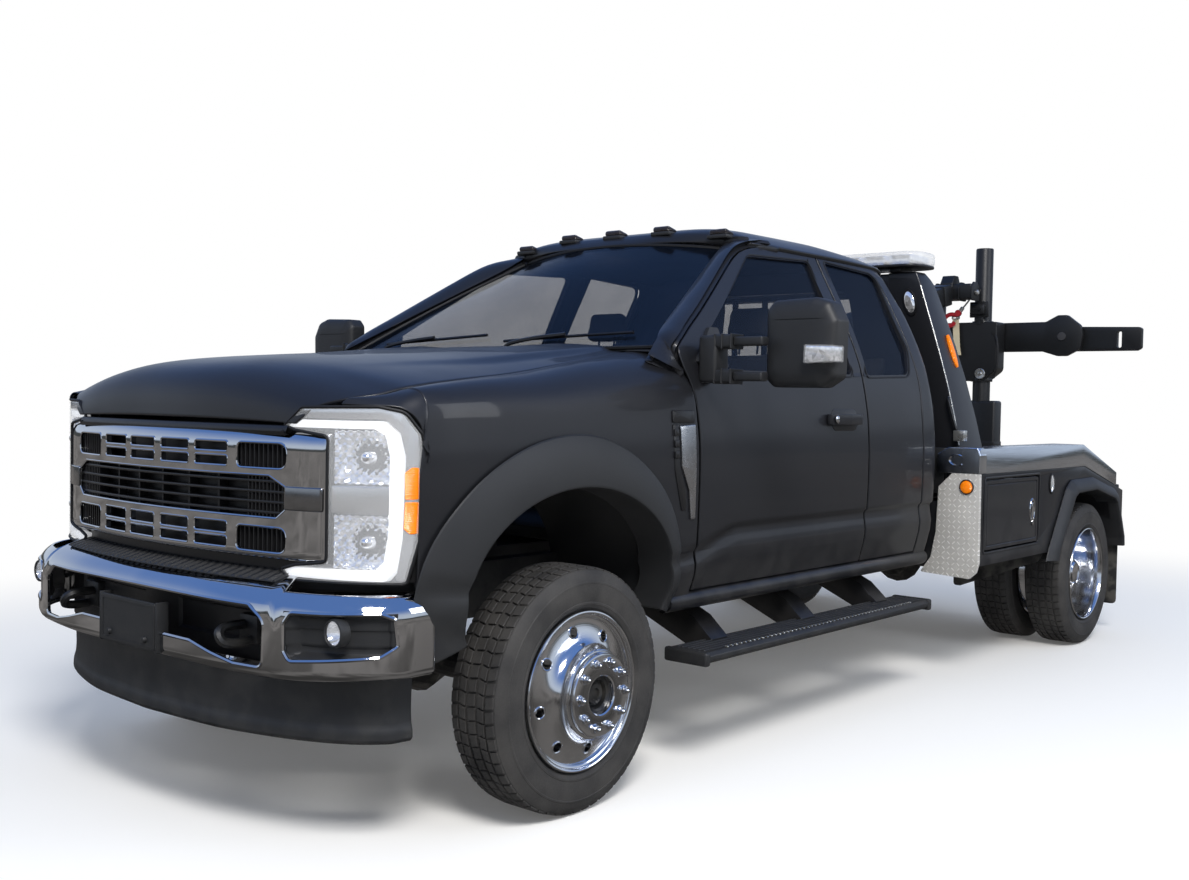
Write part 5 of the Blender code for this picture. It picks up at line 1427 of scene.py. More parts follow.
pair(lamp_piece("lamp_tray", LAMP_OUTLINE, 0.06, 0.075), "truck", SATIN_BLACK, "headlamp_{}")
bezel = rounded([(0.6, 0.826), (0.925, 0.83), (0.945, 0.94), (0.95, 1.18), (0.925, 1.29), (0.68, 1.3),
    (0.61, 1.262), (0.762, 1.238), (0.762, 0.862), (0.64, 0.848)], 0.008)
pair(lamp_piece("lamp_bezel", bezel, 0.032, 0.058), "truck", GREY_CHROME)

# %% [markdown]
# The reflectors are bowls with a stepped, cut-glass look. A grid is pushed back as a shallow bowl and
# each cell is turned a little by a quick wave, so that the chrome breaks its reflections up.

# %% Reflectors
GLOWING_LAMP_CHROME = Finish("lamp_chrome_painted_glow", Metallic=1)
facets = GLOWING_LAMP_CHROME.node("ShaderNodeTexVoronoi", {}, {"Vector": GLOWING_LAMP_CHROME.place, "Scale": 60}, "Color")
GLOWING_LAMP_CHROME.put("Base Color", GLOWING_LAMP_CHROME.blend(GLOWING_LAMP_CHROME.axis("x", facets), (0.7, 0.71, 0.73, 1),
    (0.9, 0.91, 0.93, 1)))
GLOWING_LAMP_CHROME.put("Roughness", GLOWING_LAMP_CHROME.axis("y", facets) * 0.1 + 0.05)
# Painted highlight: the facets glow faintly, so the chrome reads brighter than what it reflects.
GLOWING_LAMP_CHROME.put("Emission Color", GLOWING_LAMP_CHROME.blend(GLOWING_LAMP_CHROME.axis("z", facets), (0.04, 0.04, 0.04, 1),
    (0.24, 0.24, 0.25, 1)))
GLOWING_LAMP_CHROME.shader.inputs["Emission Strength"].default_value = 1


def reflector(name, low, high):
    middle = ((low[0] + high[0]) / 2 + 0.016, (low[1] + high[1]) / 2)
    half = ((high[0] - low[0]) / 2, (high[1] - low[1]) / 2)

    def place(a, b):
        x = low[0] + (high[0] - low[0]) * a
        z = low[1] + (high[1] - low[1]) * b
        r = min(math.hypot((x - middle[0]) / half[0], (z - middle[1]) / half[1]), 1.25)
        dent = (0.003 + 0.0035 * min(r, 1)) * math.sin(a * 47) * math.sin(b * 41)
        return Vector((x, LAMP_Y(x) + 0.014 + 0.024 * max(0, 1 - r * r / 1.4) + dent, z))

    bowl = panel(name, place, 0.008, 0.008, lip=0.003, thick=0.004)
    bulb_at = Vector((middle[0], LAMP_Y(middle[0]) + 0.022, middle[1]))
    bulb = turned("bulb", [(0, -0.022), (0.01, -0.02), (0.017, -0.01), (0.019, 0.004), (0.019, 0.016),
        (0, 0.016)], bulb_at, "y", 20)
    pair(bowl, "truck", GLOWING_LAMP_CHROME.material, slot="chrome", angle=12)
    bulb.name = name + "_bulb"
    pair(bulb, "truck", GLOWING_LAMP_CHROME.material, slot="chrome", angle=50)


reflector("upper_reflector", (0.768, 1.098), (0.918, 1.252))
reflector("lower_reflector", (0.768, 0.852), (0.918, 1.006))
middle_bar = rounded([(0.762, 1.012), (0.918, 1.012), (0.932, 1.028), (0.932, 1.078), (0.918, 1.093),
    (0.762, 1.093)], 0.006)
pair(lamp_piece("lamp_bar", middle_bar, 0.006, 0.05, 0.006, 3), "truck",
    chrome("lamp_bar_silver", (0.62, 0.61, 0.6, 1), 0.2), slot="chrome")

# %% [markdown]
# The guide and the silver rim beside it are narrow outlines that follow the lamp's edge; the marker is
# split in two tips. The clear cover lies over everything, with a thin rubber seal along its rim.

# %% Light guide, marker and cover
guide = [(0.583, 0.845), (0.612, 0.816), (0.912, 0.818), (0.93, 0.85), (0.941, 0.96), (0.943, 1.18),
    (0.934, 1.245), (0.905, 1.281), (0.64, 1.281), (0.596, 1.258), (0.885, 1.258), (0.91, 1.24),
    (0.919, 1.18), (0.918, 0.96), (0.908, 0.872), (0.89, 0.85)]
pair(lamp_piece("light_guide", rounded(guide, 0.01, 3), 0.004, 0.028, 0.003), "truck", WHITE_LAMP)
strip = [(0.612, 1.276), (0.655, 1.314), (0.896, 1.319), (0.944, 1.304), (0.966, 1.249), (0.972, 1.16),
    (0.965, 0.94), (0.95, 0.82), (0.934, 0.82), (0.946, 0.94), (0.95, 1.18), (0.94, 1.248), (0.908, 1.288),
    (0.64, 1.287)]
pair(lamp_piece("lamp_rim", rounded(strip, 0.008, 3), 0.004, 0.03, 0.003), "truck",
    chrome("lamp_rim_silver", (0.7, 0.71, 0.73, 1), 0.14), slot="chrome")
for name, low, high in (("upper", 1.057, 1.149), ("lower", 0.957, 1.049)):
    tip = [(0.952, low), (0.971, low), (0.971, high), (0.962, high), (0.951, high - 0.016)]
    if name == "lower":
        tip = [(0.952, high), (0.95, low + 0.016), (0.96, low), (0.969, low), (0.971, high)]
    pair(lamp_piece("lamp_marker_" + name, rounded(tip, 0.003, 3), -0.003, 0.016, 0.002), "truck", AMBER_LENS)
pair(lamp_piece("lamp_cover", LAMP_OUTLINE, 0, 0.003), "truck", CLEAR_LENS)
pair(bar("lamp_seal", [(x, LAMP_Y(x) + 0.003, z) for x, z in divided(LAMP_OUTLINE, 0.02)], 0.0055, 8, True),
    "truck", RUBBER_SEAL)

# %% [markdown]
# ## The front bumper
#
# One pressed and chromed beam, nearly flat across the front and turned back at its ends. Its top
# rolls over into a broad shelf that is narrower under the lamps. The opening in the middle and the
# two fog lamp recesses are cut through, and each cut edge gets a rolled lip.

# %% Bumper beam
BUMPER_X, BUMPER_Y = stations((0, 0.3, 0.55, 0.7, 0.8, 0.88, 0.94, 1),
    (0, 0.36, 0.66, 0.83, 0.925, 0.982, 1, 1.002), (-0.993, -0.985, -0.948, -0.893, -0.822, -0.74, -0.68,
    -0.6))
SECTION_BACK, SECTION_Z = stations((0, 0.05, 0.12, 0.55, 0.62, 0.7, 0.8, 0.9, 1),
    (0.02, 0.006, 0, 0, 0.004, 0.018, 0.046, 0.084, 0.128), (0.531, 0.54, 0.56, 0.712, 0.738, 0.762, 0.786,
    0.805, 0.822))


def bumper_line(a):
    """Front line of the bumper in plan, a from the right end to the left end."""
    across = 2 * a - 1
    out = abs(across)
    return Vector((math.copysign(BUMPER_X(out), across), BUMPER_Y(out), 0))


def inwards(line, a):
    along = line(min(a + 0.004, 1)) - line(max(a - 0.004, 0))
    return Vector((-along.y, along.x, 0)).normalized()


def bumper_point(a, b):
    base = bumper_line(a)
    reach = 1 - 0.2 * step(0.672, 0.694, abs(base.x))
    t = b * reach
    point = base + inwards(bumper_line, a) * SECTION_BACK(t)
    point.z = SECTION_Z(t) + 0.012 * step(0.7, 1, abs(base.x)) * (1 - step(0, 0.2, b))
    return point


OPENING = rounded([(0, 0.606), (0.325, 0.604), (0.43, 0.58), (0.53, 0.562), (0.646, 0.562), (0.65, 0.7),
    (0.59, 0.741), (0, 0.745)], [0, 0.06, 0.06, 0.04, 0.025, 0.04, 0.03, 0], 5)
OPENING = OPENING + [(-x, z) for x, z in reversed(OPENING) if x > 0.001]
FOG = rounded([(0.742, 0.592), (0.962, 0.612), (0.986, 0.64), (0.982, 0.722), (0.962, 0.737), (0.745, 0.733),
    (0.722, 0.7), (0.722, 0.62)], [0.02, 0.02, 0.02, 0.012, 0.012, 0.02, 0.02, 0.02], 4)
bumper = panel("bumper_beam", bumper_point, 0.026, 0.016, lip=0.005, thick=0.012,
    crowd=(0.04, 0.08, 0.12, 0.55, 0.6, 0.65, 0.7, 0.75))
carve(bumper, plate("cut", OPENING, "y", (-1.2, -0.8)), plate("cut", FOG, "y", (-1.2, -0.55)),
    plate("cut", mirrored(FOG), "y", (-1.2, -0.55)))


def front_of(x):
    """Length of the bumper's front line at a width."""
    low, high = 0.5, 1
    for _ in range(24):
        middle = (low + high) / 2
        low, high = (middle, high) if bumper_line(middle).x < abs(x) else (low, middle)
    return bumper_line(low).y


def bumper_lip(outline, radius):
    line = [(x, front_of(x) + 0.003 + 0.6 * max(0, z - 0.735), z) for x, z in divided(outline, 0.03)]
    return bar("lip", line, radius, 8, True)


bumper = join(bumper, bumper_lip(OPENING, 0.006), bumper_lip(FOG, 0.006), bumper_lip(mirrored(FOG), 0.006))
settle(bumper, "truck", CHROME, "front_bumper", angle=40)

# %% [markdown]
# The fog lamp sits in a black tray with a few long steps. Black plates close the bumper behind the
# opening, with two tow hooks; a blank number plate bracket hangs before the opening's middle.

# %% Fog lamps
def fog_point(a, b):
    x = 0.722 + (0.986 - 0.722) * a
    z = 0.596 + (0.736 - 0.596) * b
    rim = 1 - min(step(0, 0.12, a), step(0, 0.12, 1 - a), step(0, 0.18, b), step(0, 0.18, 1 - b))
    ridge = 0.006 * step(0.6, 0.66, b) + 0.006 * step(0.25, 0.31, b)
    return Vector((x, front_of(x) + 0.048 - 0.034 * rim - ridge, z))


pair(panel("fog_tray", fog_point, 0.014, 0.006, lip=0.002, thick=0.006), "truck", BLACK_PLASTIC, angle=25)
fog_at = Vector((0.872, front_of(0.872) + 0.004, 0.683))
lamp_body = turned("fog_ring", [(0.034, 0.03), (0.041, 0.024), (0.042, 0), (0.04, -0.008), (0.036, -0.01),
    (0.034, -0.006)], fog_at, "y", 32)
pair(lamp_body, "truck", BLACK_PLASTIC)
bowl = turned("fog_bowl", [(0, 0.026), (0.018, 0.02), (0.03, 0.008), (0.035, -0.004), (0.035, 0.028),
    (0, 0.03)], fog_at, "y", 32)
pair(bowl, "truck", GLOWING_LAMP_CHROME.material, slot="chrome")
glass = turned("fog_glass", [(0, -0.014), (0.016, -0.012), (0.03, -0.007), (0.0352, -0.003), (0.0352, 0.001),
    (0, -0.009)], fog_at, "y", 32)
pair(glass, "truck", CLEAR_LENS)

# %% [markdown]
# The hooks are bent round bars. The bracket is a shallow tray with two ears and two knobs.

# %% Tow hooks and number plate bracket
hook = bar("tow_hook", flowing([(0.455, -0.8, 0.655), (0.455, -0.9, 0.658), (0.456, -0.952, 0.655),
    (0.466, -0.974, 0.64), (0.48, -0.968, 0.618), (0.488, -0.93, 0.61), (0.488, -0.88, 0.612)], 6), 0.015, 12)
foot = block("foot", (0.425, -0.88, 0.6), (0.52, -0.8, 0.69), 0.01)
pair(join(hook, foot), "truck", BLACK_STEEL)


def backing_point(a, b):
    x = 0.7 * (2 * a - 1)
    return Vector((x, -0.885 + 0.06 * (x / 0.7) ** 2, 0.545 + 0.215 * b))


backing = panel("bumper_backing", backing_point, 0.1, 0.05, lip=0.004, thick=0.01)
pick(backing, "FACE", lambda c, n: n.y < -0.8 and 0.1 < abs(c.x) < 0.62 and 0.6 < c.z < 0.72)
bpy.ops.mesh.inset(thickness=0.01, depth=-0.012)
leave(backing)
settle(backing, "truck", SATIN_BLACK)

bracket = plate("plate_bracket", rectangle((-0.172, 0.545), (0.156, 0.697), 0.01), "y", (-1.004, -0.996),
    0.002)
carve(bracket, plate("cut", rectangle((-0.158, 0.559), (0.142, 0.683), 0.006), "y", (-1.05, -1.0022)))
sides = [block("ear", (x - 0.005, -1.003, 0.54), (x + 0.005, -0.96, 0.7), 0.003) for x in (-0.178, 0.162)]
knobs = [turned("knob", [(0, -0.012), (0.009, -0.01), (0.011, -0.004), (0.011, 0), (0, 0)],
    (x, -1.002, 0.577), "y", 16) for x in (-0.115, 0.1)]
settle(join(bracket, *sides, *knobs), "truck", BLACK_PLASTIC)

# %% [markdown]
# Between grille and bumper lies a ribbed black step pad on the shelf and a dark filler. Below the
# bumper hangs the air dam, a plain flexible moulding whose lower edge ends in a forward lip.

# %% Step pad and filler
def pad_point(a, b):
    x = 0.61 * (2 * a - 1)
    rib = 0.004 * (1 if math.sin(a * 220) > 0 else -1) * step(0, 0.1, b) * step(0, 0.1, 1 - b)
    return Vector((x, -0.948 + 0.085 * b + 0.055 * (x / 0.61) ** 2, 0.806 + 0.022 * b + rib))


settle(panel("step_pad", pad_point, 0.006, 0.03, lip=0.003, thick=0.012), "truck", BLACK_PLASTIC, angle=20)


def filler_point(a, b):
    x = 0.955 * (2 * a - 1)
    outer = max(0, (abs(x) - 0.6) / 0.355)
    return Vector((x, -0.862 + 0.05 * (x / 0.6) ** 2 * (1 if abs(x) < 0.6 else 1 + 2.2 * outer),
        0.77 + 0.105 * b))


settle(panel("nose_filler", filler_point, 0.05, 0.03, lip=0.003, thick=0.012), "truck", SATIN_BLACK)


# %% [markdown]
# The air dam follows a line of its own in plan, set in from the bumper, and one section table.

# %% Air dam
DAM_X, DAM_Y = stations((0, 0.35, 0.62, 0.8, 0.9, 0.96, 1), (0, 0.33, 0.6, 0.786, 0.868, 0.903, 0.91),
    (-0.95, -0.926, -0.862, -0.78, -0.712, -0.664, -0.6))
DAM_BACK, DAM_Z = stations((0, 0.1, 0.2, 0.28, 0.5, 1), (0.012, 0, 0.001, 0.007, 0.01, 0.004),
    (0.33, 0.345, 0.366, 0.388, 0.43, 0.545))


def dam_line(a):
    across = 2 * a - 1
    return Vector((math.copysign(DAM_X(abs(across)), across), DAM_Y(abs(across)), 0))


def dam_point(a, b):
    point = dam_line(a) + inwards(dam_line, a) * DAM_BACK(b)
    point.z = DAM_Z(b)
    return point


settle(panel("air_dam", dam_point, 0.04, 0.016, lip=0.004, thick=0.008,
    crowd=(0.05, 0.1, 0.15, 0.2, 0.24, 0.28)), "truck", BLACK_PLASTIC, angle=50)

# %% [markdown]
# A small piece of body metal closes the corner between hood, lamp and fender. It runs from the
# lamp's rounded corner back to the hood's edge and on down the fender's front edge.

# %% Fender nose
NOSE_X, NOSE_Z = stations((0, 0.3, 0.5, 0.7, 1), (0.8, 0.925, 0.96, 0.975, 0.979),
    (1.329, 1.326, 1.306, 1.262, 1.16))


def nose_patch_point(a, b):
    inner = Vector((NOSE_X(a), LAMP_Y(NOSE_X(a)) - 0.002, NOSE_Z(a)))
    if a < 0.34:
        edge = 0.17 + (0.285 - 0.17) * a / 0.34
        outer = Vector((HOOD_EDGE_X(edge) + 0.006, HOOD_EDGE_Y(edge) - 0.002, HOOD_EDGE_Z(edge) - 0.004))
    else:
        outer = fender_point(0, 0.985 - 0.375 * (a - 0.34) / 0.66) + Vector((0, 0.008, 0))
    point = inner.lerp(outer, b)
    point += Vector((0.4, -0.3, 0.85)) * 0.012 * math.sin(b * math.pi) * (1 - a * 0.7)
    return point


pair(flip(panel("fender_nose", nose_patch_point, 0.014, 0.01, lip=0.003, thick=0.012)), "truck", BODY_PAINT,
    angle=50)

# %% [markdown]
# ## Wheels and tyres
#
# A tyre is a profile spun round the axle: bead, side wall with two fine rings, and a tread base.
# The tread blocks are shaped once as a short row across the tread and repeated round the wheel by a
# stepped spin. The side walls stay plain.

# %% Tyres
WALL = [(0.2495, 0.084), (0.266, 0.092), (0.27, 0.099), (0.275, 0.1045), (0.281, 0.107), (0.2835, 0.1095),
    (0.289, 0.11), (0.2915, 0.1085), (0.315, 0.1125), (0.335, 0.113), (0.3505, 0.112), (0.3525, 0.113),
    (0.3575, 0.1122), (0.3595, 0.1102), (0.374, 0.106), (0.386, 0.1005), (0.3945, 0.094), (0.397, 0.088)]
TREAD = [(0.3975, 0.058), (0.3975, 0), (0.3975, -0.058)]


def tyre(name, centre):
    profile = WALL + TREAD + [(radius, -along) for radius, along in reversed(WALL)]
    casing = turned(name, profile, centre, "x", 72)
    row = []
    for middle, width, lead in ((-0.076, 0.03, -0.003), (-0.04, 0.026, 0.003), (0, 0.03, -0.002),
            (0.04, 0.026, 0.003), (0.076, 0.03, -0.003)):
        outer = abs(middle) > 0.05
        gap = 0.0045 if outer else 0.003
        long = math.pi * RADIUS / 58 - gap
        drop = 0.0035 if outer else 0
        outline = [(middle - width / 2, -long + lead), (middle + width / 2, -long - lead),
            (middle + width / 2, long - lead), (middle - width / 2, long + lead)]
        lug = plate("lug", outline, "z", (0.39, RADIUS - 0.0012), 0.0016, 1)
        for vertex in lug.data.vertices:
            if vertex.co.z > 0.4 and outer and abs(vertex.co.x) > 0.08:
                vertex.co.z -= drop
        row.append(lug)
    row = join(*row)
    row.data.transform(Matrix.Translation(centre))
    edit(row)
    bpy.ops.mesh.spin(steps=58, dupli=True, angle=2 * math.pi, center=centre, axis=(1, 0, 0))
    leave(row)
    return join(casing, row)


pair(tyre("front_tyre_rubber", FRONT_AT), "front_wheel_{}", TYRE_RUBBER, "front_tyre_{}", angle=28)
pair(tyre("rear_outer_rubber", REAR_AT), "rear_wheel_{}", TYRE_RUBBER, "rear_tyre_outer_{}", angle=28)
pair(tyre("rear_inner_rubber", REAR_INNER_AT), "rear_wheel_{}", TYRE_RUBBER, "rear_tyre_inner_{}", angle=28)

# %% [markdown]
# The wheels are forged aluminium, turned and polished. The front disc bulges outwards to a flanged
# hub with ten nuts and an open bore; the rear outer one is the same wheel turned round, a deep bowl.
# Eight hand holes are drilled through each disc and get a rounded lip.

# %% Wheel helpers
def round_the_axle(piece, centre, count, start=0):
    """Copies of a piece at even turns round an axle along x."""
    rings = []
    for number in range(count):
        one = copied(piece, piece.name, (0, 0, 0))
        turn = (Matrix.Translation(centre) @ Matrix.Rotation(start + 2 * math.pi * number / count, 4,
            "X") @ Matrix.Translation(-centre))
        one.data.transform(turn)
        rings.append(one)
    bpy.data.objects.remove(piece)
    return join(*rings)


def drilled(piece, centre, radius, size, along, slope, count=8, start=0):
    """Drills hand holes and adds their rounded lips; along is the disc's place at that radius."""
    for number in range(count):
        turn = start + 2 * math.pi * number / count
        middle = centre + Vector((0, radius * math.cos(turn), radius * math.sin(turn)))
        hole = turned("hole", [(0, -0.25), (size, -0.25), (size, 0.25), (0, 0.25)], middle, "x", 20)
        carve(piece, hole)
    ring = []
    for k in range(24):
        turn = 2 * math.pi * k / 24
        y, z = radius + size * math.cos(turn), size * math.sin(turn)
        ring.append(centre + Vector((along - slope * size * math.cos(turn), y, z)))
    lip = bar("lip", ring, 0.0032, 8, True)
    return join(piece, round_the_axle(lip, centre, count, start))


def nut(name, centre, along, radius, size=0.0135):
    """Flanged wheel nut with its stud, at the top of its ring."""
    at = centre + Vector((along, radius, 0))
    washer = turned(name, [(0, 0), (size * 1.25, 0), (size * 1.25, 0.0025), (size, 0.005), (0, 0.005)], at,
        "x", 20)
    hexagon = soften(turned(name, [(0, 0.004), (size, 0.004), (size, 0.017), (0, 0.017)], at, "x", 6), 0.0012,
        2, 30)
    stud = turned(name, [(0, 0.015), (0.0065, 0.015), (0.0065, 0.025), (0.004, 0.028), (0, 0.0285)], at, "x",
        16)
    return join(washer, hexagon, stud)


# %% [markdown]
# The front disc is one closed profile: flange, rim well, bulging disc and hub flange.

# %% Front wheels
FRONT_METAL = wheel_metal("front_wheel_metal", (0, AXLE_Y, RADIUS))
front_profile = [(0.26, 0.093), (0.263, 0.099), (0.2635, 0.1045), (0.2615, 0.1085), (0.2575, 0.1095),
    (0.254, 0.1075), (0.252, 0.103), (0.2495, 0.1), (0.245, 0.099), (0.242, 0.0965), (0.24, 0.0905),
    (0.237, 0.0875), (0.23, 0.0875), (0.215, 0.0895), (0.195, 0.0935), (0.177, 0.0995), (0.164, 0.107),
    (0.154, 0.117), (0.147, 0.129), (0.143, 0.143), (0.142, 0.15), (0.1445, 0.153), (0.1445, 0.161),
    (0.1415, 0.164), (0.1365, 0.165), (0.135, 0.169), (0.135, 0.179), (0.1325, 0.183), (0.124, 0.185),
    (0.1, 0.186), (0.074, 0.1865), (0.066, 0.1855), (0.062, 0.182), (0.06, 0.175), (0.06, 0.11),
    (0.115, 0.08), (0.22, 0.056), (0.233, 0.04), (0.238, -0.085), (0.244, -0.103), (0.258, -0.1095),
    (0.2635, -0.1045), (0.26, -0.093), (0.247, -0.086), (0.247, 0.086)]
front_rim = turned("front_wheel_disc", front_profile, FRONT_AT, "x", 96)
front_rim = drilled(front_rim, FRONT_AT, 0.198, 0.0185, 0.0935, 0.28, 8, 0.2)
pair(front_rim, "front_wheel_{}", FRONT_METAL, "front_rim_{}", slot="polished_aluminium", angle=30)
nuts = round_the_axle(nut("wheel_nuts", FRONT_AT, 0.184, 0.108), FRONT_AT, 10)
nuts.name = "front_nuts"
pair(nuts, "front_wheel_{}", CHROME)
hub = turned("front_hub", [(0, 0.15), (0.018, 0.15), (0.02, 0.158), (0.034, 0.158), (0.036, 0.148),
    (0.046, 0.146), (0.048, 0.162), (0.0595, 0.162), (0.0595, 0.1), (0, 0.1)], FRONT_AT, "x", 40)
pair(hub, "front_wheel_{}", BLACK_STEEL)

# %% [markdown]
# Behind, the outer wheel is a deep bowl and the inner one faces the other way on the same drum.

# %% Rear wheels
REAR_METAL = wheel_metal("rear_wheel_metal", (0, AXLE_Y + REAR_Y, RADIUS))
rear_profile = [(0.26, 0.093), (0.263, 0.099), (0.2635, 0.1045), (0.2615, 0.1085), (0.2575, 0.1095),
    (0.254, 0.1075), (0.2505, 0.099), (0.2475, 0.086), (0.244, 0.06), (0.24, 0.015), (0.236, -0.03),
    (0.229, -0.058), (0.215, -0.08), (0.195, -0.096), (0.17, -0.107), (0.145, -0.112), (0.136, -0.11),
    (0.133, -0.106), (0.082, -0.106), (0.082, -0.122), (0.16, -0.122), (0.2, -0.112), (0.23, -0.088),
    (0.247, -0.05), (0.247, 0.084)]
rear_rim = turned("rear_wheel_disc", rear_profile, REAR_AT, "x", 96)
rear_rim = drilled(rear_rim, REAR_AT, 0.19, 0.0185, -0.0985, -0.45, 8, 0.1)
inner_profile = [(0.2635, 0.1045), (0.258, 0.1095), (0.244, 0.102), (0.237, 0.085), (0.235, -0.08),
    (0.244, -0.103), (0.258, -0.1095), (0.2635, -0.1045), (0.247, -0.086), (0.247, 0.086)]
rear_inner = turned("rear_inner_rim", inner_profile, REAR_INNER_AT, "x", 72)
inner_disc = turned("disc", [(0.082, 0.159), (0.2, 0.15), (0.236, 0.07), (0.238, 0.05), (0.195, 0.136),
    (0.082, 0.144)], REAR_INNER_AT, "x", 72)
pair(join(rear_rim, rear_inner, inner_disc), "rear_wheel_{}", REAR_METAL, "rear_rims_{}",
    slot="polished_aluminium", angle=30)
nuts = round_the_axle(nut("wheel_nuts", REAR_AT, -0.107, 0.113), REAR_AT, 10)
nuts.name = "rear_nuts"
pair(nuts, "rear_wheel_{}", CHROME)
cap = turned("rear_hub", [(0, 0.052), (0.04, 0.051), (0.058, 0.047), (0.066, 0.038), (0.068, 0.026),
    (0.078, 0.024), (0.08, 0.02), (0.08, 0.01), (0.072, 0.004), (0.074, -0.11), (0.0815, -0.112),
    (0.0815, -0.32), (0, -0.32)], REAR_AT, "x", 48)
pair(cap, "rear_wheel_{}", REAR_METAL, slot="polished_aluminium")
bolts = turned("bolt", [(0, 0), (0.0065, 0), (0.0065, 0.006), (0, 0.007)],
    REAR_AT + Vector((0.024, 0.073, 0)), "x", 6)
bolts = round_the_axle(bolts, REAR_AT, 8)
bolts.name = "rear_hub_bolts"
pair(bolts, "rear_wheel_{}", ZINC, slot=None)
print("wheels done")

# %% [markdown]
# ## Mirrors
#
# A tall towing mirror on two arms. The head is a rounded shell with a joint line near its top and a
# turn lamp at its outer edge; its glass faces the rear. Both arms telescope out of a bracket that is
# bolted to the door's sail.

# %% Mirrors
head_outline = rounded([(1.192, 1.44), (1.222, 1.412), (1.425, 1.412), (1.484, 1.448), (1.489, 1.65),
    (1.452, 1.716), (1.395, 1.734), (1.222, 1.728), (1.192, 1.696)], 0.028, 4)
head = plate("mirror_head", head_outline, "y", (0.846, 0.905))
middle = Vector((1.342, 0.846, 1.572))
pick(head, "FACE", lambda c, n: n.y < -0.95)
for depth, scale in ((0.01, 0.985), (0.01, 0.955), (0.008, 0.9), (0.005, 0.8), (0.002, 0.62)):
    bpy.ops.mesh.extrude_region_move(TRANSFORM_OT_translate={"value": (0, -depth, 0)})
    bpy.ops.transform.resize(value=(scale, 1, scale), center_override=middle)
leave(head)
carve(head, plate("cut", [(x * 0.9 + 0.134, z * 0.92 + 0.126) for x, z in head_outline], "y", (0.893, 1)),
    block("cut", (1.1, 0.7, 1.6535), (1.6, 0.815, 1.6575)))
pair(head, "front_door_{}", BLACK_PLASTIC, "mirror_{}", angle=50)
MIRROR_GLASS = chrome("mirror_glass", (0.78, 0.8, 0.82, 1), 0.02, 0)
for name, low, high in (("upper", 1.52, 1.705), ("lower", 1.438, 1.508)):
    glass = plate("mirror_glass_" + name, rectangle((1.222, low), (1.462, high), 0.022), "y", (0.894, 0.899),
        0.002)
    pair(glass, "front_door_{}", MIRROR_GLASS, slot="chrome")
lamp_shell = plate("mirror_lamp", rounded([(1.386, 1.5), (1.496, 1.505), (1.498, 1.556), (1.388, 1.56)],
    0.006), "y", (0.778, 0.85), 0.006, 3)
pair(lamp_shell, "front_door_{}", GLOWING_LAMP_CHROME.material, slot="chrome")
lens = plate("mirror_lamp_lens", rounded([(1.382, 1.496), (1.5, 1.501), (1.502, 1.56), (1.384, 1.564)],
    0.008), "y", (0.772, 0.856), 0.008, 3)
pair(lens, "front_door_{}", CLEAR_LENS)

arms = [block("bracket", (0.972, 0.712, 1.425), (1.052, 0.8, 1.6), 0.014, 3)]
for low, high in ((1.552, 1.602), (1.424, 1.474)):
    arms.append(block("stub", (1.02, 0.716, low), (1.118, 0.792, high), 0.01, 3))
    arms.append(block("arm", (1.1, 0.73, low + 0.008), (1.24, 0.778, high - 0.008), 0.008, 3))
    for x in (1.04, 1.072, 1.112):
        arms.append(block("rib", (x, 0.712, low - 0.003), (x + 0.006, 0.796, high + 0.003), 0.002, 1))
arms = join(*arms, name="mirror_arms")
pair(arms, "front_door_{}", BLACK_PLASTIC)

# %% [markdown]
# The front doors have a pull handle with a lock at its front end. The handle is a bowed bar drawn in
# plan and pulled up to its height; a thin satin-black plate behind it is painted shade in the handle's
# recess. The rear doors open from inside and have none.

# %% Door handles
handle_line = [(1.004, 1.6), (1.03, 1.608), (1.044, 1.64), (1.05, 1.74), (1.046, 1.835), (1.032, 1.87),
    (1.004, 1.88), (1.004, 1.862), (1.02, 1.845), (1.028, 1.8), (1.03, 1.74), (1.027, 1.68), (1.004, 1.664)]
handle = plate("door_handle", rounded(handle_line, 0.01, 3), "z", (1.268, 1.312), 0.007, 3)
pair(handle, "front_door_{}", BODY_PAINT, angle=45)
# Painted shade: a dark plate stands where the recess behind the handle lies in shade.
recess_shade = plate("handle_recess_painted_shade", rectangle((1.648, 1.24), (1.868, 1.335), 0.04, 6), "x", (-0.001, 0.0015), 0.001)
pair(draped(recess_shade), "front_door_{}", SATIN_BLACK)
lock = turned("door_lock", [(0, 0), (0.015, 0), (0.016, 0.004), (0.013, 0.006), (0, 0.0065)],
    (1.041, 1.628, 1.29), "x", 24)
pair(lock, "front_door_{}", CHROME)

# %% [markdown]
# Ahead of each front door the fender carries a satin metal blade that narrows downwards, with a blank
# black tile at its top and a short ladder of black slots before it.

# %% Fender trim
blade = plate("fender_blade", rounded([(0.56, 1.268), (0.654, 1.272), (0.654, 0.925), (0.626, 0.925),
    (0.612, 1.03), (0.566, 1.12)], 0.006), "x", (0, 0.009), 0.004, 2)
pair(draped(sliced(blade, "z", [0.95, 1, 1.05, 1.1, 1.15, 1.2, 1.25]), 0.001), "truck",
    chrome("satin_blade", (0.5, 0.51, 0.53, 1), 0.24), slot="chrome")
tile = plate("fender_tile", rectangle((0.52, 1.278), (0.652, 1.322), 0.006), "x", (0, 0.007), 0.002)
vent = plate("fender_vent", rounded([(0.52, 1.272), (0.552, 1.272), (0.556, 1.13), (0.598, 1.03), (0.6, 0.96),
    (0.575, 0.96), (0.53, 1.1)], 0.005), "x", (0, 0.005), 0.002)
rungs = [plate("rung", rectangle((0.524, z), (0.55, z + 0.026), 0.004), "x", (0, 0.01), 0.003)
    for z in (1.15, 1.19, 1.23)]
pair(draped(join(tile, vent, *rungs), 0.001), "truck", SATIN_BLACK)

# %% [markdown]
# ## Running boards
#
# Each board is an extruded step with a rounded outer edge, grip ribs on its top and a row of small
# bright teeth along the edge. Three folded brackets carry it from the frame.

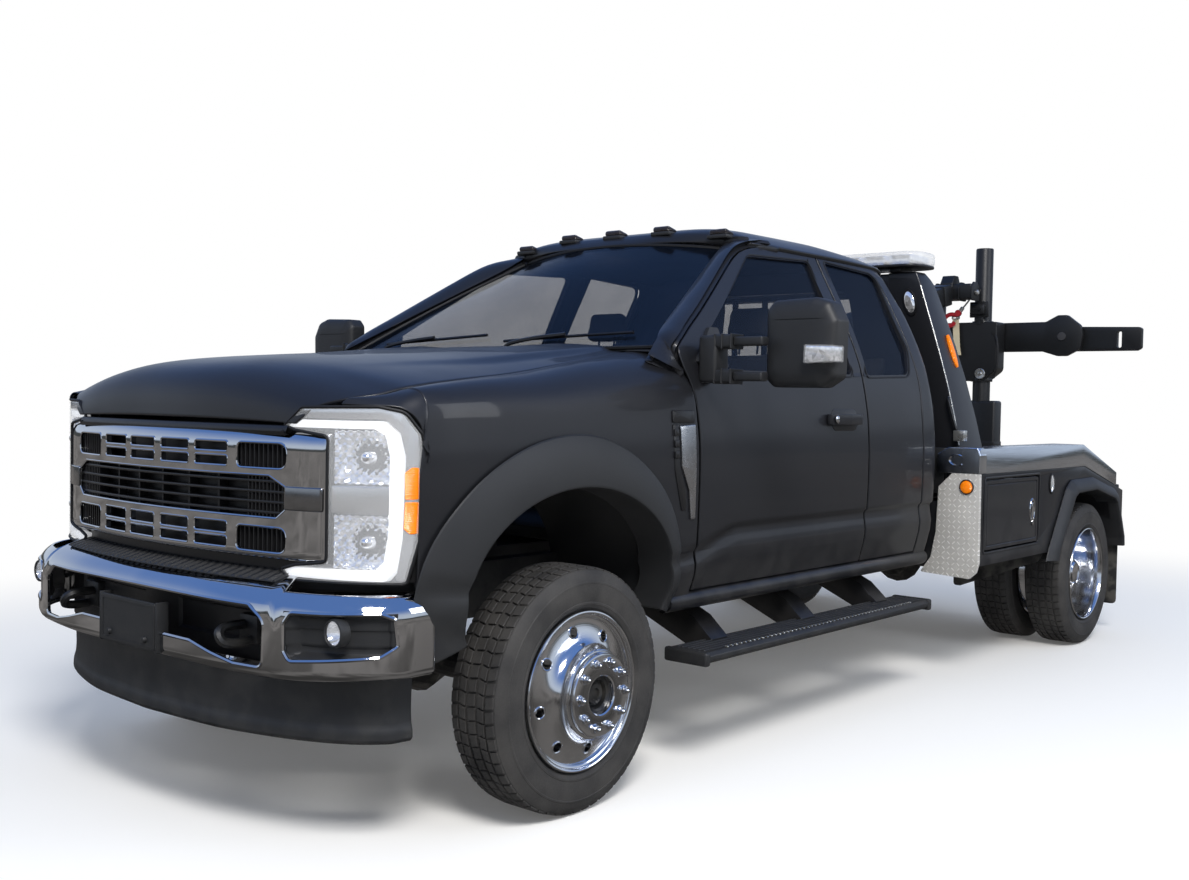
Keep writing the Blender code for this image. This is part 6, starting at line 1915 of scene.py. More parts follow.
# %% Running boards
board = plate("running_board", rounded([(0.93, 0.414), (0.944, 0.405), (1.09, 0.405), (1.116, 0.42),
    (1.116, 0.438), (1.1, 0.45), (0.932, 0.45)], 0.008), "y", (0.602, 2.408), 0.004, 2, 50)
ribs = [block("rib", (x, 0.64, 0.448), (x + 0.01, 2.37, 0.4535), 0.002, 1)
    for x in (0.95, 0.974, 0.998, 1.022, 1.046, 1.07)]
ends = [block("end", (0.926, y, 0.401), (1.12, y + 0.03, 0.4535), 0.01, 3) for y in (0.598, 2.382)]
pair(join(board, *ribs, *ends), "truck", BLACK_PLASTIC, "running_board_{}")
teeth = [block("tooth", (1.086, 0.76 + 0.03 * number, 0.4495), (1.1, 0.771 + 0.03 * number, 0.4555), 0.002, 1)
    for number in range(50)]
teeth = join(*teeth, name="board_teeth")
pair(teeth, "truck", ZINC, slot="chrome")
brackets = []
for y in (0.85, 1.5, 2.15):
    outline = rounded([(0.452, 0.6), (0.452, 0.7), (0.52, 0.7), (0.9, 0.53), (0.985, 0.455), (0.985, 0.408),
        (0.9, 0.408)], 0.01)
    brackets.append(plate("bracket", outline, "y", (y - 0.03, y - 0.022), 0.002))
    brackets.append(plate("bracket", outline, "y", (y + 0.072, y + 0.08), 0.002))
    web = rounded([(0.52, 0.694), (0.52, 0.7), (0.9, 0.53), (0.985, 0.455), (0.985, 0.447), (0.896, 0.522)],
        0)
    brackets.append(plate("web", web, "y", (y - 0.026, y + 0.076)))
brackets = join(*brackets, name="board_brackets")
pair(brackets, "truck", SATIN_BLACK)

# %% [markdown]
# ## Wipers and roof markers
#
# Two wipers lie along the windshield's foot: a bent arm, and a blade that follows the glass. Five
# smoked marker lamps stand across the front of the roof on thin black pads.

# %% Wipers
def on_glass(a, b, proud):
    return windshield_point(a, b) + Vector((0, -0.62, 0.78)) * proud


for name, start, end, root in (("left", 0.56, 0.93, 0.585), ("right", 0.11, 0.48, 0.14)):
    blade = bar("wiper_" + name, [on_glass(start + (end - start) * k / 20, 0.05 + 0.05 * k / 20, 0.012)
        for k in range(21)], 0.0065, 8)
    arm = bar("arm", flowing([on_glass(root, -0.02, 0.004), on_glass(root + 0.01, 0.01, 0.024),
        on_glass(root + 0.08, 0.04, 0.03), on_glass((start + end) / 2, 0.078, 0.022)], 6), 0.0085, 8)
    knob = turned("pivot", [(0, -0.01), (0.018, -0.01), (0.018, 0.012), (0.012, 0.018), (0, 0.019)],
        on_glass(root, -0.02, 0), "z", 20)
    settle(join(blade, arm, knob), "truck", SATIN_BLACK)

# %% [markdown]
# Each marker is a rounded block whose lens falls off towards the rear, set on the roof's own surface.

# %% Roof markers
for number, x in enumerate((-0.57, -0.275, 0, 0.275, 0.57)):
    b = 0.055
    place = roof_point((x / ROOF_EDGE_X(b) + 1) / 2, b)
    pad = block(f"marker_pad_{number}", (x - 0.052, place.y - 0.032, place.z - 0.012),
        (x + 0.052, place.y + 0.048, place.z + 0.006), 0.005, 2)
    settle(pad, "truck", BLACK_PLASTIC)
    dome = block(f"marker_lens_{number}", (x - 0.046, place.y - 0.026, place.z + 0.003),
        (x + 0.046, place.y + 0.04, place.z + 0.03), 0.012, 4)
    for vertex in dome.data.vertices:
        vertex.co.z -= 0.012 * step(0, 0.066, vertex.co.y - place.y + 0.02) * step(0.004, 0.03,
            vertex.co.z - place.z)
    settle(dome, "truck", SMOKED_LENS, angle=50)

# %% [markdown]
# ## The wrecker body
#
# Two side boxes of folded sheet stand beside a flat deck. The outer skin is one plate with a cut for
# the wheels; a hollow box hangs behind its front half, closed by the tool door. A bright folded cap
# covers the top edge and slopes down at the tail.

# %% Side boxes
INNER_X = span("side_body_left")[0].x
arch_cut = rounded([(3.69, 0.4), (3.69, 0.56), (3.935, 0.893), (4.255, 0.902), (4.59, 0.838), (4.745, 0.56),
    (4.745, 0.4)], [0, 0.03, 0.1, 0.06, 0.08, 0.03, 0], 6)
skin = plate("body_skin", rounded([(2.742, 0.582), (2.742, 1.028), (4.148, 1.028), (4.69, 0.896),
    (4.818, 0.866), (4.818, 0.54), (4.7, 0.54), (4.25, 0.54), (3.6, 0.582)], 0.006), "x", (1.184, 1.2))
carve(skin, plate("cut", arch_cut, "x", (1, 1.4)))
mouth = rectangle((2.792, 0.647), (3.478, 1.003), 0.02)
hollow = block("box", (INNER_X, 2.744, 0.584), (1.186, 3.56, 0.885))
carve(hollow, block("cut", (INNER_X + 0.012, 2.756, 0.596), (1.3, 3.548, 0.873)))
shelf = plate("shelf", [(2.744, 0.88), (2.744, 0.895), (3.9, 0.895), (3.9, 0.88)], "x", (1.02, 1.186))
corner = plate("corner", [(4.6, 0.872), (4.69, 0.89), (4.814, 0.862), (4.814, 0.6), (4.806, 0.6),
    (4.806, 0.854), (4.69, 0.881), (4.6, 0.863)], "x", (1, 1.188))
skin = join(skin, hollow, shelf, corner)
carve(skin, plate("cut", mouth, "x", (1.17, 1.3)))
soften(skin, 0.003, 2, 50)
trim = plate("trim", rectangle((2.78, 0.635), (3.49, 1.015), 0.024), "x", (1.198, 1.2035))
carve(trim, plate("cut", rectangle((2.79, 0.645), (3.48, 1.005), 0.02), "x", (1.1, 1.3)))
pair(join(skin, soften(trim, 0.0015, 2, 50)), "truck", BODY_PAINT, "side_body_{}", angle=40)

# %% [markdown]
# The tool door is a flat plate with a groove inside its border; it turns about its front edge. A
# chromed paddle latch sits in an oval dish near its rear edge.

# %% Tool doors and latches
tool_door = plate("tool_door", rectangle((2.8, 0.655), (3.47, 0.995), 0.016), "x", (1.178, 1.2))
carve(tool_door, plate("groove", rectangle((2.8185, 0.6735), (3.4515, 0.9765), 0.01), "x", (1.1965, 1.3)))
pad = plate("tool_door_pad", rectangle((2.823, 0.678), (3.447, 0.972), 0.008), "x", (1.19, 1.1995))
tool_door = join(tool_door, pad)
soften(tool_door, 0.0025, 1, 50)
pair(tool_door, "toolbox_{}", BODY_PAINT, "toolbox_door_{}", angle=20)
dish_at = Vector((1.1985, 3.395, 0.82))
dish = turned("latch_dish", [(0, -0.004), (0.018, -0.004), (0.025, 0.001), (0.028, 0.005), (0.032, 0.005),
    (0.034, 0.001), (0.034, -0.001), (0, -0.006)], dish_at, "x", 36)
paddle = block("paddle", (1.1975, 3.383, 0.79), (1.206, 3.407, 0.842), 0.004, 2)
key = turned("key", [(0, 0), (0.007, 0), (0.007, 0.008), (0, 0.009)], dish_at + Vector((0, 0, -0.034)), "x",
    16)
latch = join(dish, paddle, key)
for vertex in latch.data.vertices:
    vertex.co.z = dish_at.z + (vertex.co.z - dish_at.z) * 1.9
latch.name = "door_latch"
pair(latch, "toolbox_{}", CHROME)

# %% [markdown]
# The cap is an extruded outline whose long outer edge is rolled over with a wide bevel.

# %% Caps over the body's edge
ALONG = [(2.722, 1.03), (2.722, 1.153), (4.12, 1.153), (4.69, 0.978), (4.69, 0.9), (4.15, 1.03)]
cap = plate("deck_cap", rounded(ALONG, [0.004, 0.01, 0.012, 0.012, 0.004, 0.004], 3), "x", (1.03, 1.203))
pick(cap, "EDGE", lambda one, two: min(one.x, two.x) > 1.2 and abs(one.y - two.y) > 0.3
    and min(one.z, two.z) > 0.95)
bpy.ops.mesh.bevel(offset=0.052, segments=7)
leave(cap)
soften(cap, 0.004, 2, 60)
pair(cap, "truck", BRIGHT_PLATE, "deck_cap_{}", angle=40)
wing = plate("cap_corner", rounded([(0.985, 1.03), (1.206, 1.03), (1.206, 1.12), (1.192, 1.156),
    (1.045, 1.156), (0.985, 1.12)], 0.006), "y", (2.712, 2.79), 0.005, 3, 50)
pair(wing, "truck", BRIGHT_PLATE, angle=40)
ring = [(1.088 + 0.034 * math.cos(math.radians(t)) * 1.15, 2.709, 1.094 + 0.026 * math.sin(math.radians(t)))
    for t in range(50, 311, 10)]
pair(bar("stake_ring", [Vector(p) for p in ring], 0.0045, 8), "truck", CHROME)

# %% [markdown]
# The box's front is faced with bright tread plate, drawn in to clear the cab's corner, with a round
# amber lamp. An oval clear lamp sits ahead of the wheel arch, and a broad black moulding with a
# rolled edge frames the arch.

# %% Kick plate and lamps
kick = plate("kick_plate", rounded([(1.062, 1.03), (1.203, 1.032), (1.206, 0.6), (1.194, 0.552), (1.16, 0.52),
    (0.905, 0.532), (0.96, 0.61), (0.984, 0.74), (0.992, 0.96)], 0.008), "y", (2.716, 2.742), 0.003, 2, 50)
pair(kick, "truck", KICK_TREAD, angle=40)
amber_at = Vector((1.14, 2.716, 0.966))
ring = turned("amber_ring", [(0.03, 0), (0.036, 0), (0.037, -0.006), (0.033, -0.01), (0.03, -0.006)],
    amber_at, "y", 32)
pair(ring, "truck", SATIN_BLACK)
dome = turned("amber_lamp", [(0, 0), (0.031, 0), (0.031, -0.006), (0.024, -0.012), (0.01, -0.015),
    (0, -0.0155)], amber_at, "y", 32)
pair(dome, "truck", AMBER_LENS)


def oval_lamp(name, at, axis, tall, finish):
    """Oval lamp: a chromed dish, a rubber ring and a domed lens, stretched upwards."""
    parts = []
    for suffix, profile, material in (("_ring", [(0.026, 0), (0.031, 0), (0.032, 0.005), (0.028, 0.009),
            (0.026, 0.006)], RUBBER_SEAL), ("_dish", [(0, -0.012), (0.014, -0.01), (0.026, 0), (0.026, 0.004),
            (0.02, -0.002), (0, -0.008)], GLOWING_LAMP_CHROME.material), ("_lens",
            [(0, 0.002), (0.0265, 0.002), (0.0265, 0.007), (0.02, 0.012), (0.008, 0.0145), (0, 0.015)],
            finish)):
        part = turned(name + suffix, profile, at, axis, 32)
        for vertex in part.data.vertices:
            vertex.co.z = at.z + (vertex.co.z - at.z) * tall
        parts.append((part, material))
    for part, material in parts:
        pair(part, "truck", material, slot="lamp_lens")


oval_lamp("side_lamp", Vector((1.2, 3.65, 0.95)), "x", 1.75, CLEAR_LENS)

# %% [markdown]
# The moulding is a panel between an outer and an inner path, rolled inwards at the opening.

# %% Rear arch mouldings
OUTER = [(3.592, 0.535), (3.63, 0.6), (3.86, 0.915), (3.93, 0.958), (4.262, 0.962), (4.64, 0.882),
    (4.7, 0.85), (4.815, 0.6), (4.822, 0.535)]
INNER = [(3.688, 0.535), (3.706, 0.59), (3.915, 0.868), (3.965, 0.892), (4.255, 0.898), (4.575, 0.832),
    (4.615, 0.805), (4.735, 0.585), (4.742, 0.535)]


def along_path(path, share):
    """Point on a smooth line through the corners of a path, evenly by corner."""
    place = share * (len(path) - 1)
    index = min(int(place), len(path) - 2)
    t = place - index
    t = t * t * (3 - 2 * t) * 0.5 + t * 0.5
    return Vector(path[index]).lerp(Vector(path[index + 1]), t)


def rear_flare_point(a, b):
    t = min(b / 0.7, 1)
    spot = along_path(OUTER, a).lerp(along_path(INNER, a), t)
    if b <= 0.7:
        return Vector((1.203 + 0.034 * math.sin(t * math.pi / 2) ** 0.9, spot.x, spot.y))
    turn = (b - 0.7) / 0.3
    return Vector((1.237 - 0.12 * turn ** 1.2, spot.x, spot.y - 0.004 * turn))


flare = panel("rear_flare", rear_flare_point, 0.03, 0.012, lip=0.003, thick=0.006,
    crowd=(0.66, 0.69, 0.71, 0.74))
flip(flare)
pair(flare, "truck", BLACK_PLASTIC, "fender_flare_{}", angle=40)

# %% [markdown]
# Inside, the wheels are covered by a folded steel liner with rubber flaps ahead of and behind them.
# The deck is tread plate on a channel frame; its tail panels carry oval lamps.

# %% Liners and flaps
LINER = [(3.7, 0.56), (3.93, 0.88), (4.255, 0.892), (4.59, 0.828), (4.745, 0.56)]


def rear_liner_point(a, b):
    spot = along_path(LINER, a)
    return Vector((0.64 + 0.545 * b, spot.x, spot.y))


pair(panel("rear_liner", rear_liner_point, 0.05, 0.1, lip=0, thick=0.006), "truck", SATIN_BLACK, slot=None)
front_flap = plate("front_flap", rounded([(0.66, 0.345), (0.7, 0.345), (1.15, 0.53), (1.182, 0.64),
    (0.66, 0.64)], [0.02, 0.02, 0.04, 0, 0]), "y", (3.65, 3.659), 0.002)
pair(front_flap, "truck", MUD_FLAP)
rear_flap = plate("rear_flap", rectangle((0.65, 0.17), (1.185, 0.545), [0.03, 0.03, 0, 0]), "y", (4.8, 4.809),
    0.002)
bolts = [turned("bolt", [(0, 0), (0.009, 0), (0.009, 0.005), (0, 0.006)], (x, 4.809, 0.525), "y", 12)
    for x in (0.68, 0.84, 1, 1.16)]
pair(join(rear_flap, *bolts), "truck", MUD_FLAP)

# %% [markdown]
# The deck is one sheet with two lips; rails, cross beams, a bulkhead and tail panels carry it.

# %% Deck and tail
deck = block("deck_plate", (-1.018, 2.74, 0.905), (1.018, 4.8, 0.93), 0.004)
wells = [block("lip", (sign * 1.03 - 0.012, 2.74, 0.895), (sign * 1.03 + 0.012, 4.68, 1), 0.003)
    for sign in (1, -1)]
settle(join(deck, *wells), "truck", DECK_TREAD, "deck", angle=40)
frame_parts = [block("bulkhead", (-1.01, 2.74, 0.9), (1.01, 2.775, 1.15), 0.006)]
for sign in (1, -1):
    frame_parts.append(block("rail", (sign * 0.415 - 0.035, 2.74, 0.764), (sign * 0.415 + 0.035, 4.76, 0.905),
        0.006))
    frame_parts.append(block("tail", (min(sign * 0.34, sign * 1.18), 4.782, 0.6),
        (max(sign * 0.34, sign * 1.18), 4.818, 0.9), 0.006))
for y in (2.95, 3.45, 3.95, 4.45):
    frame_parts.append(block("beam", (-1, y, 0.85), (1, y + 0.05, 0.903), 0.004))
frame_parts = join(*frame_parts, name="deck_frame")
settle(frame_parts, "truck", BLACK_STEEL)
for name, x, finish in (("stop_lamp", 1.08, RED_LENS), ("turn_lamp", 0.98, RED_LENS),
        ("reverse_lamp", 0.88, CLEAR_LENS)):
    oval_lamp(name, Vector((x, 4.819, 0.8)), "y", 1.7, finish)

# %% [markdown]
# ## Cab guard and light bar
#
# Two tapered posts lean in behind the cab and carry a cross beam. They are folded boxes with a soft
# edge all round. Each has a work lamp on its front and a slim amber marker on its flank. The light
# bar on top is a long clear cover over a row of bright modules.

# %% Guard posts
POST = [(0.93, 0.86, 1.02, 3.28), (1.155, 0.8, 0.995, 3.22), (1.985, 0.572, 0.76, 3.112),
    (2.05, 0.572, 0.735, 3.04)]
POST_IN, POST_OUT, POST_REAR = [smooth(*[(row[0], row[k]) for row in POST]) for k in (1, 2, 3)]
post = block("guard_post", (0, 0, 0.932), (1, 1, 2.048))
sliced(post, "z", [1, 1.155, 1.3, 1.5, 1.7, 1.9, 1.985, 2.015])
for vertex in post.data.vertices:
    x, y, z = vertex.co
    vertex.co.x = POST_IN(z) + (POST_OUT(z) - POST_IN(z)) * x
    vertex.co.y = 2.942 + (POST_REAR(z) - 2.942) * y
soften(post, 0.01, 3, 40)
pair(post, "truck", BODY_PAINT, angle=40)
beam = block("guard_beam", (-0.64, 2.952, 1.93), (0.64, 3.088, 2.044), 0.01, 3)
lower = block("guard_panel", (-0.88, 2.952, 0.932), (0.88, 2.976, 1.4), 0.006)
pick(lower, "FACE", lambda c, n: abs(n.y) > 0.9)
bpy.ops.mesh.inset(thickness=0.05, depth=0)
bpy.ops.mesh.inset(thickness=0.006, depth=-0.005)
leave(lower)
bars = [block("bar", (x - 0.014, 2.956, 1.39), (x + 0.014, 2.984, 1.94), 0.005)
    for x in (-0.4, -0.2, 0, 0.2, 0.4)]
settle(join(beam, lower, *bars), "truck", BODY_PAINT, "cab_guard", angle=40)
work = turned("work_lamp", [(0, 0), (0.028, 0), (0.028, -0.01), (0.02, -0.016), (0, -0.018)], (0, 0, 0), "y",
    32)
rim = turned("work_rim", [(0.027, 0), (0.035, 0), (0.034, -0.012), (0.027, -0.012)], (0, 0, 0), "y", 32)
for one, finish in ((work, GLOWING_LAMP_CHROME.material), (rim, SATIN_BLACK)):
    one.data.transform(Matrix.Translation((0.705, 2.944, 1.89)) @ Matrix.Rotation(math.radians(-16), 4,
        "Y") @ Matrix.Diagonal((1, 1, 2.1, 1)))
    pair(one, "truck", finish, slot="lamp_lens")
marker = plate("post_marker", arc((0, 0), (0.02, 0.09), 0, 345, 23), "x", (-0.004, 0.012), 0.005, 3)
lean = math.atan((0.995 - 0.76) / (1.985 - 1.155))
marker.data.transform(Matrix.Translation((POST_OUT(1.64), 3.085, 1.64)) @ Matrix.Rotation(-lean, 4,
    "Y") @ Matrix.Rotation(math.radians(8), 4, "X"))
pair(marker, "truck", AMBER_LENS)
handle = bar("guard_handle", flowing([(0.985, 2.944, 1.22), (0.99, 2.915, 1.23), (0.965, 2.91, 1.31),
    (0.94, 2.915, 1.39), (0.932, 2.944, 1.4)], 6), 0.008, 10)
pair(handle, "truck", BLACK_STEEL, slot=None)
# Painted highlight: a thin bright bar along each post's outer front edge.
highlight_line = [Vector((POST_OUT(z) - 0.004, 2.945, z)) for z in (1.16, 1.3, 1.45, 1.6, 1.75, 1.9, 1.975)]
pair(bar("post_edge_painted_highlight", highlight_line, 0.0035, 8), "truck", ZINC, slot=None)
bracket = block("guard_clip", (0.975, 2.905, 1.18), (1.035, 2.945, 1.235), 0.005)
pair(bracket, "truck", ZINC, slot="chrome")

# %% [markdown]
# The light bar's modules are seen through its cover, so each one has a pressed-in face.

# %% Light bar
inner_row = []
for number in range(10):
    x = -0.66 + 0.1465 * number
    module = block("module", (x - 0.064, 2.905, 2.084), (x + 0.064, 3.115, 2.136), 0.01, 2)
    pick(module, "FACE", lambda c, n: abs(n.y) > 0.9)
    bpy.ops.mesh.inset(thickness=0.008, depth=-0.01)
    leave(module)
    inner_row.append(module)
inner_row = join(*inner_row, name="light_modules")
settle(inner_row, "truck", GLOWING_LAMP_CHROME.material, "light_bar", slot="lamp_lens")
base = plate("light_bar_base", rectangle((-0.772, 2.875), (0.772, 3.145), 0.11, 8), "z", (2.07, 2.084), 0.004)
feet = [block("foot", (sign * 0.62 - 0.03, 2.93, 2.046), (sign * 0.62 + 0.03, 3.07, 2.074), 0.005)
    for sign in (1, -1)]
settle(join(base, *feet), "truck", SATIN_BLACK)
cover = plate("light_bar_cover", rectangle((-0.776, 2.87), (0.776, 3.15), 0.12, 8), "z", (2.08, 2.15), 0.022,
    4)
settle(cover, "truck", see_through("bar_cover", (0.8, 0.82, 0.85, 1), 0.42, 0.06), slot="lamp_lens", angle=60)

# %% [markdown]
# ## Mast, winch and boom
#
# The mast is a welded box with cheeks that hold the boom's pin and the cylinder's foot. Two rope
# drums sit on its flanks. The boom is a box beam with a head that carries two rope sheaves.

# %% Mast and winch drums
mast = block("mast_column", (-0.158, 3.332, 0.932), (0.158, 3.556, 1.676), 0.01, 3)
plates = [plate("cheek", rounded([(3.3, 0.932), (3.64, 0.932), (3.6, 1.1), (3.572, 1.66), (3.32, 1.66),
    (3.3, 1.1)], 0.02), "x", (sign * 0.156 - 0.008, sign * 0.156 + 0.008), 0.003) for sign in (1, -1)]
for sign in (1, -1):
    ear = [(3.335, 1.6), (3.555, 1.6), (3.555, 1.68)] + arc((3.45, 1.8), 0.06, 0, 180, 12) + [(3.335, 1.68)]
    plates.append(plate("ear", ear, "x", (sign * 0.081 - 0.014, sign * 0.081 + 0.014), 0.003))
    foot = rounded([(3.53, 1.02), (3.8, 1.06), (3.805, 1.16), (3.74, 1.18), (3.53, 1.245)], 0.03)
    plates.append(plate("foot", foot, "x", (sign * 0.062 - 0.009, sign * 0.062 + 0.009), 0.003))
    plates.append(block("base", (sign * 0.14 - 0.1, 3.28, 0.931), (sign * 0.14 + 0.1, 3.66, 0.949), 0.004))
pins = [turned("pin", [(0, -0.1), (0.022, -0.1), (0.024, -0.096), (0.024, 0.096), (0.022, 0.1), (0, 0.1)],
    (0, y, z), "x", 24) for y, z in ((3.45, 1.8), (3.76, 1.12))]
settle(join(mast, *plates, *pins), "truck", BLACK_STEEL, "mast", angle=40)
DRUM = [(0, 0.162), (0.045, 0.162), (0.05, 0.17), (0.098, 0.172), (0.1, 0.176), (0.098, 0.18), (0.066, 0.184)]
DRUM += [(0.066 + (0.005 if k % 2 else 0), 0.186 + 0.0055 * k) for k in range(22)]
DRUM += [(0.066, 0.308), (0.098, 0.312), (0.1, 0.316), (0.098, 0.32), (0.045, 0.324), (0.04, 0.33), (0, 0.33)]
drum = turned("winch_drum", DRUM, Vector((0, 3.445, 1.4)), "x", 48)
pair(drum, "truck", ENGINE_IRON, slot="black_steel")
tube = plate("mast_brace", rounded([(3.3, 1.64), (3.56, 1.64), (3.56, 1.672), (3.3, 1.672)], 0.006), "x",
    (0.1, 0.34), 0.004)
pair(tube, "truck", BLACK_STEEL)

# %% [markdown]
# Parts that lie along a slope are made upright at the origin and then turned into place.

# %% Aim a part along a line
def aimed(piece, start, towards):
    """Turns a part made along z so that it starts at a point and runs towards another."""
    start, towards = Vector(start), Vector(towards)
    turn = (towards - start).normalized().to_track_quat("Z", "X").to_matrix().to_4x4()
    piece.data.transform(Matrix.Translation(start) @ turn)
    return piece


# %% [markdown]
# The boom is two box beams, one inside the other, with a collar where they meet.

# %% Boom
tail, head = Vector((0, 3.4, 1.789)), Vector((0, 4.93, 2.12))
length = (head - tail).length
beam = aimed(block("boom_beam", (-0.06, -0.06, 0), (0.06, 0.06, 0.92 * length), 0.01, 3), tail, head)
inner_beam = aimed(block("inner", (-0.046, -0.046, 0.88 * length), (0.046, 0.046, 0.985 * length), 0.007, 3),
    tail, head)
collar = aimed(block("collar", (-0.068, -0.068, 0.86 * length), (0.068, 0.068, 0.925 * length), 0.006, 3),
    tail, head)
under = aimed(block("under", (-0.03, 0.056, 0.25 * length), (0.03, 0.072, 0.8 * length), 0.004), tail, head)
lug = plate("lug", rounded([(4.165, 1.935), (4.192, 1.83), (4.248, 1.83), (4.275, 1.95)], 0.012), "x",
    (-0.014, 0.014), 0.003)
yoke = plate("yoke", rounded([(4.86, 2.07), (5, 2.066), (5, 2.17), (4.965, 2.232), (4.905, 2.232),
    (4.87, 2.18)], 0.014), "x", (-0.044, 0.044), 0.006, 3)
head_box = block("head", (-0.172, 4.88, 2.07), (0.172, 4.985, 2.172), 0.01, 3)
cheeks = [plate("cheek", rounded([(4.872, 2.06), (4.995, 2.06), (4.995, 2.15), (4.96, 2.185), (4.905, 2.185),
    (4.872, 2.15)], 0.02), "x", (x - 0.006, x + 0.006), 0.003) for x in (-0.175, -0.085, 0.085, 0.175)]
settle(join(beam, inner_beam, collar, under, lug, yoke, head_box, *cheeks), "boom", BLACK_STEEL, "boom",
    angle=40)
wheel = turned("rope_sheave", [(0, -0.014), (0.052, -0.014), (0.054, -0.008), (0.044, -0.003), (0.044, 0.003),
    (0.054, 0.008), (0.052, 0.014), (0, 0.014)], (0.13, 4.975, 2.125), "x", 36)
pair(wheel, "boom", ZINC, slot="black_steel")
knob = turned("boom_knob", [(0, 0), (0.016, 0), (0.018, 0.004), (0.018, 0.018), (0.012, 0.024), (0, 0.025)],
    (0.176, 4.935, 2.115), "x", 20)
pair(knob, "boom", ZINC, slot=None)

# %% [markdown]
# The lifting ram is a barrel with end caps and a hose, and a chromed rod with a fork.

# %% Ram
FOOT, EYE = Vector((0, 3.76, 1.12)), Vector((0, 4.22, 1.85))
barrel = turned("ram_barrel", [(0, 0.03), (0.044, 0.03), (0.045, 0.034), (0.045, 0.06), (0.04, 0.064),
    (0.04, 0.505), (0.045, 0.509), (0.045, 0.556), (0.043, 0.56), (0.028, 0.56), (0.028, 0.07), (0, 0.07)],
    (0, 0, 0), "z", 36)
aimed(barrel, FOOT, EYE)
eye_ring = turned("eye", [(0.024, -0.044), (0.034, -0.044), (0.035, -0.042), (0.035, 0.042), (0.034, 0.044),
    (0.024, 0.044)], FOOT, "x", 32)
pipe = bar("pipe", [FOOT + (EYE - FOOT).normalized() * s + Vector((0, 0.045, -0.028)) for s in (0.08, 0.5)],
    0.006, 8)
settle(join(barrel, eye_ring, pipe), "boom_barrel", BLACK_STEEL, "boom_barrel", angle=40)
rod = aimed(turned("ram_rod", [(0, 0.09), (0.021, 0.09), (0.022, 0.1), (0.022, 0.795), (0, 0.795)], (0, 0, 0),
    "z", 32), FOOT, EYE)
settle(rod, "boom_rod", CHROME, "boom_rod", angle=40)
fork = aimed(turned("ram_fork", [(0, 0.785), (0.034, 0.785), (0.036, 0.789), (0.036, 0.808), (0.03, 0.812),
    (0, 0.812)], (0, 0, 0), "z", 28), FOOT, EYE)
straps = []
for x in (0.0265, -0.0265):
    strap = aimed(block("strap", (x - 0.006, -0.02, 0.8), (x + 0.006, 0.02, 0.863), 0.004), FOOT, EYE)
    straps += [strap, turned("boss", [(0, -0.007), (0.026, -0.007), (0.026, 0.007), (0, 0.007)],
        EYE + Vector((x, 0, 0)), "x", 24)]
pin = turned("pin", [(0, -0.04), (0.011, -0.04), (0.011, 0.04), (0, 0.04)], EYE, "x", 20)
settle(join(fork, pin, *straps), "boom_rod", BLACK_STEEL, angle=40)

# %% [markdown]
# A short length of wire rope comes off the sheave and is held taut by the red hook, which is stowed on
# the head. A woven strap and its steel buckle hang beside it.

# %% Rope, hook and strap
ROPE = galvanised("wire_rope", (0.4, 0.4, 0.4), 0.42)
RED_PAINT = paint("red_hook", shade(176, 36, 44), dust=False)
STRAP = grained("strap_webbing", shade(196, 186, 160), 0.8, 500, 0.0008, dust=0)
rope = bar("wire_rope", [Vector((0.118, 4.985, 2.075)), Vector((0.088, 4.988, 2.04)),
    Vector((0.052, 4.985, 1.998))], 0.0055, 8)
settle(rope, "boom", ROPE, slot="chrome")
thimble = turned("rope_end", [(0, -0.018), (0.012, -0.018), (0.014, -0.012), (0.014, 0.012), (0.01, 0.02),
    (0, 0.02)], (0, 0, 0), "z", 20)
aimed(thimble, (0.06, 4.985, 2.008), (0.052, 4.985, 1.998))
settle(thimble, "boom", ZINC, slot=None)
hook_line = flowing([(0.045, 4.982, 2), (0.04, 4.982, 1.985), (0.02, 4.982, 1.975), (-0.01, 4.982, 1.978),
    (-0.04, 4.982, 1.968), (-0.058, 4.982, 1.944), (-0.052, 4.982, 1.916), (-0.028, 4.982, 1.902),
    (0, 4.982, 1.908), (0.014, 4.982, 1.926)], 5)
hook = bar("tow_hook_red", hook_line, 0.0145, 12)
for vertex in hook.data.vertices:
    grow = 1 - 0.45 * step(1.96, 1.905, vertex.co.z) * (1 if vertex.co.x > -0.03 else 0)
    vertex.co.y = 4.982 + (vertex.co.y - 4.982) * grow * 0.8
hub = turned("hub", [(0, -0.013), (0.02, -0.013), (0.022, -0.009), (0.022, 0.009), (0.02, 0.013), (0, 0.013)],
    (0.04, 4.982, 1.985), "y", 24)
settle(join(hook, hub), "boom", RED_PAINT, "recovery_hook", slot="black_steel", angle=50)
clip = bar("hook_latch", flowing([(0.04, 4.982, 1.962), (0.022, 4.984, 1.945), (0.014, 4.984, 1.93)], 5),
    0.0045, 8)
settle(clip, "boom", ZINC, slot=None)


def strap_point(a, b):
    z = 1.952 - 0.25 * b
    x = 0.016 + 0.026 * b * b + 0.046 * (a - 0.5)
    return Vector((x, 4.998 + 0.006 * math.sin(b * 5), z))


strap = panel("strap", strap_point, 0.008, 0.01, lip=0.001, thick=0.004)
settle(flip(strap), "boom", STRAP, slot=None, angle=50)
buckle = plate("strap_buckle", rectangle((-0.012, 1.944), (0.044, 1.972), 0.008), "y", (4.991, 5.004), 0.003)
carve(buckle, plate("cut", rectangle((-0.004, 1.95), (0.036, 1.958), 0.003), "y", (4.9, 5.1)))
settle(buckle, "boom", ZINC, slot=None)

# %% [markdown]
# ## The wheel lift
#
# The lift stands folded upright at the tail: a hinged foot, two columns with round tubes above them,
# a carriage that slides on the tubes, and the crossbar with its two arms.

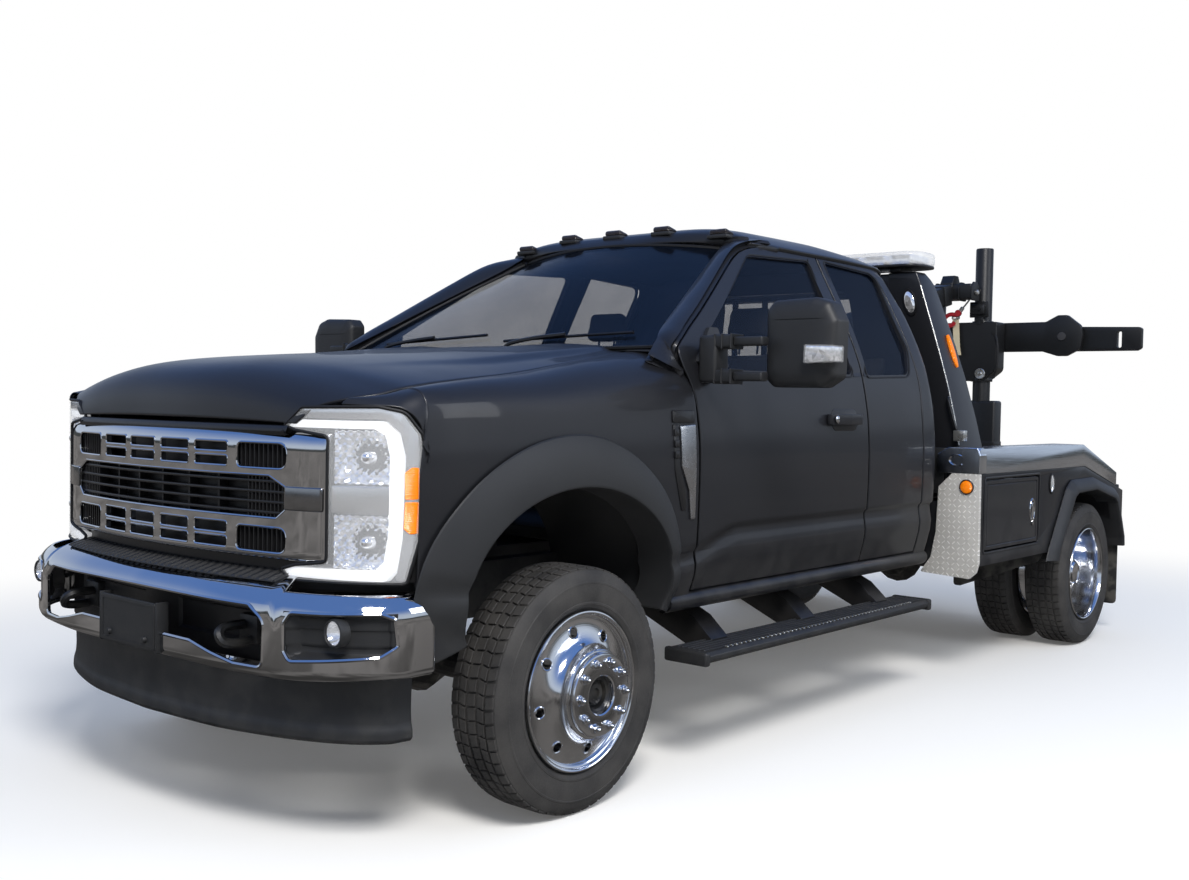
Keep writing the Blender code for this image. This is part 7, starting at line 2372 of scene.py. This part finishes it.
# %% Lift frame
foot = turned("lift_foot", [(0, -0.29), (0.052, -0.29), (0.055, -0.286), (0.055, 0.286), (0.052, 0.29),
    (0, 0.29)], (0, 4.98, 0.62), "x", 36)
parts = [block("shoe", (-0.286, 4.985, 0.592), (0.286, 5.158, 0.668), 0.008),
    block("web", (-0.11, 5.082, 0.64), (0.11, 5.118, 1.3), 0.004)]
for sign in (1, -1):
    low, high = sorted((sign * 0.102, sign * 0.288))
    parts.append(block("column", (low, 5.042, 0.594), (high, 5.16, 1.398), 0.016, 3))
    for z in (0.8, 1.08):
        parts.append(block("band", (low - 0.001, 5.04, z), (high + 0.001, 5.1615, z + 0.045), 0.004))
    top = 2.42 if sign > 0 else 2.15
    parts.append(turned("tube", [(0, 1.29), (0.057, 1.29), (0.057, top - 0.008), (0.054, top), (0.047, top),
        (0.045, top - 0.008), (0.045, top - 0.09), (0, top - 0.09)], (sign * 0.165, 5.1, 0), "z", 48))
settle(join(foot, *parts), "lift", BLACK_STEEL, "lift_frame", angle=40)

# %% [markdown]
# The carriage is a box with two bores that run on the lift's tubes, closed by collars.

# %% Carriage
outline = rounded([(-0.29, 1.6), (-0.2, 1.53), (0.2, 1.53), (0.29, 1.6), (0.29, 1.924), (-0.29, 1.924)],
    [0.05, 0.03, 0.03, 0.05, 0.012, 0.012], 6)
carriage = plate("carriage_box", outline, "y", (5.031, 5.169), 0.006, 3, 50)
for sign in (1, -1):
    carve(carriage, turned("bore", [(0, 1.4), (0.062, 1.4), (0.062, 2.1), (0, 2.1)], (sign * 0.165, 5.1, 0),
        "z", 48))
collars = []
for sign in (1, -1):
    for z in (1.538, 1.915):
        collars.append(turned("collar", [(0.0625, z - 0.012), (0.07, z - 0.012), (0.071, z - 0.009),
            (0.071, z + 0.014), (0.069, z + 0.017), (0.0625, z + 0.017)], (sign * 0.165, 5.1, 0), "z", 48))
boss = turned("boss", [(0, 0), (0.07, 0), (0.07, 0.0085), (0, 0.0085)], (0, 5.166, 1.8265), "y", 36)
settle(join(carriage, boss, *collars), "carriage", BLACK_STEEL, "carriage", angle=40)
disc = turned("carriage_disc", [(0, 0), (0.034, 0), (0.036, -0.003), (0.036, -0.01), (0.032, -0.014),
    (0.016, -0.012), (0.01, -0.02), (0, -0.021)], (0.185, 5.031, 1.578), "y", 32)
settle(disc, "carriage", ZINC, slot=None)
hose = bar("lift_hose", flowing([(0.272, 5.04, 1.56), (0.3, 5.02, 1.62), (0.306, 5.018, 1.72),
    (0.296, 5.024, 1.8), (0.27, 5.04, 1.85)], 8), 0.0085, 10)
fittings = [turned("fitting", [(0, -0.012), (0.012, -0.012), (0.012, 0.012), (0, 0.012)], Vector(at), "y", 6)
    for at in ((0.27, 5.036, 1.556), (0.268, 5.036, 1.852))]
settle(join(hose, *fittings), "carriage", RUBBER_SEAL, slot=None)
clamp = block("lift_clamp", (0.1, 5.025, 1.955), (0.232, 5.04, 2.06), 0.006)
valve = [block("valve", (0.118, 4.996, 1.975), (0.212, 5.026, 2.04), 0.006),
    turned("port", [(0, 0), (0.01, 0), (0.01, -0.014), (0, -0.014)], (0.14, 4.997, 2.01), "y", 16),
    turned("port", [(0, 0), (0.01, 0), (0.01, -0.014), (0, -0.014)], (0.185, 4.997, 2.01), "y", 16)]
bridge = block("bridge", (0.135, 5.03, 1.915), (0.195, 5.036, 1.96), 0.002)
settle(join(clamp, *valve, bridge), "carriage", BLACK_STEEL)

# %% [markdown]
# The crossbar swings on the carriage's boss, and each arm swings on a bolt at the bar's end.

# %% Crossbar and arms
half_bar = [(0, 1.924), (0.56, 1.924), (0.64, 1.966), (0.7, 1.966), (0.79, 1.895), (0.803, 1.83),
    (0.79, 1.745), (0.7, 1.698), (0.64, 1.698), (0.54, 1.729), (0, 1.729)]
half_bar = rounded(half_bar, [0, 0.03, 0.03, 0.03, 0.04, 0.04, 0.04, 0.03, 0.03, 0.03, 0], 5)
full = half_bar + [(-x, z) for x, z in reversed(half_bar) if x > 0.0001]
crossbar = plate("crossbar_plate", full, "y", (5.181, 5.219), 0.004, 2, 50)
bosses = [turned("boss", [(0, 0), (0.05, 0), (0.05, 0.0055), (0, 0.0055)], (sign * 0.67, 5.2145, 1.8265), "y",
    32) for sign in (1, -1)]
settle(join(crossbar, *bosses), "crossbar", BLACK_STEEL, "crossbar", angle=40)
caps = turned("crossbar_cap", [(0, 0), (0.026, 0), (0.028, -0.004), (0.026, -0.01), (0, -0.012)],
    (0.67, 5.181, 1.8265), "y", 28)
pair(caps, "crossbar", ENGINE_IRON, slot=None)
arm_line = rounded([(0.588, 1.748), (0.62, 1.73), (1.13, 1.73), (1.158, 1.745), (1.158, 1.87), (1.14, 1.88),
    (0.76, 1.89), (0.62, 1.912), (0.585, 1.88)], [0.03, 0.03, 0.02, 0.02, 0.012, 0.012, 0.06, 0.04, 0.03], 5)
arm = plate("lift_arm", arm_line, "y", (5.2265, 5.264), 0.004, 2, 50)
carve(arm, plate("cut", rectangle((1.006, 1.75), (1.036, 1.855), 0.013, 5), "y", (5, 5.5)))
pair(arm, "arm_{}", BLACK_STEEL, "lift_arm_{}", angle=40)
bolt = turned("arm_bolt", [(0, 0), (0.032, 0), (0.034, 0.003), (0.034, 0.01), (0.024, 0.014), (0, 0.015)],
    (0.67, 5.264, 1.8265), "y", 28)
pair(bolt, "arm_{}", ZINC, slot=None)

# %% [markdown]
# ## Inside the cab
#
# Two bucket seats and a bench, all in dark woven cloth. Each cushion is blown up like a real one: a
# slightly small shape is remeshed and swollen by cloth simulation with its gravity off. The bench's
# head rests wear a darker cloth.

# %% Cloth
def woven(name, colour, size=420):
    """Woven cloth: crossed threads, a little wear and a soft sheen in the roughness."""
    finish = Finish(name, Specular_IOR_Level=0.25)
    threads = []
    for letter in ("x", "y", "z"):
        wave = finish.axis(letter) * size
        threads.append(wave.maths("SINE", wave))
    weave = (threads[0] * threads[1] + threads[2] * threads[1] + threads[0] * threads[2]) * 0.16 + 0.5
    cloud = finish.noise(7, 4)
    low, high = tones(colour, 0.65, 1.35)
    finish.put("Base Color", finish.blend(weave * 0.6 + cloud * 0.4, low, high))
    finish.put("Roughness", finish.ramp(cloud, 0.3, 0.7, 0.78, 0.92))
    finish.bump(weave, 0.0006, 0.5)
    return finish.material


SEAT_CLOTH = woven("seat_cloth", shade(52, 53, 56))
SEAT_EDGE = woven("seat_edge_cloth", shade(34, 35, 37))


# %% [markdown]
# A voxel remesh gives the cloth even cells. Pressure pads the shape out for twelve frames, and no point
# may move farther than `swell`, so that the cushion keeps its measured size.

# %% Blow a cushion up
def crowned(piece, swell=0.022):
    """Pads a closed shape out by cloth simulation and applies the result."""
    only(piece)
    modify(piece, "REMESH", mode="VOXEL", voxel_size=0.011)
    start = [vertex.co.copy() for vertex in piece.data.vertices]
    cloth = piece.modifiers.new("padding", "CLOTH")
    cloth.settings.quality = 4
    cloth.settings.use_pressure = True
    cloth.settings.uniform_pressure_force = 4
    cloth.settings.effector_weights.gravity = 0
    for frame_number in range(1, 13):
        bpy.context.scene.frame_set(frame_number)
    only(piece)
    bpy.ops.object.modifier_apply(modifier="padding")
    bpy.context.scene.frame_set(1)
    for vertex, before in zip(piece.data.vertices, start):
        move = vertex.co - before
        if move.length > swell:
            vertex.co = before + move * (swell / move.length)
    modify(piece, "SMOOTH", factor=0.5, iterations=3)
    return piece


def cushion(name, outline, across, soft=0.035):
    """Cushion from its side outline (y, z) and its span in x, rounded before it swells."""
    low, high = across
    middle = Vector((sum(y for y, z in outline), sum(z for y, z in outline))) / len(outline)
    small = [tuple(middle + (Vector(c) - middle) * 0.9) for c in outline]
    return crowned(plate(name, small, "x", (low + 0.022, high - 0.022), soft, 3))


# %% [markdown]
# Each front seat is a cushion, a back and a head rest on two posts; the bench has one cushion, one back
# and two rests. Side outlines in lengths and heights give their lean.

# %% Seats
for side, sign in (("left", 1), ("right", -1)):
    span = sorted((sign * 0.172, sign * 0.698))
    seat = cushion("front_cushion_" + side, [(1.224, 0.975), (1.224, 1.105), (1.5, 1.112), (1.776, 1.1),
        (1.776, 0.965)], span)
    back = cushion("front_back_" + side, [(1.665, 1.05), (1.775, 1.05), (1.895, 1.612), (1.805, 1.632)], span)
    rest = cushion("head_rest_" + side, [(1.803, 1.655), (1.888, 1.64), (1.922, 1.79), (1.846, 1.812)],
        sorted((sign * 0.305, sign * 0.565)), 0.025)
    for piece in (seat, back, rest):
        settle(piece, "truck", SEAT_CLOTH, slot="seat_fabric", angle=60)
    posts = [bar("post", [Vector((x, 1.852, 1.58)), Vector((x, 1.868, 1.7))], 0.006, 8)
        for x in (sign * 0.385, sign * 0.485)]
    base = plate("seat_base", rounded([(1.285, 0.76), (1.285, 0.96), (1.695, 0.96), (1.695, 0.76)], 0.03),
        "x", sorted((sign * 0.255, sign * 0.615)), 0.01)
    base = join(base, *posts, name="seat_base_" + side)
    settle(base, "truck", BLACK_PLASTIC, "front_seats")
console = plate("console", rounded([(1.205, 0.7), (1.205, 1.06), (1.26, 1.078), (1.75, 1.078), (1.76, 0.7)],
    0.03), "x", (-0.14, 0.14), 0.015, 3)
settle(console, "truck", BLACK_PLASTIC)
bench = cushion("bench_cushion", [(2.186, 0.975), (2.186, 1.098), (2.4, 1.104), (2.596, 1.098),
    (2.596, 0.97)], (-0.79, 0.79))
bench_back = cushion("bench_back", [(2.49, 1.095), (2.606, 1.095), (2.622, 1.63), (2.556, 1.632)],
    (-0.79, 0.79))
for piece in (bench, bench_back):
    settle(piece, "truck", SEAT_CLOTH, slot="seat_fabric", angle=60)
base = block("bench_base", (-0.69, 2.224, 0.7), (0.69, 2.556, 0.965), 0.012)
settle(base, "truck", BLACK_PLASTIC, "rear_bench")
rests = [cushion(f"bench_rest_{number}", [(2.548, 1.64), (2.61, 1.64), (2.616, 1.745), (2.556, 1.752)],
    (x - 0.11, x + 0.11), 0.02) for number, x in enumerate((-0.46, 0.46))]
for piece in rests:
    settle(piece, "truck", SEAT_EDGE, slot="seat_fabric", angle=60)

# %% [markdown]
# The dashboard is one dark moulding with an instrument hood, four round vents and a blank screen.
# The steering wheel has a round rim, a padded hub and three spokes.

# %% Dashboard
dash_line = rounded([(0.655, 1.05), (0.655, 1.44), (0.76, 1.492), (0.9, 1.488), (0.985, 1.44), (1.005, 1.33),
    (0.96, 1.2), (0.985, 1.06), (0.9, 1.025)], 0.03, 4)
dash = plate("dash_body", dash_line, "x", (-0.778, 0.778), 0.012, 3, 50)
hood_part = plate("gauge_hood", rounded([(0.8, 1.47), (0.985, 1.43), (1.008, 1.47), (0.965, 1.498),
    (0.84, 1.5)], 0.015), "x", (0.215, 0.585), 0.012, 3)
vents = []
for x in (-0.7, -0.17, 0.13, 0.7):
    vents.append(turned("vent", [(0, -0.002), (0.04, -0.002), (0.046, 0.004), (0.05, 0.004), (0.052, 0),
        (0.052, -0.006), (0, -0.01)], (x, 0.998, 1.37), "y", 24))
screen = plate("screen", rectangle((-0.125, 1.19), (0.105, 1.325), 0.01), "y", (0.985, 1.008), 0.003)
bin_lid = plate("glove_box", rectangle((-0.62, 1.1), (-0.24, 1.29), 0.02), "y", (0.965, 1.004), 0.006)
settle(join(dash, hood_part, *vents, bin_lid), "truck", BLACK_PLASTIC, "dashboard", angle=40)
settle(screen, "truck", SATIN_BLACK)
middle = Vector((0.4, 1.17, 1.345))
tilt = Matrix.Translation(middle) @ Matrix.Rotation(math.radians(-25), 4, "X")
rim = bar("wheel_rim", [Vector((0.19 * math.cos(math.radians(t)), 0, 0.19 * math.sin(math.radians(t))))
    for t in range(0, 360, 8)], 0.0135, 10, True)
hub = turned("wheel_hub", [(0, 0.01), (0.055, 0.008), (0.07, 0), (0.07, -0.03), (0.03, -0.05), (0, -0.05)],
    (0, 0, 0), "y", 28)
spokes = [plate("spoke", [(0.05 * math.cos(t) - 0.014 * math.sin(t),
    0.05 * math.sin(t) + 0.014 * math.cos(t)), (0.19 * math.cos(t) - 0.011 * math.sin(t),
    0.19 * math.sin(t) + 0.011 * math.cos(t)), (0.19 * math.cos(t) + 0.011 * math.sin(t),
    0.19 * math.sin(t) - 0.011 * math.cos(t)), (0.05 * math.cos(t) + 0.014 * math.sin(t),
    0.05 * math.sin(t) - 0.014 * math.cos(t))], "y", (-0.012, 0.002), 0.003)
    for t in (math.radians(5), math.radians(175), math.radians(270))]
wheel = join(rim, hub, *spokes)
wheel.data.transform(tilt)
column = bar("column", [middle + Vector((0, -0.03, -0.015)), Vector((0.4, 0.96, 1.25))], 0.032, 16)
wheel = join(wheel, column, name="steering_wheel")
settle(wheel, "truck", SATIN_BLACK, angle=40)


# %% [markdown]
# ## Closing
#
# The number of pieces made is printed. The dressed truck may stand only a little outside the
# frame's box.

# %% Count the pieces
print("pieces made:", COUNT["pieces"])
